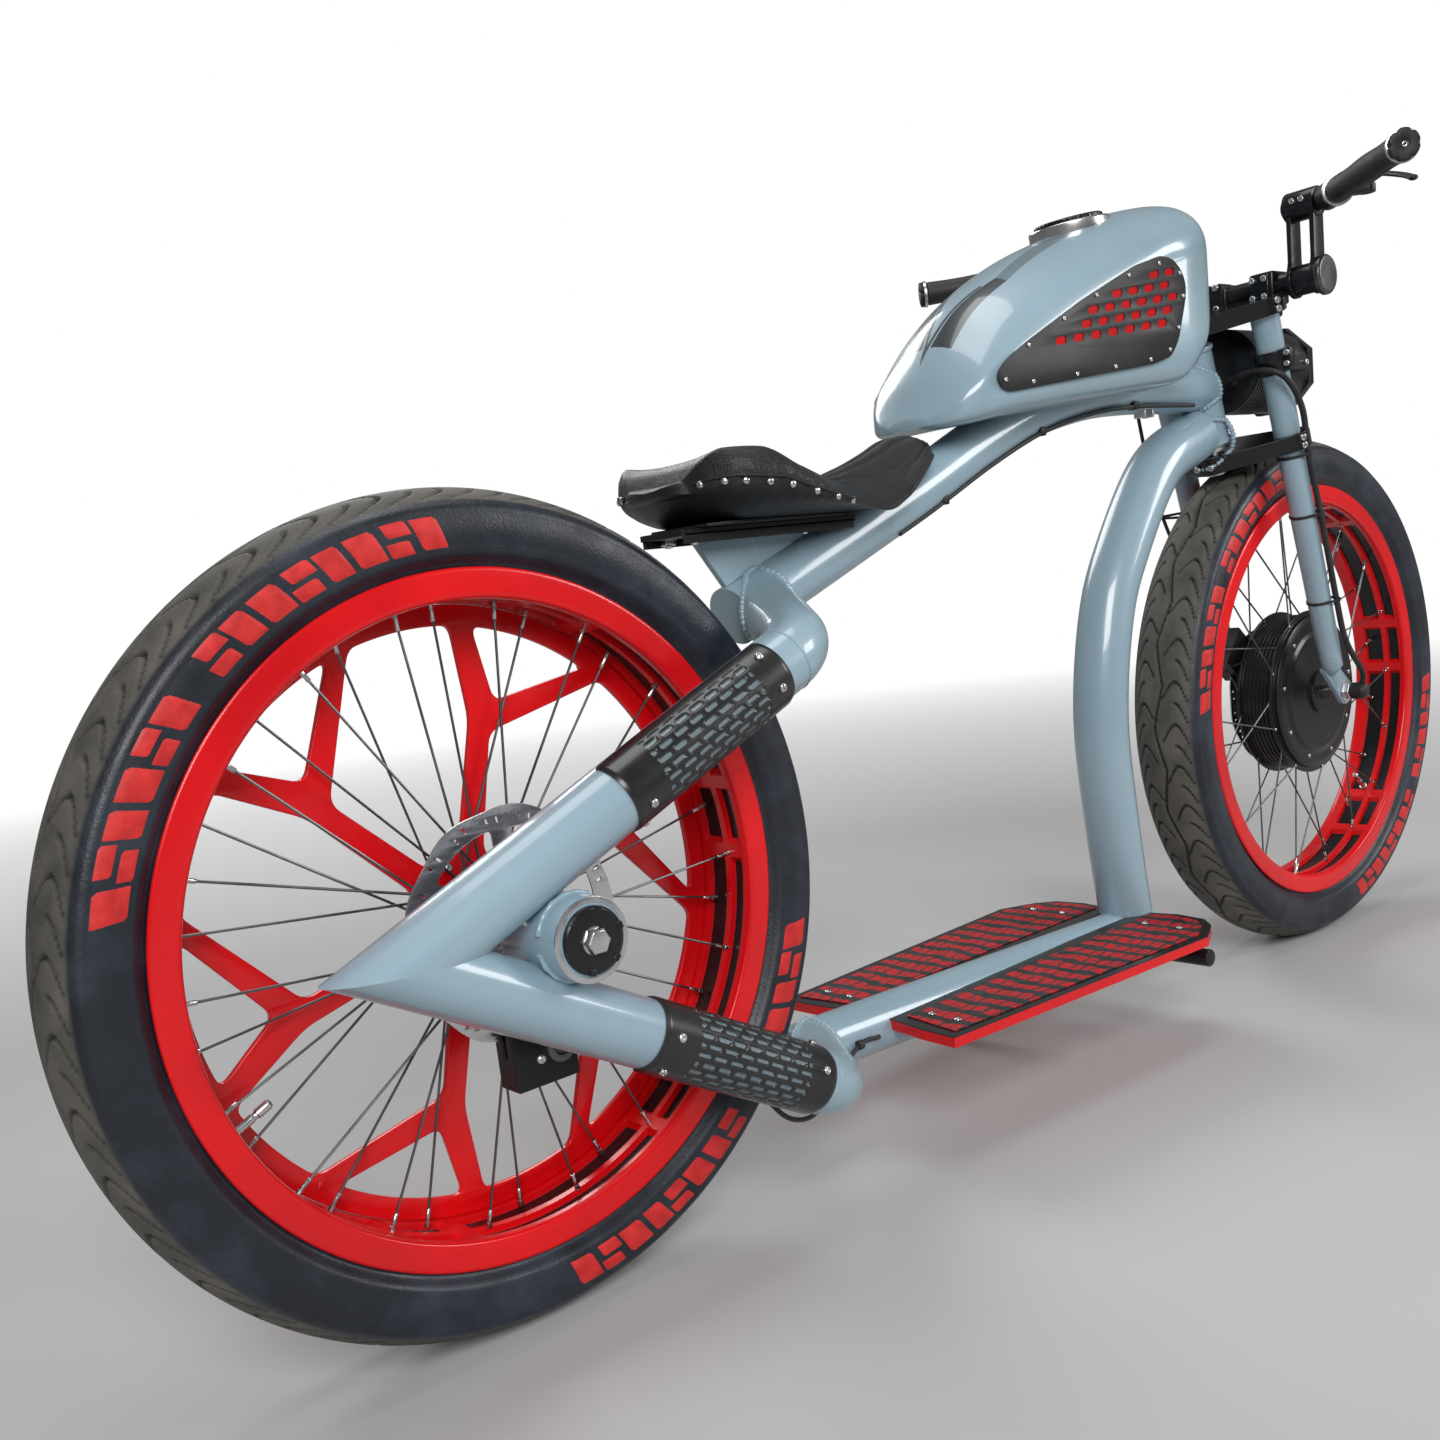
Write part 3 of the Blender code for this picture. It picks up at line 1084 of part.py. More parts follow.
# Headlight between the legs
light_back = Vector((LIGHT_X - 0.028, 0, LIGHT_Z))
light_mouth = Vector((LIGHT_X + LIGHT_LENGTH, 0, LIGHT_Z))
lug_x = on_leg(LIGHT_Z, 1).x
headlight = solid("headlight_body", BLACK, steering, a_rod(light_back, light_mouth, LIGHT_R, 24), smooth=True)
union_shapes(headlight,
             a_rod(light_mouth - Vector((0.014, 0, 0)), light_mouth + Vector((0.004, 0, 0)), BEZEL_R, 8),
             a_box((lug_x + 0.010, 0, LIGHT_Z), (0.020, 2 * LEG_Y, 0.016)))
hollow(headlight, a_bore(light_mouth - Vector((0.055, 0, 0)), light_mouth + Vector((0.02, 0, 0)),
                        LIGHT_MOUTH_R - 0.003, 24),
       a_bore(light_mouth - Vector((0.008, 0, 0)), light_mouth + Vector((0.02, 0, 0)), LIGHT_MOUTH_R, 24))
cut_with(headlight, right_leg_room)
cut_with(headlight, left_leg_room)
lens_back = light_mouth - Vector((0.008 - GAP, 0, 0))
solid("headlight_lens", LENS, steering, a_rod(lens_back, lens_back + Vector((LENS_THICK, 0, 0)),
                                               LIGHT_MOUTH_R - GAP, 24), smooth=True)

# Handlebar: crossbar, risers, swept stub bars, grips, perches and levers
solid("crossbar", BLACK, steering, a_rod((CROSSBAR_X, -CROSSBAR_HALF, CROSSBAR_Z),
                                         (CROSSBAR_X, CROSSBAR_HALF, CROSSBAR_Z), CROSSBAR_R, 20), smooth=True)
for name, side in (("right", -1), ("left", 1)):
    bend = Vector((BAR_BEND[0], side * BAR_BEND[1], BAR_BEND[2]))
    end = Vector((GRIP_END[0], side * GRIP_END[1], GRIP_END[2]))
    way = (end - bend).normalized()
    ahead = Vector((-side * way.y, side * way.x, 0)).normalized() * -1
    up = Vector((0, 0, 1))
    inner, outer = (side * (RISER_Y - RISER_GAP / 2), side * (RISER_Y + RISER_GAP / 2))
    half_riser = RISER_THICK / 2
    plates = [a_box(((CROSSBAR_X + BAR_BEND[0]) / 2, y, (CROSSBAR_Z + BAR_CLAMP_Z) / 2),
                    (RISER_WIDTH, RISER_THICK, BAR_CLAMP_Z - CROSSBAR_Z)) for y in (inner, outer)]
    plates += [a_rod((CROSSBAR_X, y - half_riser, CROSSBAR_Z), (CROSSBAR_X, y + half_riser, CROSSBAR_Z),
                     RISER_EYE_R, 12) for y in (inner, outer)]
    riser = solid(name + "_riser", BLACK, steering, *plates,
                  a_rod((BAR_BEND[0], inner - side * 0.006, BAR_CLAMP_Z),
                        (BAR_BEND[0], outer + side * 0.004, BAR_CLAMP_Z), BAR_CLAMP_R, 12))
    hollow(riser, a_bore((CROSSBAR_X, side * 0.1, CROSSBAR_Z), (CROSSBAR_X, side * 0.2, CROSSBAR_Z),
                        CROSSBAR_R + GAP, 12),
           a_bore((BAR_BEND[0], side * 0.08, BAR_CLAMP_Z), (BAR_BEND[0], side * 0.2, BAR_CLAMP_Z), BAR_R + GAP, 12))
    start = Vector((BAR_BEND[0], inner - side * 0.010, BAR_CLAMP_Z))
    corner = Vector((bend.x, bend.y, BAR_CLAMP_Z))
    pipe(name + "_stub_bar", rounded([start, corner, end - way * 0.006], 0.020), BAR_R, STEEL, steering, 10)

    # Perch: a ring round the bar with an arm, and the lever on top of the arm's end
    ring_start = bend + way * PERCH_FROM
    ring_end = ring_start + way * PERCH_LENGTH
    ring_middle = (ring_start + ring_end) / 2
    arm_end = ring_middle + ahead * PERCH_ARM
    turn = Matrix((ahead, up.cross(ahead), up)).transposed()
    perch = solid(name + "_lever_perch", BLACK, steering, a_rod(ring_start, ring_end, PERCH_R, 14),
                  a_box(ring_middle + ahead * PERCH_ARM / 2, (PERCH_ARM, 0.018, 0.010), turn),
                  a_rod(arm_end - up * 0.005, arm_end + up * 0.005, 0.010, 12))
    hollow(perch, a_bore(ring_start - way * 0.03, ring_end + way * 0.03, BAR_R + GAP, 12),
           a_bore(arm_end - up * 0.02, arm_end + up * 0.02, 0.003 + GAP, 8))
    lever_hinge = pivot(name + "_lever_axis", arm_end, steering)
    root = arm_end + up * (0.005 + GAP)
    tip_point = arm_end + way * LEVER_LENGTH + ahead * 0.010 - up * LEVER_DROP
    middle = arm_end + way * 0.030 + ahead * 0.006 + up * 0.010
    lever = pipe(name + "_lever", smooth_path([root + up * 0.0065 + way * 0.002, middle,
                                               middle.lerp(tip_point, 0.5) + ahead * 0.006, tip_point], 7),
                 LEVER_R, STEEL, lever_hinge, 8)
    union_shapes(lever, a_rod(root, root + up * 0.012, 0.009, 12),
                 a_rod(root - up * 0.0085, root + up * 0.002, 0.003, 8))

    # Grip: a leather sleeve with a closed outer end
    grip_start = bend + way * GRIP_FROM
    carrier = pivot("throttle_axis", grip_start, steering) if side < 0 else steering
    grip = solid("throttle_grip" if side < 0 else "left_grip", LEATHER, carrier,
                 a_rod(grip_start, end, GRIP_R, 16), smooth=True)
    union_shapes(grip, a_rod(grip_start, grip_start + way * 0.006, GRIP_R + 0.003, 16),
                 a_rod(end - way * 0.006, end, GRIP_R + 0.002, 16))
    hollow(grip, a_bore(grip_start - way * 0.02, end - way * 0.0055, BAR_R + GAP, 12))

# Side stand on the left: its leg reaches the floor, and folds up and back beside the floor tube
stand_hinge = Vector((STAND_X, STAND_Y, STAND_Z))
stand_foot = Vector((STAND_X - 0.030, STAND_FOOT_Y, STAND_FOOT_HEIGHT))
stand_way = (stand_foot - stand_hinge).normalized()
folded_way = Vector((-1, 0.10, 0.0)).normalized()
fold_axis = stand_way.cross(folded_way).normalized()
stand = pivot("stand_axis", stand_hinge)
lug_y = STAND_Y - STAND_LUG_BACK
union_shapes(floor_tube, a_box((STAND_X, lug_y / 2, STAND_Z + 0.006), (0.030, lug_y, 0.024)))
leg = solid("stand_leg", BLACK, stand, a_rod(stand_hinge, stand_foot, STAND_LEG_R, 12), smooth=True)
union_shapes(leg, a_rod(stand_hinge - fold_axis * 0.010, stand_hinge + fold_axis * 0.010, STAND_KNUCKLE_R, 14),
             a_rod((stand_foot.x, stand_foot.y, 0), (stand_foot.x, stand_foot.y, STAND_FOOT_HEIGHT + 0.006),
                   STAND_FOOT_R, 14, STAND_FOOT_R * 0.7))


# Hoses and leads, each held along its whole way
def hose(name, points, radius, count, parent=None):
    """A cable that leaves each end straight, and follows a smooth curve through its chosen points."""
    route = [Vector(points[0]), *smooth_path(points[1:-1], count), Vector(points[-1])]
    return tube(name, route, radius, MATT, parent, 8)


def beside_leg(share, behind, out, side):
    """A point beside a fork leg, at a share of its height from the axle."""
    place = on_leg(AXLE_Z + (LEG_TOP_Z - AXLE_Z) * share, side)
    return place + Vector((-behind, side * out, 0))


caliper_top = caliper_at + caliper_out * (0.025 + 2 * GAP) + Vector((0, 0.008, 0))
bar_point = Vector(BAR_BEND)
hose("front_brake_hose", [caliper_top, caliper_top + caliper_out * 0.008,
                          *[beside_leg(share, behind, out, 1) for share, behind, out in (
                              (0.239, 0.0427, -0.016), (0.400, 0.0295, 0.018), (0.522, 0.0224, 0.036),
                              (0.645, 0.0216, 0.041), (0.806, 0.0214, 0.039), (0.956, 0.0175, 0.037))],
                          *[bar_point + Vector(step) for step in (
                              (-0.039, -0.037, -0.073), (-0.040, -0.026, -0.041), (-0.025, -0.004, -0.029),
                              (0.004, 0.015, -0.022), (0.012, 0.018, -0.010), (0.0025, 0.0265, -0.003))]],
     HOSE_R, 20, steering)
lead_out = -drop_out - 0.010
hose("motor_lead", [(FRONT_X, lead_out - 2 * GAP, AXLE_Z), (FRONT_X, lead_out - 0.0137, AXLE_Z),
                    (FRONT_X - 0.009, lead_out - 0.0267, AXLE_Z + 0.022),
                    *[beside_leg(share, behind, out, -1) for share, behind, out in (
                        (0.145, -0.0241, 0.038), (0.258, -0.0139, 0.038), (0.485, 0.0003, 0.036),
                        (0.636, 0.0115, 0.038), (0.749, 0.0186, 0.036))],
                    *[light_back + Vector(step) for step in (
                        (-0.027, -0.103, -0.022), (-0.037, -0.070, -0.010), (-0.029, -0.036, -0.014),
                        (-0.013, -0.020, -0.018), (-2 * GAP, -0.020, -0.018))]],
     LEAD_R, 18, steering)
hose_start = Vector((caliper_x + 0.031, REAR_ROTOR_Y - 0.008, caliper_z))
under_floor = Vector((FLOOR_REAR_X, 0, FLOOR_REAR_Z))
hose("rear_brake_hose", [hose_start + Vector((GAP, 0, 0)), hose_start + Vector((0.008, 0, 0)),
                         *[hose_start + Vector(step) for step in (
                             (0.026, -0.006, -0.0077), (0.066, -0.022, -0.0197), (0.126, -0.027, -0.0447))],
                         *[under_floor + Vector(step) for step in (
                             (-0.120, -0.087, 0.026), (-0.085, -0.088, -0.016), (-0.045, -0.076, -0.034),
                             (-0.005, -0.053, -0.038), (0.030, -0.038, -0.028), (0.075, -0.0336, -0.004),
                             (0.105, -0.0336, -0.004))]],
     HOSE_R, 16)
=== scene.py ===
# %% [markdown]
# This lesson dresses the engineer's model of a stretched electric bicycle: fat tyres on red rims, blue-grey
# frame tubes, a painted tank and a black leather saddle. The model arrives as a fixed frame. Every new
# piece is drawn over the part that carries it, in the same metres, and rides on that part's body.

# %% Load the frame
import json
import math

import bmesh
import bpy
import numpy as np
from mathutils import Matrix, Vector

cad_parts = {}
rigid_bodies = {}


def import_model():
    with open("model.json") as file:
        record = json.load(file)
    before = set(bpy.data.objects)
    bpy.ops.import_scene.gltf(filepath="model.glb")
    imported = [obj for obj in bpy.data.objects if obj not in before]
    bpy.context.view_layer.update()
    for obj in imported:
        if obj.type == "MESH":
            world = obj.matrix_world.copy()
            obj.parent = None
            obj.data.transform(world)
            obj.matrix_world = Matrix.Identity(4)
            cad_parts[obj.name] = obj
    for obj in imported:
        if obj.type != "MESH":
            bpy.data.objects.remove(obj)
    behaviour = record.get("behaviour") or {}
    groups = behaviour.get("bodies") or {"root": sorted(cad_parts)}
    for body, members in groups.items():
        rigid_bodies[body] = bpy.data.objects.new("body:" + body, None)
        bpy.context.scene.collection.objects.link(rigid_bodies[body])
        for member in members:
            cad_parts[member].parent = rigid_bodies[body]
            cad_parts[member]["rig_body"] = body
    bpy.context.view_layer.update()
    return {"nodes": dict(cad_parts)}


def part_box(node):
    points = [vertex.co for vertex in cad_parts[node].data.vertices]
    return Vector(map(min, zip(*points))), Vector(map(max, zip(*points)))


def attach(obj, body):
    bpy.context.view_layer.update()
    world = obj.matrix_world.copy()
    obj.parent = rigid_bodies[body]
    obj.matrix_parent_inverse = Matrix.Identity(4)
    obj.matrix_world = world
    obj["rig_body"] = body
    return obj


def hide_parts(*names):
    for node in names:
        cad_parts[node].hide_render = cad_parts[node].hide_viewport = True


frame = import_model()

# %% [markdown]
# The main places come from the frame itself: a node's box gives the middle of each wheel. The steering axis
# and the few sizes that a box can't tell are named here, in metres.

# %% Places and sizes
REAR = np.array(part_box("rear_rim")).mean(axis=0) * (1, 0, 1)
FRONT = np.array(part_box("front_rim")).mean(axis=0) * (1, 0, 1)
AXLE_Z = REAR[2]
TYRE_R = 0.365
RIM_R = 0.297
RIM_HALF = 0.041
RIM_INNER_R = 0.271
HEAD = np.array([0.492, 0.0, 0.77])
HEAD_ANGLE = math.radians(73.4)
STEER_UP = np.array([-math.cos(HEAD_ANGLE), 0.0, math.sin(HEAD_ANGLE)])
STEER_AHEAD = np.array([math.sin(HEAD_ANGLE), 0.0, math.cos(HEAD_ANGLE)])
UP = np.array([0.0, 0.0, 1.0])
LEFT = np.array([0.0, 1.0, 0.0])
AHEAD = np.array([1.0, 0.0, 0.0])
BEHIND = np.array([-1.0, 0.0, 0.0])
print("rear axle", REAR, "front axle", FRONT)

# %% [markdown]
# Every finish shares a few effects: fine grain, cloudy change of colour, and bare edges. Each is a node
# group, built once, with numbers for its size and strength. A group gives out only masks and normals; the
# shader and its own plain numbers stay in the material.

# %% Shared shader groups
def new_group(name, inputs, outputs):
    """An empty shader group with named float inputs (name, value) and outputs (name, kind)."""
    group = bpy.data.node_groups.new(name, "ShaderNodeTree")
    for label, value in inputs:
        group.interface.new_socket(label, in_out="INPUT", socket_type="NodeSocketFloat").default_value = value
    for label, kind in outputs:
        group.interface.new_socket(label, in_out="OUTPUT", socket_type=kind)
    return group, group.nodes.new("NodeGroupInput"), group.nodes.new("NodeGroupOutput")


def mix_value(tree, operation, first, second):
    """A Math node on two values, each a number or another node's output."""
    node = tree.nodes.new("ShaderNodeMath")
    node.operation = operation
    for index, value in enumerate((first, second)):
        if isinstance(value, (int, float)):
            node.inputs[index].default_value = value
        else:
            tree.links.new(value, node.inputs[index])
    return node.outputs[0]


def noise(tree, vector, scale, detail=4.0, rough=0.55):
    """Noise read at a vector; the scale is a number or an output."""
    node = tree.nodes.new("ShaderNodeTexNoise")
    node.inputs["Detail"].default_value = detail
    node.inputs["Roughness"].default_value = rough
    tree.links.new(vector, node.inputs["Vector"])
    if isinstance(scale, (int, float)):
        node.inputs["Scale"].default_value = scale
    else:
        tree.links.new(scale, node.inputs["Scale"])
    return node.outputs["Fac"]


def object_place(tree):
    """The place on an object, in its own metres."""
    return tree.nodes.new("ShaderNodeTexCoord").outputs["Object"]


def build_surface_group():
    """Grain: cloudy mask, fine speck mask and a bumped normal, all read from Object coordinates."""
    group, given, out = new_group("surface_grain",
                                  [("Cloud Scale", 6.0), ("Speck Scale", 400.0), ("Bump", 0.1),
                                                    ("Depth", 0.0002)],
                                  [("Cloud", "NodeSocketFloat"), ("Speck", "NodeSocketFloat"),
                                   ("Normal", "NodeSocketVector")])
    where = object_place(group)
    cloud = noise(group, where, given.outputs["Cloud Scale"])
    speck = noise(group, where, given.outputs["Speck Scale"], 2.0)
    bump = group.nodes.new("ShaderNodeBump")
    group.links.new(given.outputs["Bump"], bump.inputs["Strength"])
    group.links.new(given.outputs["Depth"], bump.inputs["Distance"])
    group.links.new(speck, bump.inputs["Height"])
    group.links.new(cloud, out.inputs["Cloud"])
    group.links.new(speck, out.inputs["Speck"])
    group.links.new(bump.outputs["Normal"], out.inputs["Normal"])
    return group


def build_wear_group():
    """Edge wear: where the surface turns within a radius, broken up by noise, the mask is 1."""
    group, given, out = new_group("edge_wear", [("Radius", 0.001), ("Break Up", 60.0), ("Amount", 0.5)],
                                  [("Mask", "NodeSocketFloat")])
    bevel = group.nodes.new("ShaderNodeBevel")
    bevel.samples = 4
    group.links.new(given.outputs["Radius"], bevel.inputs["Radius"])
    plain = group.nodes.new("ShaderNodeNewGeometry").outputs["Normal"]
    dot = group.nodes.new("ShaderNodeVectorMath")
    dot.operation = "DOT_PRODUCT"
    group.links.new(bevel.outputs["Normal"], dot.inputs[0])
    group.links.new(plain, dot.inputs[1])
    turn = mix_value(group, "MULTIPLY", mix_value(group, "SUBTRACT", 1.0, dot.outputs["Value"]), 6.0)
    where = object_place(group)
    broken = mix_value(group, "ADD", noise(group, where, given.outputs["Break Up"], 5.0), 0.15)
    worn = mix_value(group, "MULTIPLY", mix_value(group, "MULTIPLY", turn, broken), given.outputs["Amount"])
    group.links.new(mix_value(group, "MINIMUM", worn, 1.0), out.inputs["Mask"])
    return group


GRAIN = build_surface_group()
WEAR = build_wear_group()
print("groups", [group.name for group in bpy.data.node_groups])

# %% [markdown]
# A finish is a Principled shader with those groups in front of it. One function sets up the usual chain:
# two tones mixed by the cloud and a third for worn edges, with the specks in the bump. Roughness swings with
# the same cloud. The paint adds a clear coat, metals set Metallic, and each finish keeps its own numbers.

# %% Finishes
def attribute(tree, name):
    """A value kept on the mesh."""
    node = tree.nodes.new("ShaderNodeAttribute")
    node.attribute_name = name
    return node.outputs["Fac"]


def base_colour(shader):
    """The output that feeds a shader's base colour."""
    return shader.inputs["Base Color"].links[0].from_socket


def placed_group(tree, group, **values):
    """A group node in a material, with its inputs set."""
    node = tree.nodes.new("ShaderNodeGroup")
    node.node_tree = group
    for label, value in values.items():
        node.inputs[label.replace("_", " ")].default_value = value
    return node


def mix_colour(tree, factor, first, second):
    """Mixes two colours, each a tuple or an output, by a factor output."""
    node = tree.nodes.new("ShaderNodeMix")
    node.data_type = "RGBA"
    if isinstance(factor, (int, float)):
        node.inputs[0].default_value = factor
    else:
        tree.links.new(factor, node.inputs[0])
    for index, value in ((6, first), (7, second)):
        if isinstance(value, tuple):
            node.inputs[index].default_value = (*value, 1.0)
        else:
            tree.links.new(value, node.inputs[index])
    return node.outputs[2]


def spread(tree, value, low, high, out_low=0.0, out_high=1.0):
    """Maps a value from low..high to another range, clamped."""
    node = tree.nodes.new("ShaderNodeMapRange")
    node.inputs["From Min"].default_value = low
    node.inputs["From Max"].default_value = high
    node.inputs["To Min"].default_value = out_low
    node.inputs["To Max"].default_value = out_high
    tree.links.new(value, node.inputs["Value"])
    return node.outputs["Result"]


def finish(name, dark, light, rough, metallic=0.0, worn=None, wear=0.0, edge=0.0008, cloud=7.0, speck=500.0,
           bump=0.06, depth=0.0002, coat=0.0):
    """A finish: two tones, a roughness range, fine grain, and edges worn to a third tone."""
    made = bpy.data.materials.new(name)
    made.use_nodes = True
    tree = made.node_tree
    shader = tree.nodes["Principled BSDF"]
    grain = placed_group(tree, GRAIN, Cloud_Scale=cloud, Speck_Scale=speck, Bump=bump, Depth=depth)
    mask = spread(tree, grain.outputs["Cloud"], 0.35, 0.65)
    colour = mix_colour(tree, mask, dark, light)
    if worn is not None:
        edges = placed_group(tree, WEAR, Radius=edge, Break_Up=90.0, Amount=wear)
        colour = mix_colour(tree, edges.outputs["Mask"], colour, worn)
    tree.links.new(colour, shader.inputs["Base Color"])
    tree.links.new(spread(tree, grain.outputs["Cloud"], 0.3, 0.7, rough[0], rough[1]),
                   shader.inputs["Roughness"])
    tree.links.new(grain.outputs["Normal"], shader.inputs["Normal"])
    shader.inputs["Metallic"].default_value = metallic
    shader.inputs["Coat Weight"].default_value = coat
    shader.inputs["Coat Roughness"].default_value = 0.06
    made.diffuse_color = (*light, 1.0)
    return made


PAINT = finish("frame_paint_finish", (0.268, 0.385, 0.455), (0.308, 0.430, 0.503), (0.24, 0.34), 0.0,
               (0.42, 0.53, 0.57), 0.5, cloud=4.0, speck=900.0, bump=0.03, coat=0.6)
RED = finish("red_paint_finish", (0.62, 0.004, 0.008), (0.82, 0.003, 0.006), (0.20, 0.32), 0.0,
             (0.85, 0.08, 0.06), 0.3, cloud=5.0, speck=900.0, bump=0.03, coat=0.15)
RED.node_tree.nodes["Principled BSDF"].inputs["Specular IOR Level"].default_value = 0.35
BLACK = finish("black_paint_finish", (0.006, 0.006, 0.007), (0.012, 0.012, 0.014), (0.20, 0.34), 0.0,
               (0.10, 0.10, 0.105), 0.6, cloud=9.0, speck=700.0, bump=0.06, coat=0.1)
SATIN = finish("satin_black_finish", (0.008, 0.008, 0.009), (0.016, 0.016, 0.017), (0.38, 0.52), 0.0,
               (0.13, 0.13, 0.13), 0.7, cloud=12.0, speck=900.0, bump=0.16, depth=0.0003)
STEEL = finish("bright_steel_finish", (0.50, 0.50, 0.51), (0.66, 0.66, 0.67), (0.18, 0.34), 1.0,
               (0.85, 0.85, 0.86), 0.5, cloud=30.0, speck=900.0, bump=0.04)
ALLOY = finish("dark_alloy_finish", (0.10, 0.10, 0.105), (0.17, 0.17, 0.175), (0.30, 0.45), 1.0,
               (0.40, 0.40, 0.41), 0.6, cloud=20.0, speck=900.0, bump=0.08)
CABLE = finish("cable_rubber_finish", (0.010, 0.010, 0.011), (0.022, 0.022, 0.023), (0.42, 0.60), 0.0,
               cloud=40.0, speck=900.0, bump=0.10)
PACK = finish("battery_case_finish", (0.020, 0.021, 0.023), (0.035, 0.036, 0.040), (0.50, 0.65), 0.0,
              (0.10, 0.10, 0.10), 0.5, cloud=16.0, speck=700.0, bump=0.15)
for black in (BLACK, SATIN):
    black.node_tree.nodes["Principled BSDF"].inputs["Specular IOR Level"].default_value = 0.32
print("finishes", len(bpy.data.materials))

# %% [markdown]
# Shapes are whole arrays of points on a grid of two parameters. One helper turns such an array into a mesh,
# and the others carry a profile round an axis, along a path, or lay many small turned parts at once.
# Doubled points at poles and seams are merged, so that every skin is closed, and then the faces are turned
# outwards.

# %% Mesh helpers
def grid_faces(rows, columns, wrap_rows, wrap_columns, first=0):
    """Corner numbers of the quads of a grid, counted row by row; a wrap joins the last line to the first."""
    i = np.arange(rows if wrap_rows else rows - 1)[:, None]
    j = np.arange(columns if wrap_columns else columns - 1)[None, :]
    i2, j2 = (i + 1) % rows, (j + 1) % columns
    quads = np.stack([i * columns + j, i2 * columns + j, i2 * columns + j2, i * columns + j2], axis=-1)
    return quads.reshape(-1, 4) + first


def seat(made, body, smooth=35.0):
    """The last step of every piece: its place in the scene, its body and its smooth faces."""
    made.data.shade_smooth()
    if smooth < 180:
        made.data.set_sharp_from_angle(angle=math.radians(smooth))
    if not made.users_collection:
        bpy.context.scene.collection.objects.link(made)
    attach(made, body)
    return made


def face_out(data, prepare=None):
    """Turns all faces of a mesh outwards, after a step that may change it first."""
    bm = bmesh.new()
    bm.from_mesh(data)
    if prepare:
        prepare(bm)
    bmesh.ops.recalc_face_normals(bm, faces=bm.faces[:])
    bm.to_mesh(data)
    bm.free()


def clean(data, merge=1e-6):
    """Merges doubled points and turns all faces outwards."""
    def join(bm):
        bmesh.ops.remove_doubles(bm, verts=bm.verts[:], dist=merge)
        bmesh.ops.dissolve_degenerate(bm, edges=bm.edges[:], dist=1e-7)

    face_out(data, join)


def skins(name, grids, body, finish_used, smooth=35.0, merge=1e-6):
    """One piece from several grids, each (points[rows, columns, 3], wrap_rows, wrap_columns)."""
    points, faces, first = [], [], 0
    for grid, wrap_rows, wrap_columns in grids:
        grid = np.asarray(grid, dtype=float)
        points.append(grid.reshape(-1, 3))
        faces.append(grid_faces(grid.shape[0], grid.shape[1], wrap_rows, wrap_columns, first))
        first += grid.shape[0] * grid.shape[1]
    data = bpy.data.meshes.new(name)
    data.from_pydata(np.concatenate(points).tolist(), [], np.concatenate(faces).tolist())
    clean(data, merge)
    data.materials.append(finish_used)
    return seat(bpy.data.objects.new(name, data), body, smooth)


def unit(vector):
    """The vector at length 1."""
    vector = np.asarray(vector, dtype=float)
    return vector / np.linalg.norm(vector)


def across(axis):
    """Two directions square to an axis and to each other."""
    axis = unit(axis)
    side = unit(np.cross(axis, UP if abs(axis[2]) < 0.9 else np.array([1.0, 0.0, 0.0])))
    return side, np.cross(axis, side)


def turned(profile, origin, axis, steps=64, side=None):
    """A profile of (distance along the axis, radius) carried round: origin + a·axis + r·(cos, sin)."""
    profile = np.asarray(profile, dtype=float)
    axis = unit(axis)
    u, v = across(axis) if side is None else (np.asarray(side), np.cross(axis, side))
    turn = np.linspace(0, 2 * math.pi, steps, endpoint=False)
    ring = np.cos(turn)[:, None] * u + np.sin(turn)[:, None] * v
    return np.asarray(origin) + profile[None, :, :1] * axis + profile[None, :, 1:] * ring[:, None,
                                                                                          :], True, False


def softened(profile, radius, steps=4, closed=False):
    """Rounds the corners of a profile: each corner becomes a quadratic curve that starts radius before it."""
    pts = np.asarray(profile, dtype=float)
    made = [] if closed else [pts[:1]]
    count = len(pts)
    for i in range(0 if closed else 1, count if closed else count - 1):
        before, corner, after = pts[i - 1], pts[i], pts[(i + 1) % count]
        back, ahead = before - corner, after - corner
        reach_back, reach_ahead = np.linalg.norm(back), np.linalg.norm(ahead)
        start = corner + back / reach_back * min(radius, reach_back * 0.45)
        end = corner + ahead / reach_ahead * min(radius, reach_ahead * 0.45)
        t = np.linspace(0, 1, steps + 1)[:, None]
        made.append((1 - t) ** 2 * start + 2 * t * (1 - t) * corner + t ** 2 * end)
    if not closed:
        made.append(pts[-1:])
    return np.concatenate(made)


def looped(profile):
    """A profile closed on itself, by its first point at its end."""
    return np.concatenate([profile, profile[:1]])


def hoop(start, end, inner, outer, edge, steps=2):
    """The closed profile of a ring, from start to end along its axis."""
    return softened([(start, inner), (start, outer), (end, outer), (end, inner), (start, inner)], edge, steps)


def rod(start, end, radius, edge, steps=2):
    """The profile of a round bar, from start to end along its axis."""
    return softened([(start, 0.0), (start, radius), (end, radius), (end, 0.0)], edge, steps)


def wheelwise(angle):
    """The direction at an angle in the plane of the wheels."""
    return np.array([math.cos(angle), 0, math.sin(angle)])


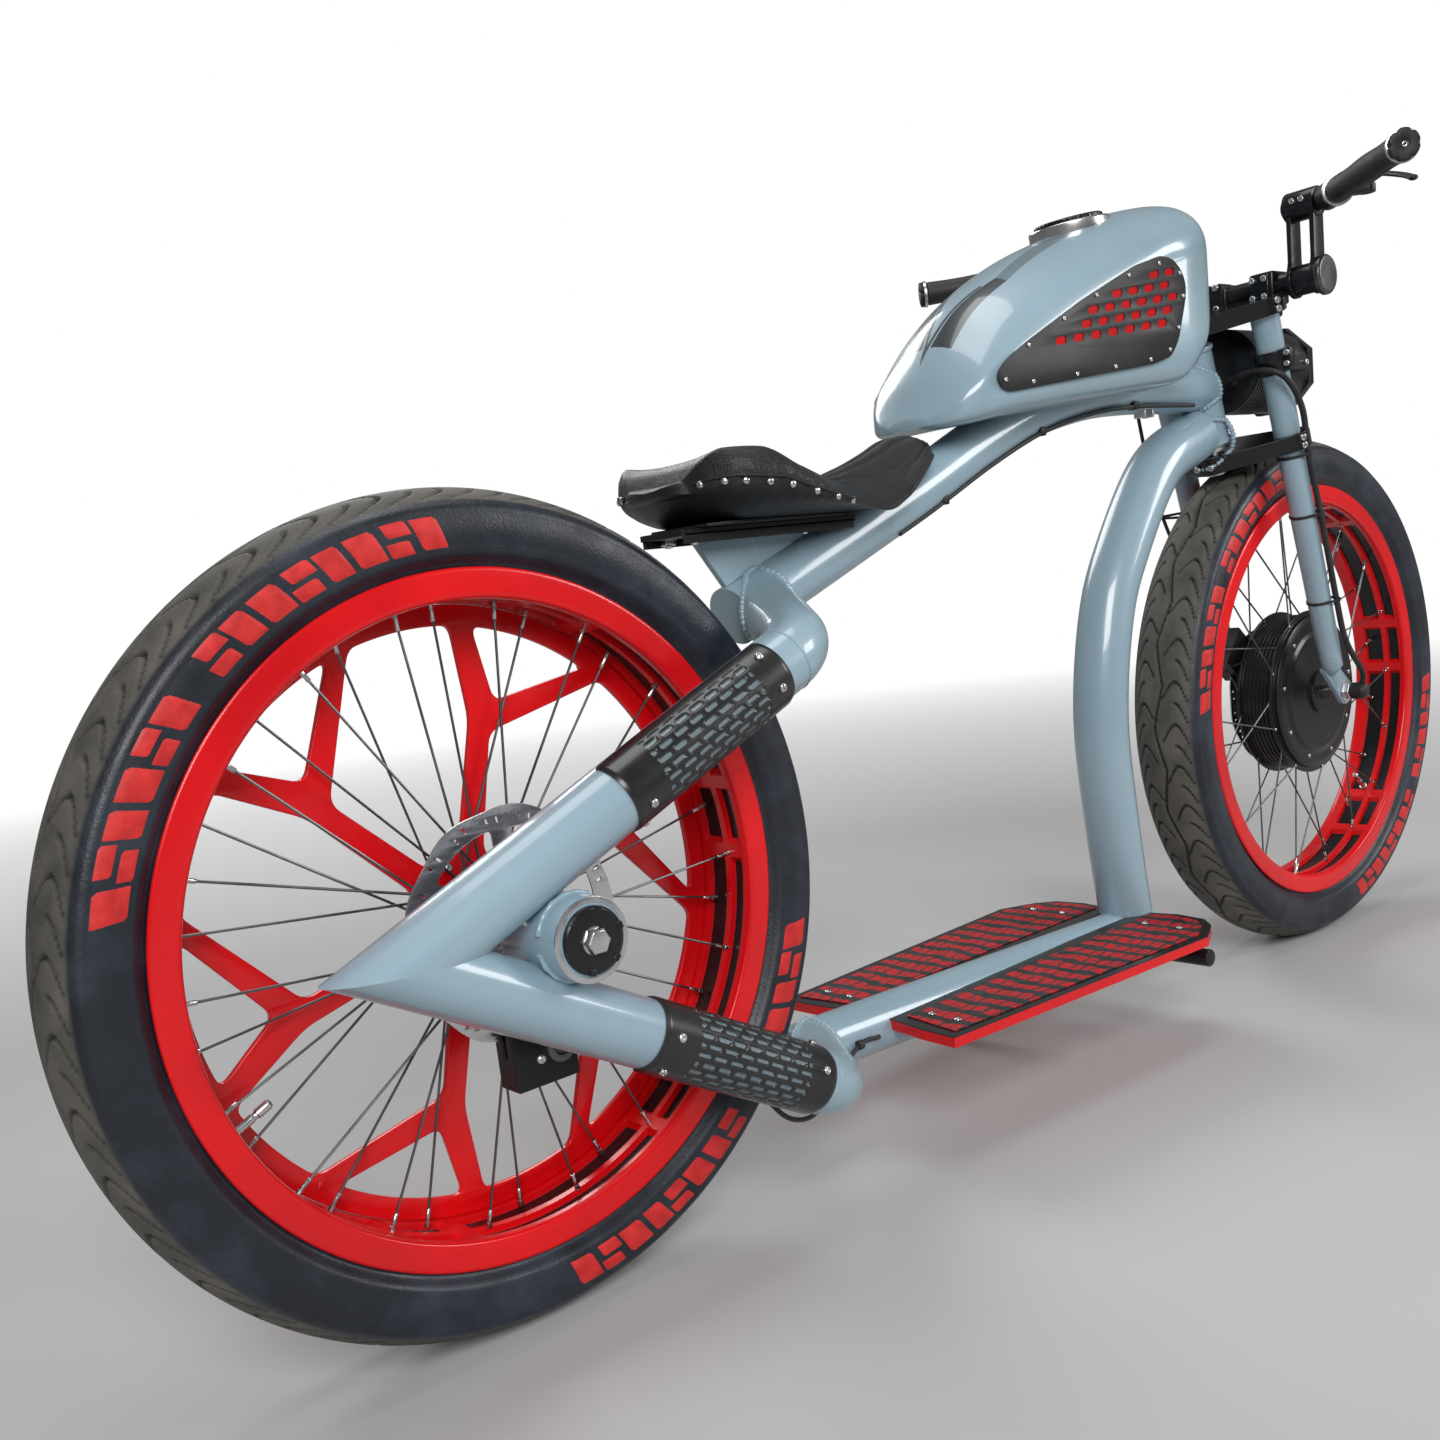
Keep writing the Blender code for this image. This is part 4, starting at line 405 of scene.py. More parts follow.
def curve_through(points, count):
    """A smooth curve through chosen points (Catmull-Rom), read at even steps along its length."""
    pts = np.asarray(points, dtype=float)
    pts = np.concatenate([[2 * pts[0] - pts[1]], pts, [2 * pts[-1] - pts[-2]]])
    t = np.linspace(0, 1, 24, endpoint=False)[:, None]
    dense = []
    for a, b, c, d in zip(pts, pts[1:], pts[2:], pts[3:]):
        dense.append(0.5 * (2 * b + (c - a) * t + (2 * a - 5 * b + 4 * c - d) * t ** 2
                            + (3 * b - a - 3 * c + d) * t ** 3))
    dense = np.concatenate([*dense, pts[-2:-1]])
    along = np.concatenate([[0], np.cumsum(np.linalg.norm(np.diff(dense, axis=0), axis=1))])
    read = np.linspace(0, along[-1], count)
    return np.stack([np.interp(read, along, dense[:, k]) for k in range(dense.shape[1])], axis=1)


def swept(path, radius, sides=32, first_side=None, closed_ends=True):
    """A round tube along a path: each ring keeps the side direction of the last, turned to stay square."""
    path = np.asarray(path, dtype=float)
    ways = np.gradient(path, axis=0)
    ways /= np.linalg.norm(ways, axis=1)[:, None]
    side = across(ways[0])[0] if first_side is None else np.asarray(first_side, dtype=float)
    sides_u = []
    for way in ways:
        side = unit(side - way * side.dot(way))
        sides_u.append(side)
    sides_u = np.array(sides_u)
    sides_v = np.cross(ways, sides_u)
    radius = np.broadcast_to(np.asarray(radius, dtype=float), len(path))[:, None, None]
    turn = np.linspace(0, 2 * math.pi, sides, endpoint=False)
    ring = np.cos(turn)[None, :, None] * sides_u[:, None] + np.sin(turn)[None, :, None] * sides_v[:, None]
    grid = path[:, None] + radius * ring
    if closed_ends:
        ends = [np.broadcast_to(path[k], (1, sides, 3)) for k in (0, -1)]
        grid = np.concatenate([ends[0], grid, ends[1]])
    return grid, False, True


def many(profile, places, steps=12):
    """The same turned part at many places, each (origin, axis)."""
    return [turned(profile, origin, axis, steps) for origin, axis in places]


def block(centre, size, frame_axes=None, edge=0.0015):
    """A box with rounded edges as one grid: rounded rectangles stacked from its foot to its top."""
    axes = np.eye(3) if frame_axes is None else np.asarray(frame_axes, dtype=float)
    half = np.asarray(size, dtype=float) / 2
    bend = np.linspace(0, math.pi / 2, 4)
    levels = np.concatenate([-half[2] + edge * (1 - np.cos(bend)), half[2] - edge * (1 - np.cos(bend[::-1]))])
    pull = edge * (1 - np.sin(np.concatenate([bend, bend[::-1]])))
    corner = edge * 1.5
    turn = np.linspace(0, math.pi / 2, 5)
    rings = []
    for level, inset in zip(levels, pull):
        ring = []
        for k, (sx, sy) in enumerate(((1, 1), (-1, 1), (-1, -1), (1, -1))):
            angle = turn + k * math.pi / 2
            ring.append(np.stack([sx * (half[0] - corner) + (corner - inset) * np.cos(angle),
                                  sy * (half[1] - corner) + (corner - inset) * np.sin(angle),
                                  np.full(5, level)], axis=1))
        rings.append(np.concatenate(ring))
    rings = [np.broadcast_to([0, 0, levels[0]], rings[0].shape), *rings,
             np.broadcast_to([0, 0, levels[-1]], rings[0].shape)]
    return np.asarray(centre) + np.array(rings) @ axes, False, True


def outline_plate(name, outline, holes, thick, place, body, finish_used, bevel=0.0008, steps=2):
    """A flat plate from an outline with holes, filled by a 2D curve, thickened and bevelled."""
    data = bpy.data.curves.new(name + "_curve", "CURVE")
    data.dimensions = "2D"
    data.fill_mode = "BOTH"
    data.extrude = thick / 2 - bevel
    data.bevel_depth = bevel
    data.bevel_resolution = steps
    data.offset = -bevel
    for loop in [outline, *holes]:
        spline = data.splines.new("POLY")
        spline.use_cyclic_u = True
        spline.points.add(len(loop) - 1)
        spline.points.foreach_set("co", np.column_stack([loop, np.zeros(len(loop)),
                                                         np.ones(len(loop))]).ravel())
    curve = bpy.data.objects.new(name + "_curve", data)
    bpy.context.scene.collection.objects.link(curve)
    bpy.context.view_layer.update()
    mesh = bpy.data.meshes.new_from_object(curve.evaluated_get(bpy.context.evaluated_depsgraph_get()))
    bpy.data.objects.remove(curve)
    mesh.name = name
    mesh.materials.clear()
    mesh.transform(Matrix(place))
    clean(mesh, 1e-5)
    mesh.materials.append(finish_used)
    return seat(bpy.data.objects.new(name, mesh), body, 30.0)


def placed(origin, x_axis, y_axis):
    """A 4x4 that lays a flat drawing's x and y along two directions of the bicycle."""
    z_axis = np.cross(x_axis, y_axis)
    made = np.eye(4)
    made[:3, 0], made[:3, 1], made[:3, 2], made[:3, 3] = x_axis, y_axis, z_axis, origin
    return made.tolist()


def circle(radius, count=32, centre=(0, 0), start=0.0):
    """Points on a circle in a drawing."""
    turn = start + np.linspace(0, 2 * math.pi, count, endpoint=False)
    return np.stack([centre[0] + radius * np.cos(turn), centre[1] + radius * np.sin(turn)], axis=1)


def node_copy(node, finish_used, bevel=0.0008, smooth=32.0):
    """A CAD part kept in shape, with its loose triangles merged and its edges rounded."""
    source = frame["nodes"][node]
    data = source.data.copy()

    def join(bm):
        bmesh.ops.remove_doubles(bm, verts=bm.verts[:], dist=1e-6)
        bmesh.ops.dissolve_limit(bm, angle_limit=math.radians(1.0), verts=bm.verts[:], edges=bm.edges[:])

    face_out(data, join)
    data.materials.clear()
    data.materials.append(finish_used)
    made = bpy.data.objects.new(node + "_dressed", data)
    bpy.context.scene.collection.objects.link(made)
    if bevel:
        edge = made.modifiers.new("edges", "BEVEL")
        edge.width = bevel
        edge.segments = 2
        edge.limit_method = "ANGLE"
        edge.angle_limit = math.radians(smooth)
        edge.harden_normals = True
        edge.use_clamp_overlap = True
    seat(made, source["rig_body"], 180)
    data.set_sharp_from_angle(angle=math.radians(smooth))
    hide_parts(node)
    return made


print("helpers ready")

# %% [markdown]
# The tyres are fat and round, with a dusty brown tread and blue-black side walls. A tread could be cut from
# the solid, but a grid can carry it: each point of the tyre's section is pushed in where a groove runs. A
# groove's place is a phase along the wheel that bends with the distance from the middle, so the lines curve
# like the real ones. The same depth is kept as an attribute, and the rubber reads it to paint shade into the
# grooves.

# %% Tyres
TREAD_EDGE = 0.0385
TREAD_PAIRS = 40
GROOVE_HALF = 0.0020
GROOVE_DEPTH = 0.0034
TYRE_STEPS = 1200
WALL_POINTS = 22


def tyre_profile():
    """The outside as (y, r), wide at the wall and rounded to the crown, then with the hollow inside."""
    wall = curve_through([(0.036, 0.281), (0.0375, 0.2985), (0.0455, 0.3070), (0.0490, 0.3250),
                          (0.0465, 0.3430),
                          (0.0420, 0.3500)], WALL_POINTS)
    tread_y = np.linspace(TREAD_EDGE, 0.0, 20)
    crown = 0.3648 - 0.0125 * (tread_y / TREAD_EDGE) ** 2.2
    half = np.concatenate([wall, np.stack([tread_y, crown], axis=1)])
    full = np.concatenate([half, half[-2::-1] * (-1, 1)])
    inner = np.array([(-0.030, 0.2835), (-0.040, 0.310), (-0.038, 0.338), (0.0, 0.3565), (0.038, 0.338),
                      (0.040, 0.310), (0.030, 0.2835)])
    return full, np.concatenate([full, inner])


def groove_depth(turn, y):
    """Depth of the tread, 0 to 1, at an angle and a distance from the middle.

    A groove is a line of constant phase = turn·pairs/2π + bend(|y|). Long ones reach the middle, and short
    ones between them stop half way. A zigzag runs round the middle.
    """
    share = np.abs(y) / TREAD_EDGE
    bend = 0.34 * np.sin(1.5 * math.pi * (share - 0.30)) - 0.40 * share + np.where(y > 0, 0.5, 0.0)
    pitch = 2 * math.pi * TYRE_R / TREAD_PAIRS

    def near(phase, half):
        away = np.abs((phase + 0.5) % 1.0 - 0.5) * pitch
        return np.clip(1.5 - away / half, 0, 1)

    phase = turn * TREAD_PAIRS / (2 * math.pi) + bend
    inside = np.clip((1.02 - share) * 12, 0, 1)
    long_line = near(phase, GROOVE_HALF) * np.clip((share - 0.10) * 14, 0, 1)
    short_line = near(phase + 0.5, GROOVE_HALF) * np.clip((share - 0.52) * 14, 0, 1)
    swing = (np.abs((turn * TREAD_PAIRS / (4 * math.pi)) % 1.0 - 0.5) * 4 - 1) * 0.16 * TREAD_EDGE
    zigzag = np.clip(1.5 - np.abs(y - swing) / 0.0017, 0, 1)
    return np.maximum(np.maximum(long_line, short_line), zigzag) * inside


def tyre_material():
    """Tread in dusty brown, walls in blue-black, both cloudy, with painted shade in the grooves from the
    attribute.
    """
    made = finish("tyre_tread_finish", (0.060, 0.056, 0.048), (0.115, 0.106, 0.090), (0.62, 0.80), 0.0,
                  cloud=26.0, speck=420.0, bump=0.5, depth=0.0006)
    tree = made.node_tree
    shader = tree.nodes["Principled BSDF"]
    groove, side = attribute(tree, "groove"), attribute(tree, "wall")
    # The depth attribute colours the grooves near black: painted shade in the recesses.
    dark = mix_colour(tree, groove, base_colour(shader), (0.008, 0.008, 0.008))
    where = object_place(tree)
    scuff = spread(tree, noise(tree, where, 14.0, 6.0, 0.65), 0.45, 0.75)
    wall = mix_colour(tree, scuff, (0.008, 0.011, 0.018), (0.030, 0.040, 0.060))
    tree.links.new(mix_colour(tree, side, dark, wall), shader.inputs["Base Color"])
    smooth_wall = mix_value(tree, "MULTIPLY", side, 0.30)
    rough = mix_value(tree, "SUBTRACT", shader.inputs["Roughness"].links[0].from_socket, smooth_wall)
    tree.links.new(rough, shader.inputs["Roughness"])
    return made


TYRE = tyre_material()


def tyre(name, middle, body, node):
    """Carries the section round the axle, pushes the grooves in, and keeps depth and wall as attributes."""
    outer, profile = tyre_profile()
    turn = np.linspace(0, 2 * math.pi, TYRE_STEPS, endpoint=False)[:, None]
    y, r = profile[None, :, 0], profile[None, :, 1]
    groove = groove_depth(turn, y) * (np.arange(profile.shape[0]) < outer.shape[0])
    groove = groove * (r > 0.349)
    ring = 0.0012 * np.exp(-((r - 0.3095) / 0.0012) ** 2) + 0.0010 * np.exp(-((r - 0.3440) / 0.0014) ** 2)
    r_now = r - GROOVE_DEPTH * groove
    y_now = y + np.sign(y) * ring * (np.arange(profile.shape[0]) < outer.shape[0])
    points = np.stack([middle[0] + r_now * np.cos(turn), y_now + 0 * turn, middle[2] + r_now * np.sin(turn)],
                      axis=-1)
    data = bpy.data.meshes.new(name)
    faces = grid_faces(points.shape[0], points.shape[1], True, True)
    data.from_pydata(points.reshape(-1, 3).tolist(), [], faces.tolist())
    wall = np.broadcast_to(((r < 0.3500) | (np.abs(y) > TREAD_EDGE * 1.03)).astype(float), groove.shape)
    for label, values in (("groove", groove), ("wall", wall)):
        layer = data.attributes.new(label, "FLOAT", "POINT")
        layer.data.foreach_set("value", np.ascontiguousarray(values, dtype=np.float32).ravel())
    face_out(data)
    data.materials.append(TYRE)
    made = seat(bpy.data.objects.new(name, data), body, 60.0)
    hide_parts(node)
    return made


tyre("rear_tread_tyre", REAR, "rear_wheel", "rear_tyre")
tyre("front_tread_tyre", FRONT, "front_wheel", "front_tyre")
print("tyre points", TYRE_STEPS * len(tyre_profile()[1]))

# %% [markdown]
# The walls carry slanted red bars, some of them split in two, moulded under a millimetre proud. Each is a
# small patch of the tyre's own wall: its two parameters are the angle and the radius, and its ends lean by
# adding a share of the radius to the angle.

# %% Red bars on the walls
BAR_LOW_R = 0.3115
BAR_HIGH_R = 0.3400
BAR_WIDTHS = (4.4, 4.0, 4.8, 4.0, 4.4, 4.8, 4.0, 4.4)
BAR_LEAN, BAR_GAP = math.radians(1.6), math.radians(0.7)


def wall_y(r):
    """Half width of the tyre at a radius, read from its section."""
    outer = tyre_profile()[0][:WALL_POINTS]
    return np.interp(r, outer[:, 1], outer[:, 0])


def wall_bar(middle, side, start, width, low, high, lean, proud=0.0007):
    """One bar: a patch of the wall between two radii, thin at its rim so that it closes onto the rubber."""
    u = np.linspace(0, 1, 9)[:, None]
    v = np.linspace(0, 1, 7)[None, :]
    r = BAR_LOW_R + (BAR_HIGH_R - BAR_LOW_R) * (low + (high - low) * v)
    turn = start + width * u + lean * (v - 0.5)
    edge = np.minimum(np.minimum(u, 1 - u) * 8, np.minimum(v, 1 - v) * 6)
    rise = proud * np.clip(edge, -0.3, 1.0) - 0.0002
    y = side * (wall_y(r) + rise)
    return np.stack([middle[0] + r * np.cos(turn), y + 0 * turn, middle[2] + r * np.sin(turn)],
                    axis=-1), False, False


def wall_bars(name, middle, body, groups):
    """Groups of bars on both walls; each has its first angle and its count."""
    grids = []
    for side in (-1, 1):
        for start, count in groups:
            turn = math.radians(start)
            for index, width in enumerate(BAR_WIDTHS[:count]):
                span = math.radians(width)
                parts = ((0.0, 0.46, 0.46), (0.56, 1.0, 0.44)) if index % 3 == 1 else ((0.0, 1.0, 1.0),)
                grids += [wall_bar(middle, side, turn, span, low, high, BAR_LEAN * part) for low, high,
                          part in parts]
                turn += span + BAR_GAP
    skins(name, grids, body, RED_RUBBER, 60.0)


RED_RUBBER = finish("red_wall_finish", (0.50, 0.012, 0.012), (0.70, 0.025, 0.022), (0.42, 0.60), 0.0,
                    (0.30, 0.02, 0.02), 0.6, cloud=60.0, speck=700.0, bump=0.25)
wall_bars("rear_wall_bars", REAR, "rear_wheel", ((92.0, 8), (136.5, 6), (272.0, 8), (316.5, 6)))
wall_bars("front_wall_bars", FRONT, "front_wheel", ((103.0, 8), (147.0, 6), (283.0, 8), (327.0, 6)))
print("bars done")

# %% [markdown]
# The rims are wide and glossy red. Their inner barrel is opened by two rows of long windows, black inside,
# with red bridges between. The barrel is a grid round the wheel, and a window is where its radius steps
# outwards. Each face takes the red or the black by the mask at its middle, so that the edge of a window
# stays sharp.

# %% Rims
WINDOWS = 24
RIM_STEPS = WINDOWS * 16


def rim_skin(name, middle, body, node):
    """A box section carried round, with its barrel pushed out by mask(angle)·mask(y) to make the windows."""
    barrel_y = np.concatenate([np.linspace(-0.0365, -0.0315, 3),
                               [-0.0310, -0.0300, -0.0200, -0.0140, -0.0130],
                               [-0.0060, -0.0050], np.linspace(0.0, 0.015, 4), [0.0200, 0.0210],
                               np.linspace(0.0265, 0.0365, 3)])
    barrel = np.stack([barrel_y, np.full(len(barrel_y), RIM_INNER_R)], axis=1)
    lip = softened([(0.0365, RIM_INNER_R), (0.0400, 0.2725), (RIM_HALF, 0.2765), (RIM_HALF, 0.2945),
                    (0.0398, RIM_R), (0.0375, RIM_R), (0.0372, 0.2805)], 0.0016, 4)
    lip_left = lip[1:]
    profile = np.concatenate([barrel, lip_left, (lip_left * (-1, 1))[::-1]])
    steps = np.arange(RIM_STEPS)
    cell = (steps % 16)
    bridged = ((steps + 2) // 16) % 4 < 2
    open_turn = (((cell >= 3) & (cell <= 14)) | ~bridged).astype(float)
    y = profile[:, 0]
    in_row = ((y > -0.0302) & (y < -0.0138)) | ((y > -0.0052) & (y < 0.0202))
    rows = in_row & (profile[:, 1] < RIM_INNER_R + 1e-6)
    mask = open_turn[:, None] * rows[None, :].astype(float)
    r = profile[None, :, 1] + 0.006 * mask
    turn = (steps * 2 * math.pi / RIM_STEPS)[:, None]
    points = np.stack([middle[0] + r * np.cos(turn), y[None, :] + 0 * turn, middle[2] + r * np.sin(turn)],
                      axis=-1)
    faces = grid_faces(*points.shape[:2], True, True)
    data = bpy.data.meshes.new(name)
    data.from_pydata(points.reshape(-1, 3).tolist(), [], faces.tolist())
    black = mask.reshape(-1)[faces].min(axis=1) > 0.5
    data.materials.append(RED)
    data.materials.append(BLACK)
    data.polygons.foreach_set("material_index", black.astype(np.int32))
    face_out(data)
    made = seat(bpy.data.objects.new(name, data), body, 35.0)
    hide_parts(node)
    return made


rim_skin("rear_windowed_rim", REAR, "rear_wheel", "rear_rim")
rim_skin("front_windowed_rim", FRONT, "front_wheel", "front_rim")
print("rims done")

# %% [markdown]
# Each wheel has 36 dark spokes that cross in pairs, with bright nipples at the rim. All the spokes of a
# wheel are one array: two ends each, joined by a thin round tube. A small head sits where a spoke leaves
# its flange.

# %% Spokes, nipples and valves
SPOKES = 36
SPOKE_R = 0.0012


def spoke_ends(middle, flange_r, flange_y, crossing):
    """Hub and rim ends of all the spokes, worked out as arrays from their number."""
    i = np.arange(SPOKES)
    side = np.where(i % 2, 1, -1)
    outer = np.where((i // 2) % 2, 1, -1)
    rim_turn = 2 * math.pi * i / SPOKES
    hub_turn = rim_turn + outer * math.radians(crossing)
    hub = middle + np.stack([flange_r * np.cos(hub_turn), side * (flange_y + outer * 0.0015),
                             flange_r * np.sin(hub_turn)], axis=1)
    rim = middle + np.stack([RIM_INNER_R * np.cos(rim_turn), side * 0.012, RIM_INNER_R * np.sin(rim_turn)],
                            axis=1)
    return hub, rim


def spokes(name, middle, body, flange_r, flange_y, crossing):
    """Thin tubes from hub to rim, and a nipple at each rim end."""
    hub, rim = spoke_ends(middle, flange_r, flange_y, crossing)
    wires, nipples = [], []
    for a, b in zip(hub, rim):
        way = unit(b - a)
        wires.append(turned([(0, 0), (0, SPOKE_R), (np.linalg.norm(b - a) - 0.008, SPOKE_R),
                             (np.linalg.norm(b - a) - 0.008, 0)], a, way, 8))
        nipples.append(turned([(-0.0150, 0.0), (-0.0150, 0.0016), (-0.0145, 0.0020), (-0.0040, 0.0020),
                               (-0.0035, 0.0026), (0.0010, 0.0028), (0.0010, 0.0)], b, way, 8))
    heads = [turned([(-0.0010, 0), (-0.0010, 0.0018), (0.0008, 0.0022), (0.0016, 0.0012), (0.0018, 0)], a,
                    LEFT * (1 if a[1] > 0 else -1), 8) for a in hub]
    skins(name + "_wires", wires, body, ALLOY, 40.0)
    skins(name + "_nipples", nipples + heads, body, STEEL, 40.0)


spokes("rear_spoke", REAR, "rear_wheel", 0.0315, 0.022, 30.0)
spokes("front_spoke", FRONT, "front_wheel", 0.1165, 0.024, 20.0)
for name, middle, body, place in (("rear_valve", REAR, "rear_wheel", 205.0),
                                  ("front_valve", FRONT, "front_wheel",
                                                                             318.0)):
    out = wheelwise(math.radians(place))
    stem = softened([(0.0, 0.0), (0.0, 0.0055), (0.003, 0.0055), (0.003, 0.0036), (0.020, 0.0036),
                     (0.021, 0.0030),
                     (0.024, 0.0030), (0.0245, 0.0042), (0.036, 0.0042), (0.038, 0.0030), (0.038, 0.0)],
                    0.0004, 2)
    skins(name, [turned(stem, middle + out * RIM_INNER_R, -out, 20)], body, STEEL)
print("spokes done")

# %% [markdown]
# The rear wheel's left side is closed by a red plate: a ring joined to the hub by six forked arms. It is a
# flat drawing with rounded openings, filled, thickened and bevelled. The openings are worked out from the
# arms' angles, one inside each fork and one between neighbours.

# %% Side plate of the rear wheel
PLATE_Y = 0.031
ARM_HALF = 0.0105
NODE_R = 0.172
PLATE_HUB_R = 0.056
RING_IN = 0.2523


def polar(radius, turn):
    """A point of a drawing at a radius and an angle."""
    return np.stack([radius * np.cos(turn), radius * np.sin(turn)], axis=-1)


def arm_openings():
    """The openings of the plate, as closed drawings with rounded corners."""
    openings = []
    for k in range(6):
        node = math.radians(76.0 + 60 * k)
        ahead, behind = node + math.radians(6), node - math.radians(27)
        slack = ARM_HALF / RING_IN
        inner = polar(np.array([NODE_R + 1.7 * ARM_HALF]),
                      np.array([(node + (ahead + behind) / 2) / 2 + 0.026]))
        rim_side = polar(np.full(7, RING_IN), np.linspace(ahead - slack, behind + slack, 7))
        openings.append(softened(np.concatenate([inner, rim_side]), 0.011, 5, True))
        after = math.radians(76.0 + 60 * (k + 1))
        after_behind = after - math.radians(27)
        near = polar(np.full(7, RING_IN), np.linspace(ahead + slack, after_behind - slack, 7))
        corners = [polar(np.array([NODE_R]), np.array([node + ARM_HALF / NODE_R])), near,
                   polar(np.array([NODE_R - 0.010]), np.array([after - ARM_HALF / NODE_R])),
                   polar(np.array([PLATE_HUB_R]), np.array([after - ARM_HALF * 1.15 / PLATE_HUB_R])),
                   polar(np.array([PLATE_HUB_R]), np.array([node + ARM_HALF * 1.15 / PLATE_HUB_R]))]
        openings.append(softened(np.concatenate(corners), 0.011, 5, True))
    return openings


plate = outline_plate("rear_forked_plate", circle(RIM_INNER_R - 0.0004, 160),
                      [circle(0.0205, 40), *arm_openings()],
                      0.0062, placed(REAR + LEFT * PLATE_Y, AHEAD, UP), "rear_wheel", RED,
                      0.0012, 3)
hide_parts("rear_side_plate")
screw_profile = softened([(0.0, 0.0), (0.0, 0.0042), (0.0018, 0.0042), (0.0030, 0.0026), (0.0030, 0.0016),
                          (0.0014, 0.0016), (0.0014, 0.0)], 0.0004, 2)
ring_screws = [(REAR + LEFT * y + 0.046 * wheelwise(a), way)
               for y, way in ((PLATE_Y + 0.003, LEFT), (PLATE_Y - 0.0031, -LEFT))
               for a in np.radians(np.arange(6) * 60 + 46)]
skins("rear_plate_screws", many(screw_profile, ring_screws, 14), "rear_wheel", STEEL)
print("side plate done")

# %% [markdown]
# The brake discs are thin steel with a wavy rim, long windows and a row of small slots. The rear hub is a
# short black barrel with two flanges. Both are plain turned or flat shapes, so a profile or a
# drawing gives them exactly.

# %% Discs and rear hub
def disc(name, middle, y, body, node, bore):
    """A disc: wavy outline r = R - 1.25 mm + 1.25 mm·cos(9·angle), six windows and a ring of slots."""
    turn = np.linspace(0, 2 * math.pi, 216, endpoint=False)
    outline = polar(0.1015 - 0.00125 + 0.00125 * np.cos(9 * turn), turn)
    holes = [circle(bore, 36)]
    for k in range(6):
        centre = math.radians(60 * k)
        reach = np.radians(np.linspace(-23, 23, 9))
        window = np.concatenate([polar(np.full(9, 0.0825), centre + reach),
                                 polar(np.full(5, bore + 0.016),
                                       centre + np.radians(np.linspace(17, -17, 5)))])
        holes.append(softened(window, 0.004, 3, True))
    for k in range(36):
        centre = math.radians(10 * k)
        tilt = 0.03 if k % 2 else -0.03
        low, high = 0.0875 + (k % 3) * 0.0015, 0.0925 + (k % 3) * 0.0015
        slot = [polar(r, centre + (a + tilt)) for r,
                a in ((low, -0.018), (high, -0.010), (high, 0.016), (low, 0.008))]
        holes.append(softened(slot, 0.0012, 2, True))
    made = outline_plate(name, outline, holes, 0.002, placed(middle + LEFT * y, AHEAD, UP), body, STEEL,
                         0.0003, 1)
    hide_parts(node)


disc("rear_wavy_disc", REAR, -0.050, "rear_wheel", "rear_rotor", 0.0155)
disc("front_wavy_disc", FRONT, 0.048, "front_wheel", "front_rotor", 0.0150)
hub_profile = softened([(-0.0487, 0.0098), (-0.0487, 0.0240), (-0.0240, 0.0240), (-0.0235, 0.0340),
                        (-0.0205, 0.0340),
                        (-0.0200, 0.0205), (0.0200, 0.0205), (0.0205, 0.0340), (0.0235, 0.0340),
                        (0.0240, 0.0240),
                        (0.0277, 0.0240), (0.0277, 0.0200), (0.0340, 0.0200), (0.0340, 0.0098)], 0.0010, 3)
hub = skins("rear_flanged_hub", [turned(looped(hub_profile), REAR, LEFT, 64)], "rear_wheel", SATIN)
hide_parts("rear_hub")
for name, middle, y, radius in (("rear", REAR, -0.051, 0.0215), ("front", FRONT, 0.049, 0.0225)):
    disc_bolts = [(middle + LEFT * y + radius * wheelwise(a), LEFT * math.copysign(1, y))
                  for a in np.radians(np.arange(6) * 60 + 30)]
    skins(name + "_disc_bolts", many(screw_profile * 0.8, disc_bolts, 14), name + "_wheel", STEEL)
print("discs done")

# %% [markdown]
# The front hub is the motor: a broad black drum with thin spoke flanges, shallow rings on its covers and a
# circle of small bright bolts. One turned profile gives the drum, and its rings are small waves of the
# cover's depth.

# %% Front hub motor
def cover_face():
    """The cover from its rim to the axle, (y, r): stepped, with shallow rings."""
    r = np.linspace(0.1035, 0.030, 40)
    dome = np.clip((0.092 - r) / 0.010, 0, 1)
    depth = 0.0338 + 0.0034 * dome * dome * (3 - 2 * dome) + 0.0001 * np.cos(r * 900) * (r < 0.075)
    return np.stack([depth, r], axis=1)


edge_left = softened([(0.0335, 0.1035), (0.0315, 0.1120), (0.0256, 0.1120), (0.0256, 0.1190),
                      (0.0224, 0.1190),
                      (0.0224, 0.1120), (0.0, 0.1120)], 0.0012, 3)
half_drum = np.concatenate([[(0.0420, 0.0075), (0.0420, 0.0280), (0.0400, 0.0300)], cover_face()[::-1],
                            edge_left])
drum = np.concatenate([half_drum, (half_drum[::-1] * (-1, 1))[1:]])
motor = skins("front_motor_drum", [turned(looped(drum), FRONT, LEFT, 128)], "front_wheel", BLACK)
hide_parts("front_hub_motor")
edge_bolts = [(FRONT + LEFT * side * 0.0334 + 0.0965 * wheelwise(a), LEFT * side)
              for side in (-1, 1) for a in np.radians(np.arange(9) * 40 + 10)]
skins("motor_cover_bolts", many(screw_profile * 0.75, edge_bolts, 12), "front_wheel", STEEL)
fins = [turned(softened([(y, 0.1118), (y, 0.1136), (y + 0.0022, 0.1136), (y + 0.0022, 0.1118)], 0.0005, 2),
               FRONT, LEFT,
               96) for y in (-0.0150, -0.0090, -0.0030, 0.0030, 0.0090, 0.0150)]
skins("motor_rim_fins", fins, "front_wheel", BLACK)
print("motor done")

# %% [markdown]
# The frame is a few thick painted tubes. Each is a circle carried along a smooth curve, with many more
# sides than the engineer's model needs, so that the gloss runs along it without facets. Where tubes meet, a
# rippled bead of weld covers the joint.

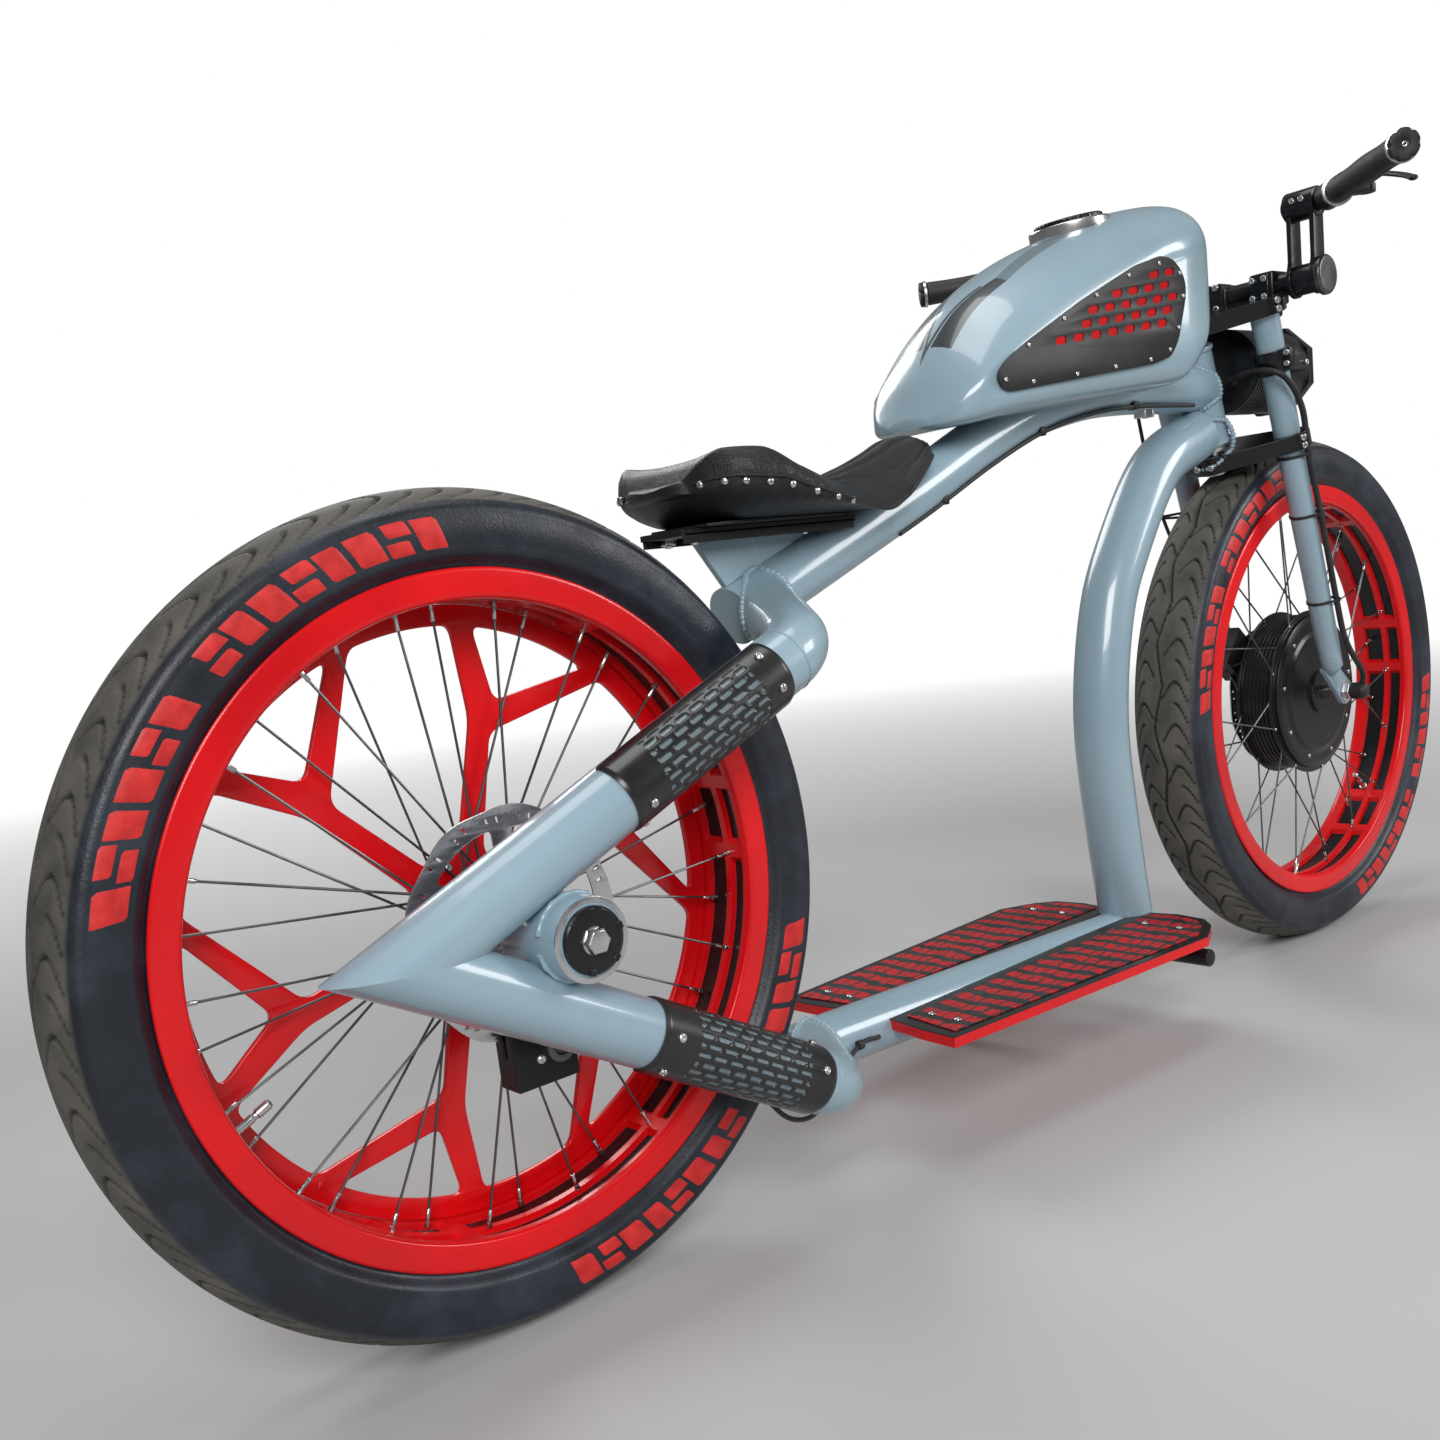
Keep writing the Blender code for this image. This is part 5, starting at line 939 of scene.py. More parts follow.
# %% Frame tubes
PIPE_R = 0.030
DOWN_R = 0.034
BACKBONE_REAR = np.array([REAR[0] + 0.356, 0, AXLE_Z + 0.2387])
BACKBONE_FRONT = np.array([HEAD[0] - 0.007, 0, HEAD[2] + 0.030])
FLOOR_REAR = np.array([REAR[0] + 0.326, 0, AXLE_Z - 0.2313])
FLOOR_FRONT = np.array([HEAD[0] - 0.220, 0, FLOOR_REAR[2] - 0.020])
BACKBONE_SHAPE = [(-0.042, -0.066), (0.0, 0.0), (0.175, 0.278), (0.295, 0.470), (0.428, 0.702),
                  (0.548, 0.874),
                  (0.669, 0.970), (0.777, 1.0), (0.892, 1.0), (1.0, 1.0)]
DOWN_SHAPE = [(0.0, 0.0), (0.439, 0.067), (0.816, 0.229), (1.004, 0.359), (1.112, 0.555), (1.083, 0.763),
              (1.0, 1.0)]


def drawn(shape, start, end):
    """Shares of the way from start to end, in x and in z, as points of the middle plane."""
    shape = np.array(shape)
    return np.stack([start[0] + (end[0] - start[0]) * shape[:, 0], 0 * shape[:, 0],
                     start[2] + (end[2] - start[2]) * shape[:, 1]], axis=1)


backbone_path = curve_through(drawn(BACKBONE_SHAPE, BACKBONE_REAR, BACKBONE_FRONT), 90)
down_path = curve_through(drawn(DOWN_SHAPE, HEAD + (-0.026, 0, -0.029), FLOOR_FRONT + (-0.034, 0, 0.014)), 90)
floor_path = np.linspace(FLOOR_REAR, FLOOR_FRONT, 40)
for name, path, radius, node in (("backbone_tube", backbone_path, PIPE_R, "backbone"),
                                 ("curved_down_tube", down_path, DOWN_R, "down_tube"),
                                 ("long_floor_tube", floor_path, PIPE_R, "floor_tube")):
    made = skins(name, [swept(path, radius, 64, LEFT)], "root", PAINT, 50.0)
    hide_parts(node)
head_profile = softened([(-0.0438, 0.0205), (-0.0438, 0.0275), (-0.0378, 0.0275), (-0.0370, 0.0252),
                         (0.0790, 0.0252),
                         (0.0798, 0.0275), (0.0856, 0.0275), (0.0856, 0.0205)], 0.0012, 3)
made = skins("head_tube_skin", [turned(looped(head_profile), HEAD, STEER_UP, 64)], "root", PAINT)
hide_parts("head_tube")
print("tubes done")

# %% [markdown]
# A weld is a soft bead that follows the joint, with a ripple for each dab of the torch. Two round tubes
# that meet have a joint that rises and falls round the smaller one. For each angle, a ray along the smaller
# tube's wall is met with the larger tube, and the bead runs through those points.

# %% Weld beads
def bead(points, radius, dabs, sides=10):
    """A closed rippled ring through points: its radius swings with the number of dabs."""
    points = np.asarray(points)
    closed = np.concatenate([points, points[:1]])
    path = curve_through(closed, dabs * 4 + 1)[:-1]
    ways = np.roll(path, -1, axis=0) - np.roll(path, 1, axis=0)
    ways /= np.linalg.norm(ways, axis=1)[:, None]
    centre = path.mean(axis=0)
    side = path - centre
    side -= ways * (side * ways).sum(axis=1)[:, None]
    side /= np.linalg.norm(side, axis=1)[:, None]
    up = np.cross(ways, side)
    swell = radius * (1 + 0.22 * np.cos(np.arange(len(path)) * math.pi / 2))
    turn = np.linspace(0, 2 * math.pi, sides, endpoint=False)
    ring = np.cos(turn)[None, :, None] * side[:, None] + np.sin(turn)[None, :, None] * up[:, None]
    return path[:, None] + swell[:, None, None] * ring, True, True


def meeting(start, way, radius, other_at, other_way, other_r, count=40):
    """Where the wall lines of one tube, from start along way, first meet another straight tube."""
    way, other_way = unit(way), unit(other_way)
    u, v = across(way)
    turn = np.linspace(0, 2 * math.pi, count, endpoint=False)
    foot = start + radius * (np.cos(turn)[:, None] * u + np.sin(turn)[:, None] * v)
    gap = foot - other_at
    gap = gap - (gap @ other_way)[:, None] * other_way
    step = way - way.dot(other_way) * other_way
    a, b, c = step.dot(step), gap @ step, (gap * gap).sum(axis=1) - other_r ** 2
    reach = (-b - np.sqrt(np.maximum(b * b - a * c, 0))) / a
    return foot + reach[:, None] * way


beads = [bead(meeting(backbone_path[-12], backbone_path[-1] - backbone_path[-4], PIPE_R, HEAD, STEER_UP,
                      0.0252),
              0.0032, 46),
         bead(meeting(down_path[16], down_path[2] - down_path[9], DOWN_R, HEAD, STEER_UP, 0.0252), 0.0032,
              50)]
print("beads ready")

# %% [markdown]
# Two fat tubes carry the rear wheel on its right side only, and meet behind it in a sharp mitred tip. The
# cut plane halves their angle, so the wall line of either tube starts where it meets that plane. The grid's
# rows go round the tube and its columns along it, and the first column lies on the plane.

# %% Rear stays
STAY_R = 0.0303
STAY_Y = -0.120
TIP = np.array([REAR[0] - 0.136, STAY_Y, AXLE_Z + 0.008])
UPPER_ELBOW = np.array([REAR[0] + 0.296, STAY_Y, AXLE_Z + 0.1948])
LOWER_ELBOW = np.array([REAR[0] + 0.281, STAY_Y, AXLE_Z - 0.2232])
ELBOW_BEND = 0.045
upper_way, lower_way = unit(UPPER_ELBOW - TIP), unit(LOWER_ELBOW - TIP)
MITRE_UP = unit(np.cross(LEFT, unit(upper_way + lower_way))) * -1


def rounded_path(points, bend, steps=14):
    """A path through its corners, each rounded with an arc of the bend radius."""
    pts = [np.asarray(p, dtype=float) for p in points]
    made = [pts[0][None]]
    for before, corner, after in zip(pts, pts[1:], pts[2:]):
        back, ahead = unit(before - corner), unit(after - corner)
        half = math.acos(np.clip(back.dot(ahead), -1, 1)) / 2
        reach = bend / math.tan(half)
        middle = corner + unit(back + ahead) * (bend / math.sin(half))
        first, last = corner + back * reach - middle, corner + ahead * reach - middle
        sweep = math.pi - 2 * half
        t = np.linspace(0, 1, steps)[:, None]
        made.append(middle + (first * np.sin(sweep * (1 - t)) + last * np.sin(sweep * t)) / math.sin(sweep))
    made.append(pts[-1][None])
    return np.concatenate(made)


def stay(name, elbow, way, inward, node, target_at, target_way, target_r):
    """One stay: mitred start, straight run, bent elbow, and its way in to the middle tube."""
    bend_path = rounded_path([TIP, elbow, inward], ELBOW_BEND)
    straight = np.linspace(TIP + way * 0.14, bend_path[1], 24)[:-1]
    inner_run = np.linspace(bend_path[-2], bend_path[-1], 10)[1:]
    path = np.concatenate([straight, bend_path[1:-1], inner_run])
    grid = swept(path, STAY_R, 72, LEFT, False)[0]
    plane = MITRE_UP * (1 if way[2] > 0 else -1)
    first = grid[0]
    reach = ((first - TIP) @ plane) / way.dot(plane)
    tip_ring = first - reach[:, None] * way
    share = np.linspace(0, 1, 24, endpoint=False)[:, None, None]
    grid = np.concatenate([tip_ring[None] * (1 - share) + first[None] * share, grid])
    made = skins(name, [(grid, False, True)], "root", PAINT, 50.0)
    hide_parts(node)
    joint = meeting(bend_path[-2], bend_path[-1] - bend_path[-2], STAY_R, target_at, target_way, target_r)
    return joint, bend_path


upper_joint, upper_bend = stay("upper_rear_stay", UPPER_ELBOW, upper_way, BACKBONE_REAR - LEFT * 0.004,
                               "upper_stay",
                               BACKBONE_REAR, backbone_path[6] - backbone_path[2], PIPE_R)
lower_joint, lower_bend = stay("lower_rear_stay", LOWER_ELBOW, lower_way, FLOOR_REAR + (PIPE_R, -0.004, 0),
                               "lower_stay",
                               FLOOR_REAR, FLOOR_FRONT - FLOOR_REAR, PIPE_R)
beads += [bead(upper_joint, 0.0030, 48), bead(lower_joint, 0.0030, 48)]
turn = np.linspace(0, 2 * math.pi, 40, endpoint=False)[:, None]
for elbow_bend, way in ((upper_bend, upper_way), (lower_bend, lower_way)):
    u, v = across(way)
    beads.append(bead(elbow_bend[1] + STAY_R * (np.cos(turn) * u + np.sin(turn) * v), 0.0008, 50))
print("tip at", TIP, "stays done")

# %% [markdown]
# The axle sits in a thick ring between the stays. Outside it shows a black lock ring with notches, a bright
# hex bolt and its washer. All are turned, and the hexagon is a profile carried round in six steps.

# %% Axle housing and rear axle
OUTER_Y = STAY_Y - STAY_R - 0.014
INNER_Y = STAY_Y + STAY_R + 0.006
AXLE_OUT = np.array([REAR[0], 0.0, AXLE_Z])
ring = softened([(-INNER_Y, 0.0215), (-INNER_Y, 0.0345), (-OUTER_Y, 0.0345), (-OUTER_Y, 0.0215)], 0.0022, 4)
made = skins("axle_ring", [turned(looped(ring), AXLE_OUT, -LEFT, 80)], "root", PAINT)
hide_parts("axle_housing")
axle_parts = [turned(softened([(-0.0345, 0.0), (-0.0345, 0.0095), (-INNER_Y - 0.003, 0.0095),
                               (-INNER_Y - 0.003, 0.021),
                               (-OUTER_Y + 0.0015, 0.021), (-OUTER_Y + 0.0015, 0.012),
                               (-OUTER_Y + 0.004, 0.012),
                               (-OUTER_Y + 0.004, 0.0)], 0.0006, 2), AXLE_OUT, -LEFT, 48),
              turned(softened([(-OUTER_Y + 0.004, 0.0), (-OUTER_Y + 0.004, 0.0112),
                               (-OUTER_Y + 0.0100, 0.0112),
                               (-OUTER_Y + 0.0118, 0.0095), (-OUTER_Y + 0.0118, 0.0)], 0.0004, 2), AXLE_OUT,
                     -LEFT, 6),
              turned(softened([(0.0344, 0.0), (0.0344, 0.0158), (0.0440, 0.0158), (0.0468, 0.0130),
                               (0.0468, 0.0)],
                              0.0006, 2), AXLE_OUT, LEFT, 6)]
made = skins("rear_axle_bolt", axle_parts, "root", STEEL)
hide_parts("rear_axle")
lock = [turned(softened([(-OUTER_Y - 0.001, 0.0118), (-OUTER_Y - 0.001, 0.0275), (-OUTER_Y + 0.0035, 0.0275),
                         (-OUTER_Y + 0.0050, 0.0250), (-OUTER_Y + 0.0050, 0.0118)], 0.0006, 2), AXLE_OUT,
               -LEFT, 48)]
for a in np.radians(np.arange(6) * 60 + 15):
    out = wheelwise(a)
    lock.append(block(AXLE_OUT - LEFT * (-OUTER_Y + 0.0046) + out * 0.0250, (0.0055, 0.0040, 0.0060),
                      np.stack([out, LEFT, np.cross(out, LEFT)]), 0.0008))
skins("axle_lock_ring", lock, "root", BLACK)
skins("axle_end_rings", [turned(softened([(-OUTER_Y - 0.0015, 0.0300), (-OUTER_Y - 0.0015, 0.0345),
                                          (-OUTER_Y + 0.0006, 0.0345), (-OUTER_Y + 0.0006, 0.0300)], 0.0005,
                                         2),
                                AXLE_OUT, -LEFT, 64)], "root", STEEL)
for side, way in ((1, upper_way), (-1, lower_way)):
    angle = np.radians(np.linspace(-52, 52, 22)) + math.atan2(way[2], way[0]) + side * math.pi / 2
    arc_points = AXLE_OUT + LEFT * (STAY_Y - 0.022) + 0.0352 * np.stack([np.cos(angle), 0 * angle,
                                                                         np.sin(angle)], 1)
    grid = swept(arc_points, 0.0024 * (1 + 0.2 * np.cos(np.arange(22) * 1.57)), 10)
    skins("housing_weld_%s" % ("upper" if side > 0 else "lower"), [grid], "root", PAINT, 60.0)
skins("frame_welds", beads, "root", PAINT, 60.0)
print("axle done")

# %% [markdown]
# Black guards wrap the outer side of both stays, pierced by rows of short slots. A guard is a grid in two
# parameters, the way along the stay and the angle round it. Inside a slot the sheet steps inwards and takes
# the colour of the paint below it, darkened as painted shade, on a grid fine enough to keep the slot's round
# ends.

# %% Pierced stay guards
GUARD_R = STAY_R + 0.0026
SLOT_PITCH, RAIL_PITCH = 0.0190, 0.0088


def guard(name, way, first, last, facing, node):
    """Skin of the guard: axis(along) + r·direction(angle), with r stepped in at each slot."""
    start = TIP + way * ((first - TIP[0]) / way[0])
    length = (last - first) / way[0]
    forward = unit(np.cross(way, -LEFT))
    rows, columns = 172, 104
    s = np.linspace(0, length, rows)[:, None]
    sweep = math.radians(205.0)
    turn = (np.linspace(-sweep / 2, sweep / 2, columns) + math.radians(facing))[None, :]
    along = s / SLOT_PITCH
    rail = turn * GUARD_R / RAIL_PITCH
    stagger = 0.5 * (np.floor(rail) % 2)
    u = ((along + stagger) % 1.0 - 0.5) * SLOT_PITCH
    v = (rail % 1.0 - 0.5) * RAIL_PITCH
    away = np.hypot(np.maximum(np.abs(u) - 0.0050, 0), v) - 0.0021
    inside = (s > 0.040) & (s < length - 0.034) & (np.abs(turn - math.radians(facing)) < math.radians(82))
    slot = np.clip(0.5 - away / 0.0009, 0, 1) * inside
    curl = 0.0012 * (np.clip((0.004 - s) / 0.004, 0, 1) + np.clip((s - length + 0.004) / 0.004, 0, 1))
    r = GUARD_R - 0.0021 * slot - curl
    direction = np.cos(turn)[..., None] * -LEFT + np.sin(turn)[..., None] * forward
    points = start + s[..., None] * way + r[..., None] * direction
    inner = start + s[..., None] * way + (STAY_R + 0.0002) * direction
    ring = np.concatenate([points, inner[:, ::-1]], axis=1)
    data = bpy.data.meshes.new(name)
    faces = grid_faces(rows, ring.shape[1], False, True)
    data.from_pydata(ring.reshape(-1, 3).tolist(), [], faces.tolist())
    layer = data.attributes.new("slot", "FLOAT", "POINT")
    values = np.concatenate([slot, np.zeros_like(slot)], axis=1)
    layer.data.foreach_set("value", values.astype(np.float32).ravel())
    face_out(data, lambda bm: bmesh.ops.holes_fill(bm, edges=bm.edges[:], sides=0))
    data.materials.append(GUARD)
    made = seat(bpy.data.objects.new(name, data), "root", 40.0)
    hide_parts(node)
    screws = []
    for distance, lean in ((0.017, 6), (length - 0.016, -6)):
        for tilt in (facing + lean, facing + lean + 62 if distance < 0.05 else facing + lean - 62):
            a = math.radians(tilt)
            out = math.cos(a) * -LEFT + math.sin(a) * forward
            screws.append((start + way * distance + out * (GUARD_R - 0.0002), out))
    return screws


GUARD = finish("pierced_guard_finish", (0.009, 0.009, 0.010), (0.018, 0.018, 0.019), (0.24, 0.38), 0.0,
               (0.12, 0.12, 0.12), 0.6, cloud=12.0, speck=700.0, bump=0.08, coat=0.15)
tree = GUARD.node_tree
shader = tree.nodes["Principled BSDF"]
# Inside the slots the guard shows the stay paint, darkened as painted shade under the slot walls.
tree.links.new(mix_colour(tree, spread(tree, attribute(tree, "slot"), 0.35, 0.9), base_colour(shader),
                          (0.16, 0.21, 0.235)), shader.inputs["Base Color"])
guard_screws = guard("upper_pierced_guard", upper_way, REAR[0] + 0.066, REAR[0] + 0.251, 15.0,
                     "upper_stay_cover")
guard_screws += guard("lower_pierced_guard", lower_way, REAR[0] + 0.066, REAR[0] + 0.251, -15.0,
                      "lower_stay_cover")
skins("guard_screws", many(screw_profile, guard_screws, 16), "root", STEEL)
print("guards done")

# %% [markdown]
# The callipers are cast black blocks with rounded edges. They keep the shape of the frame's parts, with
# their edges rounded, and gain bridge bolts and a round piston cap.

# %% Callipers
for node in ("rear_caliper", "front_caliper"):
    node_copy(node, SATIN, 0.0022)


def calliper_trim(name, node, middle, body):
    """Piston cap and two bridge bolts on a calliper, placed from its box and the wheel's middle."""
    low, high = np.array(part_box(node))
    centre = (low + high) / 2
    out = unit((centre - middle) * (1, 0, 1))
    round_way = np.cross(out, LEFT)
    face, side = (low[1], -LEFT) if body == "root" else (high[1] - 0.012, LEFT)
    at = middle + out * (np.linalg.norm((centre - middle) * (1, 0, 1)) - 0.004)
    at = np.array([at[0], face, at[2]])
    cap = softened([(-0.004, 0.0), (-0.004, 0.0135), (0.0012, 0.0135), (0.0022, 0.0120), (0.0022, 0.0070),
                    (0.0010, 0.0060), (0.0010, 0.0)], 0.0006, 2)
    bolts = [(at + round_way * step + out * 0.004, side) for step in (-0.021, 0.021)]
    skins(name + "_caps", [turned(cap, at, side, 40)], body, ALLOY)
    skins(name + "_bolts", many(screw_profile, bolts, 14), body, STEEL)


calliper_trim("rear_calliper", "rear_caliper", REAR, "root")
calliper_trim("front_calliper", "front_caliper", FRONT, "steering")
print("callipers done")

# %% [markdown]
# The tank is a painted shell over the backbone: broad and upright in front, low and sloping behind. It is
# lofted from a short table of sections. Each value of the table is read along the length by a smooth curve,
# and the section itself is a blend of two drawings, so that the skin flows without steps. The flanks are
# flat.

# %% Tank shell
TANK_FRONT_X = HEAD[0] - 0.1165
TANK_LENGTH = 0.5706 * (HEAD[0] - BACKBONE_REAR[0])
TANK_REAR_X = TANK_FRONT_X - TANK_LENGTH
TANK_BASE_Z = HEAD[2] - 0.013
TANK_HEIGHT = 0.260
TANK_HALF = 0.113
TANK_TAPER = 0.0758
TANK_WIDEST = 0.80
TANK_SHAPE = np.array([(0.0, 0.309, 0.054, 0.011), (0.016, 0.567, 0.112, 0.005), (0.046, 0.793, 0.226, 0.001),
                       (0.095, 0.954, 0.360, 0.008), (0.172, 1.0, 0.507, 0.027), (0.297, 1.0, 0.647, 0.050),
                       (0.423, 1.0, 0.748, 0.072), (0.549, 1.0, 0.826, 0.091), (0.674, 1.0, 0.896, 0.111),
                       (0.800, 1.0, 0.960, 0.132), (0.887, 0.960, 0.979, 0.227), (0.945, 0.837, 0.937, 0.365),
                       (0.979, 0.670, 0.848, 0.427), (1.0, 0.416, 0.722, 0.473)])
FRONT_SECTION = np.array([(0.0, 0.0), (0.55, 0.0), (0.84, 0.02), (0.96, 0.09), (1.0, 0.20), (1.0, 0.45),
                          (1.0, 0.64),
                          (0.965, 0.76), (0.86, 0.86), (0.68, 0.935), (0.46, 0.978), (0.22, 0.996),
                          (0.0, 1.0)])
REAR_SECTION = np.array([(0.0, 0.0), (0.55, 0.0), (0.84, 0.03), (0.96, 0.10), (1.0, 0.20), (1.0, 0.36),
                         (0.99, 0.50),
                         (0.91, 0.62), (0.78, 0.73), (0.60, 0.84), (0.40, 0.93), (0.19, 0.985), (0.0, 1.0)])


def steady(xs, ys, read):
    """A smooth curve through a table that never overshoots it (monotone cubic): slopes are harmonic means."""
    xs, ys, read = (np.asarray(value, dtype=float) for value in (xs, ys, read))
    h, d = np.diff(xs), np.diff(ys) / np.diff(xs)
    same = d[:-1] * d[1:] > 0
    w1, w2 = 2 * h[1:] + h[:-1], h[1:] + 2 * h[:-1]
    with np.errstate(divide="ignore", invalid="ignore"):
        inner = np.where(same, (w1 + w2) / (w1 / d[:-1] + w2 / d[1:]), 0.0)
    slope = np.concatenate([[d[0]], np.nan_to_num(inner), [d[-1]]])
    i = np.clip(np.searchsorted(xs, read) - 1, 0, len(h) - 1)
    t = (read - xs[i]) / h[i]
    return ((1 + 2 * t) * (1 - t) ** 2 * ys[i] + t * (1 - t) ** 2 * h[i] * slope[i]
            + t ** 2 * (3 - 2 * t) * ys[i + 1] + t ** 2 * (t - 1) * h[i] * slope[i + 1])


def flank_y(share):
    """Half the tank's width at a share of its length, before the ends are rounded."""
    return TANK_HALF - TANK_TAPER * (TANK_WIDEST - share) * TANK_LENGTH


def tank_crest(x):
    """Height of the tank's top line at a place along it."""
    share = (np.asarray(x) - TANK_REAR_X) / TANK_LENGTH
    return TANK_BASE_Z + TANK_HEIGHT * steady(TANK_SHAPE[:, 0], TANK_SHAPE[:, 2], share)


def tank_grid(rows=150, half_columns=56):
    """Sections along the length: (half·u, base + height·v) for the blended drawing (u, v)."""
    t = np.linspace(0, 1, rows)
    share = 0.5 - 0.5 * np.cos(math.pi * (0.06 + 0.94 * t)) - (0.5 - 0.5 * math.cos(math.pi * 0.06)) * (1 - t)
    share[0], share[-1] = 0.0, 1.0
    width, crest, keel = (steady(TANK_SHAPE[:, 0], TANK_SHAPE[:, k], share) for k in (1, 2, 3))
    front, rear = curve_through(FRONT_SECTION, half_columns), curve_through(REAR_SECTION, half_columns)
    front[:, 0], rear[:, 0] = np.clip(front[:, 0], 0, 1), np.clip(rear[:, 0], 0, 1)
    slope = np.clip((0.73 - share) / (0.73 - 0.11), 0, 1)[:, None]
    u = front[None, :, 0] * (1 - slope) + rear[None, :, 0] * slope
    v = front[None, :, 1] * (1 - slope) + rear[None, :, 1] * slope
    base = (TANK_BASE_Z + TANK_HEIGHT * keel)[:, None]
    height = (TANK_HEIGHT * (crest - keel))[:, None]
    y = (flank_y(share) * width)[:, None] * u
    z = base + height * v
    x = np.broadcast_to((TANK_REAR_X + share * TANK_LENGTH)[:, None], y.shape)
    right = np.stack([x, -y, z], axis=-1)
    left = np.stack([x, y, z], axis=-1)[:, ::-1][:, 1:-1]
    grid = np.concatenate([right, left], axis=1)
    ends = [np.broadcast_to(grid[k].mean(axis=0), (1, *grid.shape[1:])) for k in (0, -1)]
    return np.concatenate([ends[0], grid, ends[1]]), False, True


def tank_material():
    """Frame paint with two pointed dark bands on its shoulders, read from Object coordinates."""
    made = PAINT.copy()
    made.name = "tank_paint_finish"
    tree = made.node_tree
    shader = tree.nodes["Principled BSDF"]
    where = tree.nodes.new("ShaderNodeSeparateXYZ")
    tree.links.new(object_place(tree), where.inputs[0])
    x, y = where.outputs["X"], mix_value(tree, "ABSOLUTE", where.outputs["Y"], 0.0)

    def band(start, end, rear_low, rear_high, front_low, front_high):
        share = mix_value(tree, "DIVIDE", mix_value(tree, "SUBTRACT", x, start), end - start)
        low = mix_value(tree, "ADD", mix_value(tree, "MULTIPLY", share, front_low - rear_low), rear_low)
        high = mix_value(tree, "ADD", mix_value(tree, "MULTIPLY", share, front_high - rear_high), rear_high)
        across_it = mix_value(tree, "MULTIPLY", mix_value(tree, "GREATER_THAN", y, low),
                              mix_value(tree, "LESS_THAN", y, high))
        along_it = mix_value(tree, "MULTIPLY", mix_value(tree, "GREATER_THAN", share, 0.0),
                             mix_value(tree, "LESS_THAN", share, 1.0))
        return mix_value(tree, "MULTIPLY", across_it, along_it)

    wide, line, pale = band(*STRIPE_WIDE), band(*STRIPE_LINE), band(*STRIPE_PALE)
    colour = base_colour(shader)
    colour = mix_colour(tree, wide, colour, (0.022, 0.032, 0.038))
    colour = mix_colour(tree, pale, colour, (0.150, 0.215, 0.245))
    colour = mix_colour(tree, line, colour, (0.022, 0.032, 0.038))
    tree.links.new(colour, shader.inputs["Base Color"])
    return made


# Each stripe: where it starts and ends along x, then its inner and outer edge, behind and in front
STRIPE_WIDE = (-0.060, 0.034, 0.006, 0.035, 0.028, 0.043)
STRIPE_LINE = (-0.072, 0.016, -0.004, 0.0005, 0.0195, 0.0230)
STRIPE_PALE = (0.034, 0.185, 0.028, 0.043, 0.010, 0.036)
tank = skins("painted_tank", [tank_grid()], "root", tank_material(), 60.0)
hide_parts("tank_shell")

# %% [markdown]
# Black plates cover the flanks, with rows of long hexagonal windows through which a red sheet shows, and
# small bright screws along the edge. A plate is a flat drawing laid in the plane of the flank, with its x
# along the flank's taper and its y upwards.

# %% Side plates of the tank
PLATE_SHAPE = np.array([(0.100, 0.175), (0.110, 0.126), (0.138, 0.106), (0.652, 0.209), (0.717, 0.240),
                        (0.750, 0.310), (0.787, 0.495), (0.790, 0.560), (0.771, 0.623), (0.739, 0.662),
                        (0.696, 0.670), (0.599, 0.623), (0.412, 0.483), (0.233, 0.330), (0.147, 0.251),
                        (0.116, 0.213)])
PLATE_THICK = 0.002
plate_drawing = softened(PLATE_SHAPE * (TANK_LENGTH, TANK_HEIGHT), 0.008, 4, True)
# Windows and screws as shares of the tank's length and height
WINDOW_ROWS = [(2, (0.669, 0.588), (0.728, 0.602)), (4, (0.527, 0.504), (0.706, 0.545)),
               (6, (0.438, 0.435), (0.736, 0.498)), (6, (0.411, 0.378), (0.711, 0.440)),
               (7, (0.318, 0.309), (0.689, 0.382))]
SCREWS = [(0.688, 0.637), (0.572, 0.581), (0.451, 0.495), (0.332, 0.397), (0.207, 0.290), (0.124, 0.155),
          (0.213, 0.146), (0.364, 0.172), (0.502, 0.200), (0.635, 0.228), (0.712, 0.269), (0.750, 0.366),
          (0.774, 0.502), (0.766, 0.600)]


def plate_windows():
    """Hexagons in rows, each row with its count, its first place and its last."""
    windows = []
    for count, first, last in WINDOW_ROWS:
        for share in np.linspace(first, last, count):
            middle = share * (TANK_LENGTH, TANK_HEIGHT)
            hexagon = np.array([(-0.0092, 0.0), (-0.0066, -0.0042), (0.0066, -0.0042), (0.0092, 0.0),
                                (0.0066, 0.0042), (-0.0066, 0.0042)])
            lean = np.array([[1.0, 0.16], [0.0, 1.0]])
            windows.append(middle + hexagon @ lean)
    return windows


RED_SHEET = finish("red_sheet_finish", (0.50, 0.003, 0.005), (0.62, 0.004, 0.007), (0.60, 0.75), cloud=8.0,
                   bump=0.05)
RED_SHEET.node_tree.nodes["Principled BSDF"].inputs["Specular IOR Level"].default_value = 0.15
for side, name in ((-1, "right"), (1, "left")):
    along = unit((1.0, side * TANK_TAPER, 0.0))
    out = np.cross(along, UP) * (1 if side < 0 else -1)
    foot = np.array([TANK_REAR_X, side * flank_y(0.0), TANK_BASE_Z])
    place = placed(foot + out * (0.0003 + PLATE_THICK / 2), along, UP)
    cover = outline_plate(name + "_tank_cover", plate_drawing, plate_windows(), PLATE_THICK, place, "root",
                          SATIN,
                          0.0003, 1)
    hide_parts("tank_plate_" + name)
    heads = [(foot + along * u * TANK_LENGTH + UP * v * TANK_HEIGHT + out * (PLATE_THICK + 0.0002), out)
             for u, v in SCREWS]
    skins(name + "_cover_screws", many(screw_profile * 0.62, heads, 14), "root", STEEL)
    shrunk = (plate_drawing - plate_drawing.mean(axis=0)) * 0.93 + plate_drawing.mean(axis=0)
    outline_plate(name + "_red_sheet", shrunk, [], 0.0010, placed(foot + out * 0.0006, along, UP), "root",
                  RED_SHEET,
                  0.0002, 1)
print("plates done")

# %% [markdown]
# A dark filler cap stands in a polished ring on top. Its edge is knurled: the radius swings with the angle,
# which a turned grid allows by scaling each of its rows.

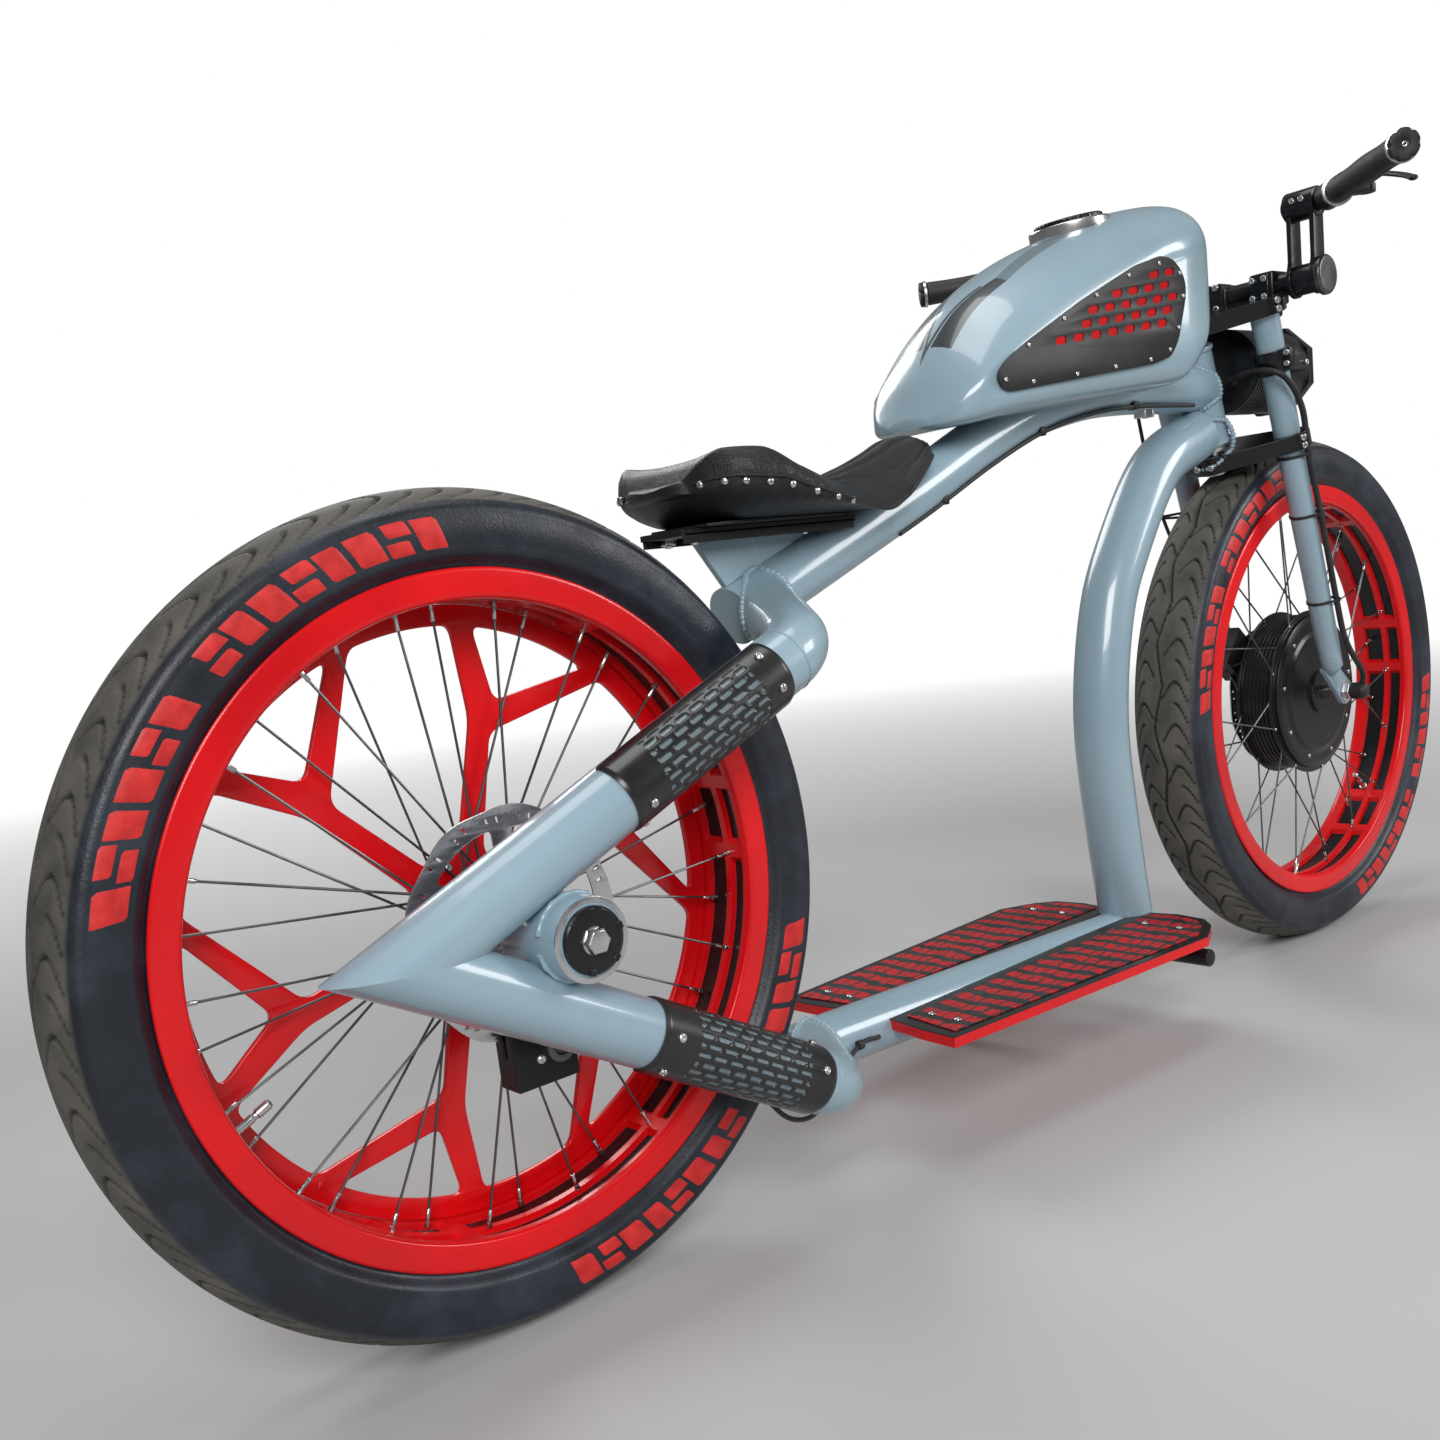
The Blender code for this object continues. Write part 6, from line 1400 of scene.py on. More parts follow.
# %% Filler cap
CAP_X = TANK_REAR_X + 0.668 * TANK_LENGTH
CAP_AT = np.array([CAP_X, 0.0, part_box("tank_cap")[1][2] - 0.0145])
cap_profile = softened([(-0.002, 0.0), (-0.002, 0.0400), (0.0125, 0.0400), (0.0140, 0.0380), (0.0140, 0.0300),
                        (0.0128, 0.0290), (0.0128, 0.0)], 0.0009, 3)
CAP_TILT = 0.5 * math.atan2(float(tank_crest(CAP_X + 0.03) - tank_crest(CAP_X - 0.03)), 0.06)
CAP_UP = np.array([-math.sin(CAP_TILT), 0.0, math.cos(CAP_TILT)])
grid = turned(cap_profile, CAP_AT, CAP_UP, 240)[0]
turn = np.arange(240) * 2 * math.pi / 240
rim_share = np.clip((cap_profile[:, 1] - 0.0375) / 0.002, 0, 1)
rim_share = rim_share * (cap_profile[:, 0] > 0.0035) * (cap_profile[:, 0] < 0.0128)
push = 1 + 0.008 * np.cos(40 * turn)[:, None] * rim_share[None, :]
grid = CAP_AT + (grid - CAP_AT) * np.stack([push, push, np.ones_like(push)], axis=-1)
cap = skins("knurled_cap", [(grid, True, False)], "root", BLACK, 40.0)
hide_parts("tank_cap")
collar = softened([(-0.0060, 0.0408), (-0.0060, 0.0475), (0.0052, 0.0475), (0.0068, 0.0460),
                   (0.0068, 0.0408)], 0.0012, 3)
skins("cap_collar", [turned(looped(collar), CAP_AT + CAP_UP * 0.002, CAP_UP, 96)], "root", STEEL)
print("cap at", CAP_AT)

# %% [markdown]
# The saddle is stuffed black leather on a steel pan. Its plan is a round back that narrows to a waist and a
# short nose, its rim is rolled, and sewn channels run lengthwise over it. Cloth under pressure would puff
# the channels, but their pitch is small and even, so they are worked out: the top is lowered along each
# seam, and the rim is a rounded roll. Leather grain, creases and shine come from the finish.

# %% Saddle cushion
SADDLE_REAR_X = BACKBONE_REAR[0] - 0.111
SADDLE_LENGTH = 0.4253 * (HEAD[0] - BACKBONE_REAR[0])
SADDLE_HALF = 0.107
SADDLE_RISE = 0.060
SADDLE_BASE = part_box("saddle_cushion")[0][2]
SADDLE_SHAPE = np.array([(0.000, 0.44, 0.84, 0.82, 0.40), (0.025, 0.64, 0.97, 0.93, 0.28),
                         (0.073, 0.82, 1.07, 0.96, 0.12), (0.157, 0.96, 1.04, 0.78, 0.00),
                         (0.270, 1.00, 0.74, 0.58, 0.00), (0.410, 0.92, 0.46, 0.54, 0.00),
                         (0.551, 0.75, 0.23, 0.57, 0.00), (0.691, 0.58, 0.12, 0.76, 0.00),
                         (0.803, 0.49, 0.32, 0.99, 0.19), (0.888, 0.44, 0.66, 1.19, 0.44),
                         (0.958, 0.39, 0.99, 1.26, 0.72), (1.000, 0.26, 1.11, 1.19, 0.94)])


def saddle_values(share):
    """Half width, rim height, middle height and underside height at a share of the length."""
    half, rim, middle, under = (steady(SADDLE_SHAPE[:, 0], SADDLE_SHAPE[:, k], share) for k in (1, 2, 3, 4))
    return (SADDLE_HALF * half, SADDLE_BASE + SADDLE_RISE * rim, SADDLE_BASE + SADDLE_RISE * middle,
            SADDLE_BASE + SADDLE_RISE * under)


def saddle_grid(rows=180, top_columns=61, side_columns=16):
    """Sections of the cushion: a bulging side, a rolled rim, and a dished top with sewn channels."""
    t = np.linspace(0, 1, rows)
    share = np.clip(0.5 - 0.5 * np.cos(math.pi * t), 0, 1) * 0.55 + t * 0.45
    half, rim, middle, under = (value[:, None] for value in saddle_values(share))
    x = (SADDLE_REAR_X + share * SADDLE_LENGTH)[:, None]
    u = np.linspace(-1, 1, top_columns)[None, :]
    flat_part = np.clip(np.abs(u) / 0.86, 0, 1)
    dish = flat_part ** 2.4
    top = middle + (rim - middle) * dish
    roll = np.clip((np.abs(u) - 0.80) / 0.20, 0, 1)
    back = 0.012 * np.clip((0.06 - share[:, None]) / 0.06, 0, 1) ** 2
    top = top - 0.011 * roll ** 2.2 * np.clip(half / 0.05, 0.3, 1) - back
    lateral = half * u
    seams = np.abs((lateral / 0.0165 + 0.5) % 1.0 - 0.5) * 0.0165
    fade = np.clip((0.80 - np.abs(u)) * 8, 0, 1) * np.clip((0.98 - share[:, None]) * 12, 0, 1)
    fade = fade * np.clip((share[:, None] - 0.30) * 5, 0, 1)
    top = top - 0.0050 * np.exp(-(seams / 0.0026) ** 2) * fade + 0.0022 * fade
    top = top - 0.0035 * np.exp(-((np.abs(u) - 0.80) / 0.025) ** 2) * np.clip((share[:, None] - 0.06) * 10, 0,
                                                                              1)
    w = np.linspace(0, 1, side_columns + 2)[1:-1][None, :]
    rim_low = rim - 0.011 * np.clip(half / 0.05, 0.3, 1) - back
    side_z = rim_low + (under - rim_low) * w
    belly = 1 + 0.035 * np.sin(math.pi * np.clip(w * 1.6, 0, 1)) - 0.46 * np.clip((w - 0.55) / 0.45, 0,
                                                                                  1) ** 2
    pleat = 1 + 0.006 * np.cos(x * 420) * np.sin(math.pi * w)
    right = np.stack([np.broadcast_to(x, side_z.shape), -half * belly * pleat, side_z], axis=-1)[:, ::-1]
    left = np.stack([np.broadcast_to(x, side_z.shape), half * belly * pleat, side_z], axis=-1)
    crown = np.stack([np.broadcast_to(x, top.shape), np.broadcast_to(lateral, top.shape), top], axis=-1)
    below_u = np.linspace(0.5, -0.5, 9)[None, :]
    below = np.stack([np.broadcast_to(x, (rows, 9)), half * below_u, np.broadcast_to(under, (rows, 9))],
                     axis=-1)
    ring = np.concatenate([right, crown, left, below], axis=1)
    ends = []
    for k, shift in ((0, -0.0120), (-1, 0.0050)):
        centre = ring[k].mean(axis=0)
        steps = [centre + (ring[k] - centre) * scale + (shift * lift, 0, 0) for scale, lift in
                 ((0.985, 0.17), (0.94, 0.34), (0.87, 0.50), (0.77, 0.64), (0.64, 0.77), (0.5, 0.87),
                  (0.34, 0.94),
                  (0.17, 0.985), (0.0, 1.0))]
        ends.append(np.array(steps[::-1] if k == 0 else steps))
    return np.concatenate([ends[0], ring, ends[1]]), False, True


def leather_material():
    """Black leather: pores from cells, creases from stretched noise, and a soft shine from a thin clear coat.
    """
    made = finish("saddle_leather_finish", (0.0065, 0.0065, 0.007), (0.014, 0.014, 0.015), (0.34, 0.50), 0.0,
                  (0.055, 0.052, 0.050), 0.35, edge=0.002, cloud=16.0, speck=900.0, bump=0.2, coat=0.05)
    tree = made.node_tree
    shader = tree.nodes["Principled BSDF"]
    shader.inputs["Specular IOR Level"].default_value = 0.35
    where = object_place(tree)
    cells = tree.nodes.new("ShaderNodeTexVoronoi")
    cells.feature = "DISTANCE_TO_EDGE"
    cells.inputs["Scale"].default_value = 480.0
    warp = tree.nodes.new("ShaderNodeVectorMath")
    warp.operation = "ADD"
    tree.links.new(where, warp.inputs[0])
    swirl = tree.nodes.new("ShaderNodeTexNoise")
    swirl.inputs["Scale"].default_value = 60.0
    tree.links.new(where, swirl.inputs["Vector"])
    scaled = tree.nodes.new("ShaderNodeVectorMath")
    scaled.operation = "SCALE"
    scaled.inputs["Scale"].default_value = 0.006
    tree.links.new(swirl.outputs["Color"], scaled.inputs[0])
    tree.links.new(scaled.outputs[0], warp.inputs[1])
    tree.links.new(warp.outputs[0], cells.inputs["Vector"])
    pores = spread(tree, cells.outputs["Distance"], 0.0, 0.18)
    crease = spread(tree, noise(tree, where, 70.0, 6.0, 0.7), 0.40, 0.60)
    bump = tree.nodes.new("ShaderNodeBump")
    bump.inputs["Strength"].default_value = 0.45
    bump.inputs["Distance"].default_value = 0.0005
    tree.links.new(mix_value(tree, "ADD", pores, mix_value(tree, "MULTIPLY", crease, 1.2)),
                   bump.inputs["Height"])
    tree.links.new(bump.outputs["Normal"], shader.inputs["Normal"])
    return made


LEATHER = leather_material()
cushion = skins("leather_saddle", [saddle_grid()], "root", LEATHER, 70.0, 1e-5)
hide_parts("saddle_cushion")

# %% [markdown]
# A row of bright dome rivets holds the leather to the pan, a little below the rim, and a folded seam runs
# above them. Both follow the saddle's own outline at a share of the side's height.

# %% Saddle rivets, seam and bracket
def side_point(share, drop, out=0.0, sign=-1):
    """A point on the saddle's side at a share of its length and a share of the way from rim to underside."""
    half, rim, _, under = saddle_values(np.asarray(share, dtype=float))
    rim_low = rim - 0.011 * np.clip(half / 0.05, 0.3, 1)
    belly = 1 + 0.035 * np.sin(math.pi * np.clip(drop * 1.6, 0, 1)) - 0.46 * np.clip((drop - 0.55) / 0.45, 0,
                                                                                     1) ** 2
    return np.stack([SADDLE_REAR_X + share * SADDLE_LENGTH, sign * (half * belly + out),
                     rim_low + (under - rim_low) * drop], axis=-1)


rivet_profile = softened([(-0.001, 0.0), (-0.001, 0.0038), (0.0005, 0.0036), (0.0017, 0.0025), (0.0022, 0.0)],
                         0.0006, 2)
places = []
for sign in (-1, 1):
    for share in (0.012, 0.045, 0.085, 0.140, 0.205, 0.285, 0.375, 0.450):
        here, ahead_point = side_point(share, 0.46, 0.0, sign), side_point(share + 0.01, 0.46, 0.0, sign)
        out = unit(np.cross(unit(ahead_point - here), UP) * (1 if sign < 0 else -1))
        places.append((here + out * 0.0006, out))
skins("saddle_rivets", many(rivet_profile, places, 20), "root", STEEL)
seam_shares = np.linspace(0.005, 0.97, 120)
seams = [swept(side_point(seam_shares, 0.36, 0.0004, sign), 0.0014, 8) for sign in (-1, 1)]
skins("saddle_seams", seams, "root", LEATHER, 80.0)
node_copy("saddle_pan", SATIN, 0.0008)
node_copy("seat_plate", SATIN, 0.0010)
node_copy("seat_gusset", PAINT, 0.0012)
plate_low, plate_high = np.array(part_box("seat_plate"))
flange_h = 0.010
for side, name in ((-1, "right"), (1, "left")):
    y = plate_low[1] if side < 0 else plate_high[1]
    middle = np.array([(plate_low[0] + plate_high[0]) / 2, y - side * 0.0015,
                       plate_low[2] - flange_h / 2 + 0.003])
    skins(name + "_seat_flange", [block(middle, (plate_high[0] - plate_low[0] - 0.004, 0.003, flange_h), None,
                                        0.0009)],
          "root", SATIN)
node_copy("seat_bolt_rear", STEEL, 0.0004)
node_copy("seat_bolt_front", STEEL, 0.0004)
nut = softened([(0.0, 0.0), (0.0, 0.0075), (0.0050, 0.0075), (0.0062, 0.0064), (0.0062, 0.0040),
                (0.0082, 0.0038),
                (0.0086, 0.0)], 0.0004, 2)
washer = rod(-0.0012, 0.0002, 0.0095, 0.0003)
nuts = []
for node in ("seat_bolt_rear", "seat_bolt_front"):
    low, high = np.array(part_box(node))
    for y in ((low[1] + high[1]) / 2, -(low[1] + high[1]) / 2):
        at = np.array([(low[0] + high[0]) / 2, y, plate_low[2]])
        nuts.append(turned(nut, at, -UP, 6))
        nuts.append(turned(washer, at, -UP, 28))
skins("seat_nuts", nuts, "root", STEEL, 30.0)
print("seat done")

# %% [markdown]
# The foot boards are thick plates with red edges and a black gritty pattern on top. The pattern is a
# drawing in Object coordinates: rows of red bars, masked by waves along and across the board. The grit is a
# fine rough bump, and noise breaks the edges of the bars.

# %% Foot boards
def grit_material():
    """Rows of red bars on black grit: waves mask them, and noise breaks their edges."""
    made = finish("grip_sheet_finish", (0.010, 0.010, 0.011), (0.040, 0.040, 0.042), (0.70, 0.90), 0.0,
                  cloud=60.0, speck=900.0, bump=0.9, depth=0.0010)
    tree = made.node_tree
    shader = tree.nodes["Principled BSDF"]
    where = object_place(tree)
    split = tree.nodes.new("ShaderNodeSeparateXYZ")
    tree.links.new(where, split.inputs[0])
    sway = mix_value(tree, "MULTIPLY", noise(tree, where, 34.0, 2.0), 0.020)
    waves = []
    for value, pitch in ((split.outputs["X"], 0.029), (split.outputs["Y"], 0.0150)):
        turn = mix_value(tree, "MULTIPLY", mix_value(tree, "ADD", value, sway), 2 * math.pi / pitch)
        waves.append(mix_value(tree, "SINE", turn, 0.0))
    rows = spread(tree, waves[0], -0.30, -0.16)
    bars = spread(tree, waves[1], -0.90, -0.78)
    worn = spread(tree, noise(tree, where, 210.0, 6.0, 0.7), 0.64, 0.52)
    mask = mix_value(tree, "MULTIPLY", mix_value(tree, "MULTIPLY", rows, bars), worn)
    tree.links.new(mix_colour(tree, mask, base_colour(shader), (0.55, 0.006, 0.010)),
                   shader.inputs["Base Color"])
    return made


GRIT = grit_material()
BOARD = RED.copy()
BOARD.name = "foot_board_finish"
tree = BOARD.node_tree
shader = tree.nodes["Principled BSDF"]
split = tree.nodes.new("ShaderNodeSeparateXYZ")
tree.links.new(object_place(tree), split.inputs[0])
top_face = mix_value(tree, "GREATER_THAN", split.outputs["Z"],
                     float(np.array(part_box("right_foot_board"))[1][2]) - 0.0012)
tree.links.new(mix_colour(tree, top_face, base_colour(shader), (0.016, 0.016, 0.017)),
               shader.inputs["Base Color"])
for name in ("right", "left"):
    node_copy(name + "_foot_board", BOARD, 0.0016)
    node_copy(name + "_grip_sheet", GRIT, 0.0003)
bar_low, bar_high = np.array(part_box("board_cross_bar"))
bar_at = (bar_low + bar_high) / 2
bar_profile = rod(bar_low[1], bar_high[1], 0.0110, 0.0015, 3)
bar = skins("round_cross_bar", [turned(bar_profile, bar_at * (1, 0, 1), LEFT, 40)], "root", BLACK)
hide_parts("board_cross_bar")
board_low, board_high = np.array(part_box("right_foot_board"))
board_top = np.array(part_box("right_grip_sheet"))[1][2]
screws = [(np.array([x, side * y, board_top - 0.0004]), UP) for side in (-1, 1)
          for x, y in ((board_low[0] + 0.040, 0.062), (board_low[0] + 0.040, 0.098),
                       (board_high[0] - 0.060, 0.062),
                       (board_high[0] - 0.060, 0.110))]
skins("board_screws", many(screw_profile, screws, 16), "root", STEEL)
node_copy("battery_box", PACK, 0.0030)
print("boards done")

# %% [markdown]
# The fork legs are straight painted tubes that taper to the axle and end in flat dropouts. They follow the
# steering axis, set ahead of it. A leg is a tube whose radius changes along its path, and its dropout is a
# flat rounded plate with a hole for the axle.

# %% Fork legs
LEG_Y = 0.080
LEG_AHEAD = 0.0511
LEG_TOP_Z = 0.893
LEG_BOTTOM_Z = AXLE_Z + 0.0288
LEG_R, LEG_FOOT_R = 0.018, 0.015


def on_axis(z):
    """The point of the steering axis at a height."""
    return HEAD + STEER_UP * ((z - HEAD[2]) / STEER_UP[2])


def on_leg(z, side):
    """The point of a leg's centre line at a height."""
    base = HEAD + STEER_AHEAD * LEG_AHEAD
    point = base + STEER_UP * ((z - base[2]) / STEER_UP[2])
    return np.array([point[0], side * LEG_Y, point[2]])


for side, name in ((-1, "right"), (1, "left")):
    top, foot = on_leg(LEG_TOP_Z, side), on_leg(LEG_BOTTOM_Z, side)
    t = np.linspace(0, 1, 40)
    radius = LEG_R + (LEG_FOOT_R - LEG_R) * t
    radius = radius * np.sqrt(np.clip(1 - (np.clip(t - 0.975, 0, 1) / 0.0255) ** 2, 0.02, 1))
    path = top + (foot - top) * t[:, None]
    heel = np.array([foot[0], side * 0.072, foot[2] + 0.012])
    axle_at = np.array([FRONT[0], side * 0.072, AXLE_Z])
    way = unit(axle_at - heel)
    rise = np.cross(LEFT, way)
    length = np.linalg.norm(axle_at - heel)
    drawing = np.concatenate([[(-0.010, -0.0150), (-0.010, 0.0150)], [(length * 0.6, 0.0165)],
                              polar(np.full(15, 0.0188), np.radians(np.linspace(80, -80, 15))) + (length, 0),
                              [(length * 0.6, -0.0165)]])
    drop = outline_plate(name + "_dropout", softened(drawing, 0.003, 2, True),
                         [circle(0.0072, 28, (length, 0))],
                         0.0080, placed(heel, way, rise), "steering", PAINT, 0.0012, 2)
    leg = skins(name + "_round_leg", [swept(path, radius, 56, LEFT)], "steering", PAINT, 50.0)
    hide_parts(name + "_fork_leg")
print("legs", top, foot)

# %% [markdown]
# Two slim black clamps hold the legs and the steerer. Each keeps the frame's own shape, a plate whose ends
# wrap the legs, with its edges rounded, and gains bright socket bolts at each leg. The upper one carries the
# block for the crossbar, which is a cast piece with ribs and four bolts.

# %% Fork clamps and stem block
node_copy("lower_fork_clamp", BLACK, 0.0020)
node_copy("upper_fork_clamp", BLACK, 0.0018)
steerer_profile = softened([(-0.0850, 0.0), (-0.0850, 0.0140), (-0.0530, 0.0140), (-0.0520, 0.0222),
                            (-0.0445, 0.0226),
                            (-0.0438, 0.0140), (0.0860, 0.0140), (0.0864, 0.0226), (0.0945, 0.0222),
                            (0.0955, 0.0140),
                            (0.1280, 0.0140), (0.1300, 0.0120), (0.1300, 0.0)], 0.0008, 2)
steerer = skins("steerer_and_races", [turned(steerer_profile, HEAD, STEER_UP, 48)], "steering", STEEL)
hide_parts("steerer")
UPPER_CLAMP_Z, LOWER_CLAMP_Z = 0.876, 0.704
CROSSBAR_X, CROSSBAR_Z = HEAD[0] + 0.038, 0.9135
socket_bolt = softened([(-0.002, 0.0), (-0.002, 0.0046), (0.0032, 0.0046), (0.0040, 0.0038), (0.0040, 0.0024),
                        (0.0016, 0.0022), (0.0016, 0.0)], 0.0004, 2)
bolts = []
for z in (UPPER_CLAMP_Z, LOWER_CLAMP_Z):
    for side in (-1, 1):
        leg_at = on_axis(z) + STEER_AHEAD * LEG_AHEAD + LEFT * side * LEG_Y
        for step in (-0.0052, 0.0052):
            bolts.append((leg_at + LEFT * side * 0.0255 - STEER_AHEAD * 0.011 + STEER_UP * step,
                          unit(LEFT * side - STEER_AHEAD * 0.45)))
        bolts.append((on_axis(z) - STEER_AHEAD * 0.026 + LEFT * side * 0.010, -STEER_AHEAD))
for z_step in (0.0135, -0.0135):
    for side in (-1, 1):
        bolts.append((np.array([CROSSBAR_X - 0.0218, side * 0.017, CROSSBAR_Z + z_step]), BEHIND))
skins("clamp_bolts", many(socket_bolt, bolts, 16), "steering", STEEL)
ribs = [block((CROSSBAR_X, side * 0.0255, CROSSBAR_Z - 0.004), (0.036, 0.004, 0.030), None,
              0.0012) for side in (-1, 1)]
ribs += [block((CROSSBAR_X - 0.002, y, CROSSBAR_Z + 0.0176), (0.030, 0.003, 0.004), None, 0.0009)
         for y in np.linspace(-0.018, 0.018, 6)]
collars = [turned(hoop(-0.011, 0.011, 0.0183, 0.0225, 0.0010),
                  on_axis(z) + STEER_AHEAD * LEG_AHEAD + LEFT * side * LEG_Y, STEER_UP, 40)
           for z in (UPPER_CLAMP_Z, LOWER_CLAMP_Z) for side in (-1, 1)]
skins("stem_ribs", ribs, "steering", BLACK)
blocks, block_bolts = [], []
for side in (-1, 1):
    at = np.array([CROSSBAR_X - 0.002, side * LEG_Y, CROSSBAR_Z - 0.002])
    blocks.append(block(at, (0.042, 0.034, 0.040), None, 0.0030))
    blocks.append(block(at + (-0.010, 0, -0.026), (0.034, 0.030, 0.020), None, 0.0030))
    blocks.append(block(at + (-0.023, 0, 0.0), (0.006, 0.026, 0.034), None, 0.0020))
    block_bolts += [(at + (-0.026, side * y, z), BEHIND) for y in (-0.008, 0.008) for z in (-0.011, 0.011)]
    block_bolts.append((at + (-0.010, side * 0.0150, -0.026), LEFT * side))
skins("crossbar_blocks", blocks, "steering", BLACK, 35.0)
skins("crossbar_block_bolts", many(socket_bolt * 0.9, block_bolts, 16), "steering", STEEL)
print("clamps done")

# %% [markdown]
# The front axle passes through both dropouts, with a domed black cap on the right where the motor's lead
# comes out, and hex nuts with washers.

# %% Front axle
DROP_OUT_Y = 0.0763
axle_parts = [turned(rod(-0.0860, 0.0860, 0.0068, 0.0008), FRONT, LEFT, 32)]
for side in (-1, 1):
    axle_parts.append(turned(rod(side * 0.0353, side * 0.0676, 0.0118, 0.0008), FRONT, LEFT, 36))
    axle_parts.append(turned(softened([(side * DROP_OUT_Y, 0.0), (side * DROP_OUT_Y, 0.0122),
                                       (side * (DROP_OUT_Y + 0.0070), 0.0122),
                                       (side * (DROP_OUT_Y + 0.0085), 0.0105),
                                       (side * (DROP_OUT_Y + 0.0085), 0.0)], 0.0005, 2), FRONT, LEFT, 6))
    axle_parts.append(turned(rod(side * (DROP_OUT_Y - 0.0002), side * (DROP_OUT_Y + 0.0014), 0.0160, 0.0004),
                             FRONT,
                             LEFT, 40))
axle = skins("front_axle_and_nuts", axle_parts, "steering", STEEL, 30.0)
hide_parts("front_axle")
dome = softened([(-DROP_OUT_Y - 0.0080, 0.0), (-DROP_OUT_Y - 0.0080, 0.0120), (-DROP_OUT_Y - 0.0260, 0.0120),
                 (-DROP_OUT_Y - 0.0310, 0.0085), (-DROP_OUT_Y - 0.0320, 0.0)], 0.0040, 4)
skins("axle_dome", [turned(dome, FRONT, LEFT, 32)], "steering", CABLE)
print("axle done")

# %% [markdown]
# The headlight is a black drum with upright cooling fins, a heavy octagonal bezel and a clear glass with a
# smooth reflector behind it. The drum is turned, and its radius is raised wherever a fin runs round it.
# Band clamps on the legs hold it with two cast arms.

# %% Headlight
LIGHT_X = HEAD[0] + 0.073
LIGHT_Z = HEAD[2] + 0.052
BEZEL_R, MOUTH_R = 0.062, 0.047
MOUTH_X = 0.118
light_at = np.array([LIGHT_X, 0.0, LIGHT_Z])
fins = []
for k in range(12):
    fin_at = -0.0245 + k * 0.0068
    fins += [(fin_at + step, radius) for step, radius in ((0, 0.0525), (0.0004, 0.0558), (0.0028, 0.0558),
                                                          (0.0032, 0.0525))]
body_profile = np.concatenate([[(-0.0278, 0.0), (-0.0278, 0.0420), (-0.0262, 0.0500)], fins,
                               [(0.060, 0.0548), (0.098, 0.0556), (0.1035, 0.0556), (0.1035, 0.0)]])
FIN = finish("cooling_fin_finish", (0.006, 0.006, 0.007), (0.014, 0.014, 0.015), (0.25, 0.40), 0.0,
             (0.45, 0.46, 0.48), 1.0, edge=0.0011, cloud=20.0, bump=0.08)
body = skins("finned_headlight", [turned(body_profile, light_at, AHEAD, 96)], "steering", FIN,
             30.0)
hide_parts("headlight_body")
bezel_profile = softened([(MOUTH_X - 0.0155, 0.0470), (MOUTH_X - 0.0140, BEZEL_R - 0.001),
                          (MOUTH_X + 0.0005, BEZEL_R - 0.001),
                          (MOUTH_X + 0.0035, BEZEL_R - 0.006), (MOUTH_X + 0.0030, 0.0515),
                          (MOUTH_X - 0.0020, MOUTH_R),
                          (MOUTH_X - 0.0155, 0.0470)], 0.0016, 3)
skins("octagon_bezel", [turned(bezel_profile, light_at, AHEAD, 8, side=unit((0, math.cos(math.pi / 8),
                                                                             math.sin(math.pi / 8))))],
      "steering",
      BLACK, 30.0)
bowl_r = np.linspace(0.0, MOUTH_R - 0.0005, 26)
bowl = np.stack([MOUTH_X - 0.050 + 0.042 * (bowl_r / MOUTH_R) ** 2, bowl_r], axis=1)
bowl_back = bowl[::-1] - (0.0015, 0.0)
skins("headlight_reflector", [turned(np.concatenate([bowl, bowl_back]), light_at, AHEAD, 72)], "steering",
      STEEL,
      60.0)
bulb = softened([(MOUTH_X - 0.050, 0.0), (MOUTH_X - 0.050, 0.009), (MOUTH_X - 0.036, 0.009),
                 (MOUTH_X - 0.034, 0.0075),
                 (MOUTH_X - 0.026, 0.0075), (MOUTH_X - 0.022, 0.0040), (MOUTH_X - 0.021, 0.0)], 0.0012, 3)
skins("headlight_bulb", [turned(bulb, light_at, AHEAD, 32)], "steering", ALLOY)

GLASS = bpy.data.materials.new("headlight_glass")
GLASS.use_nodes = True
shader = GLASS.node_tree.nodes["Principled BSDF"]
shader.inputs["Base Color"].default_value = (0.93, 0.95, 0.96, 1.0)
shader.inputs["Transmission Weight"].default_value = 1.0
shader.inputs["IOR"].default_value = 1.45
smear = placed_group(GLASS.node_tree, GRAIN, Cloud_Scale=30.0, Speck_Scale=200.0, Bump=0.05, Depth=0.0003)
GLASS.node_tree.links.new(spread(GLASS.node_tree, smear.outputs["Cloud"], 0.4, 0.8, 0.02, 0.10),
                          shader.inputs["Roughness"])
GLASS.node_tree.links.new(smear.outputs["Normal"], shader.inputs["Normal"])
lens_r = np.linspace(0.0, MOUTH_R - 0.0002, 20)
front_face = np.stack([MOUTH_X - 0.0015 - 0.0020 * (lens_r / MOUTH_R) ** 2, lens_r], axis=1)
rear_face = front_face[::-1] - (0.0030, 0.0)
lens = skins("headlight_glass_disc", [turned(np.concatenate([front_face, rear_face]), light_at, AHEAD, 72)],
             "steering", GLASS, 40.0)
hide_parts("headlight_lens")
bands, arms, arm_bolts = [], [], []
for side in (-1, 1):
    leg_at = on_leg(LIGHT_Z, side)
    bands.append(turned(hoop(-0.015, 0.015, 0.0183, 0.0222, 0.0012), leg_at, STEER_UP, 48))
    start = leg_at + (0.016, -side * 0.006, 0.0)
    end = light_at + (0.092, side * 0.054, 0.004)
    way = unit(end - start)
    rise = unit(np.cross(np.cross(way, UP), way))
    arms.append(block((start + end) / 2, (np.linalg.norm(end - start) + 0.012, 0.008, 0.020),
                      np.stack([way, np.cross(rise, way), rise]), 0.0018))
    arms.append(block(leg_at + (-0.002, side * 0.0235, 0.0), (0.014, 0.010, 0.026), None, 0.0015))
    arm_bolts += [(leg_at + (-0.0085, side * 0.0235, step), BEHIND) for step in (-0.007, 0.007)]
    arm_bolts.append((end + LEFT * side * 0.0045, LEFT * side))
skins("headlight_bands", bands + collars, "steering", BLACK, 35.0)
skins("headlight_arms", arms, "steering", BLACK, 35.0)
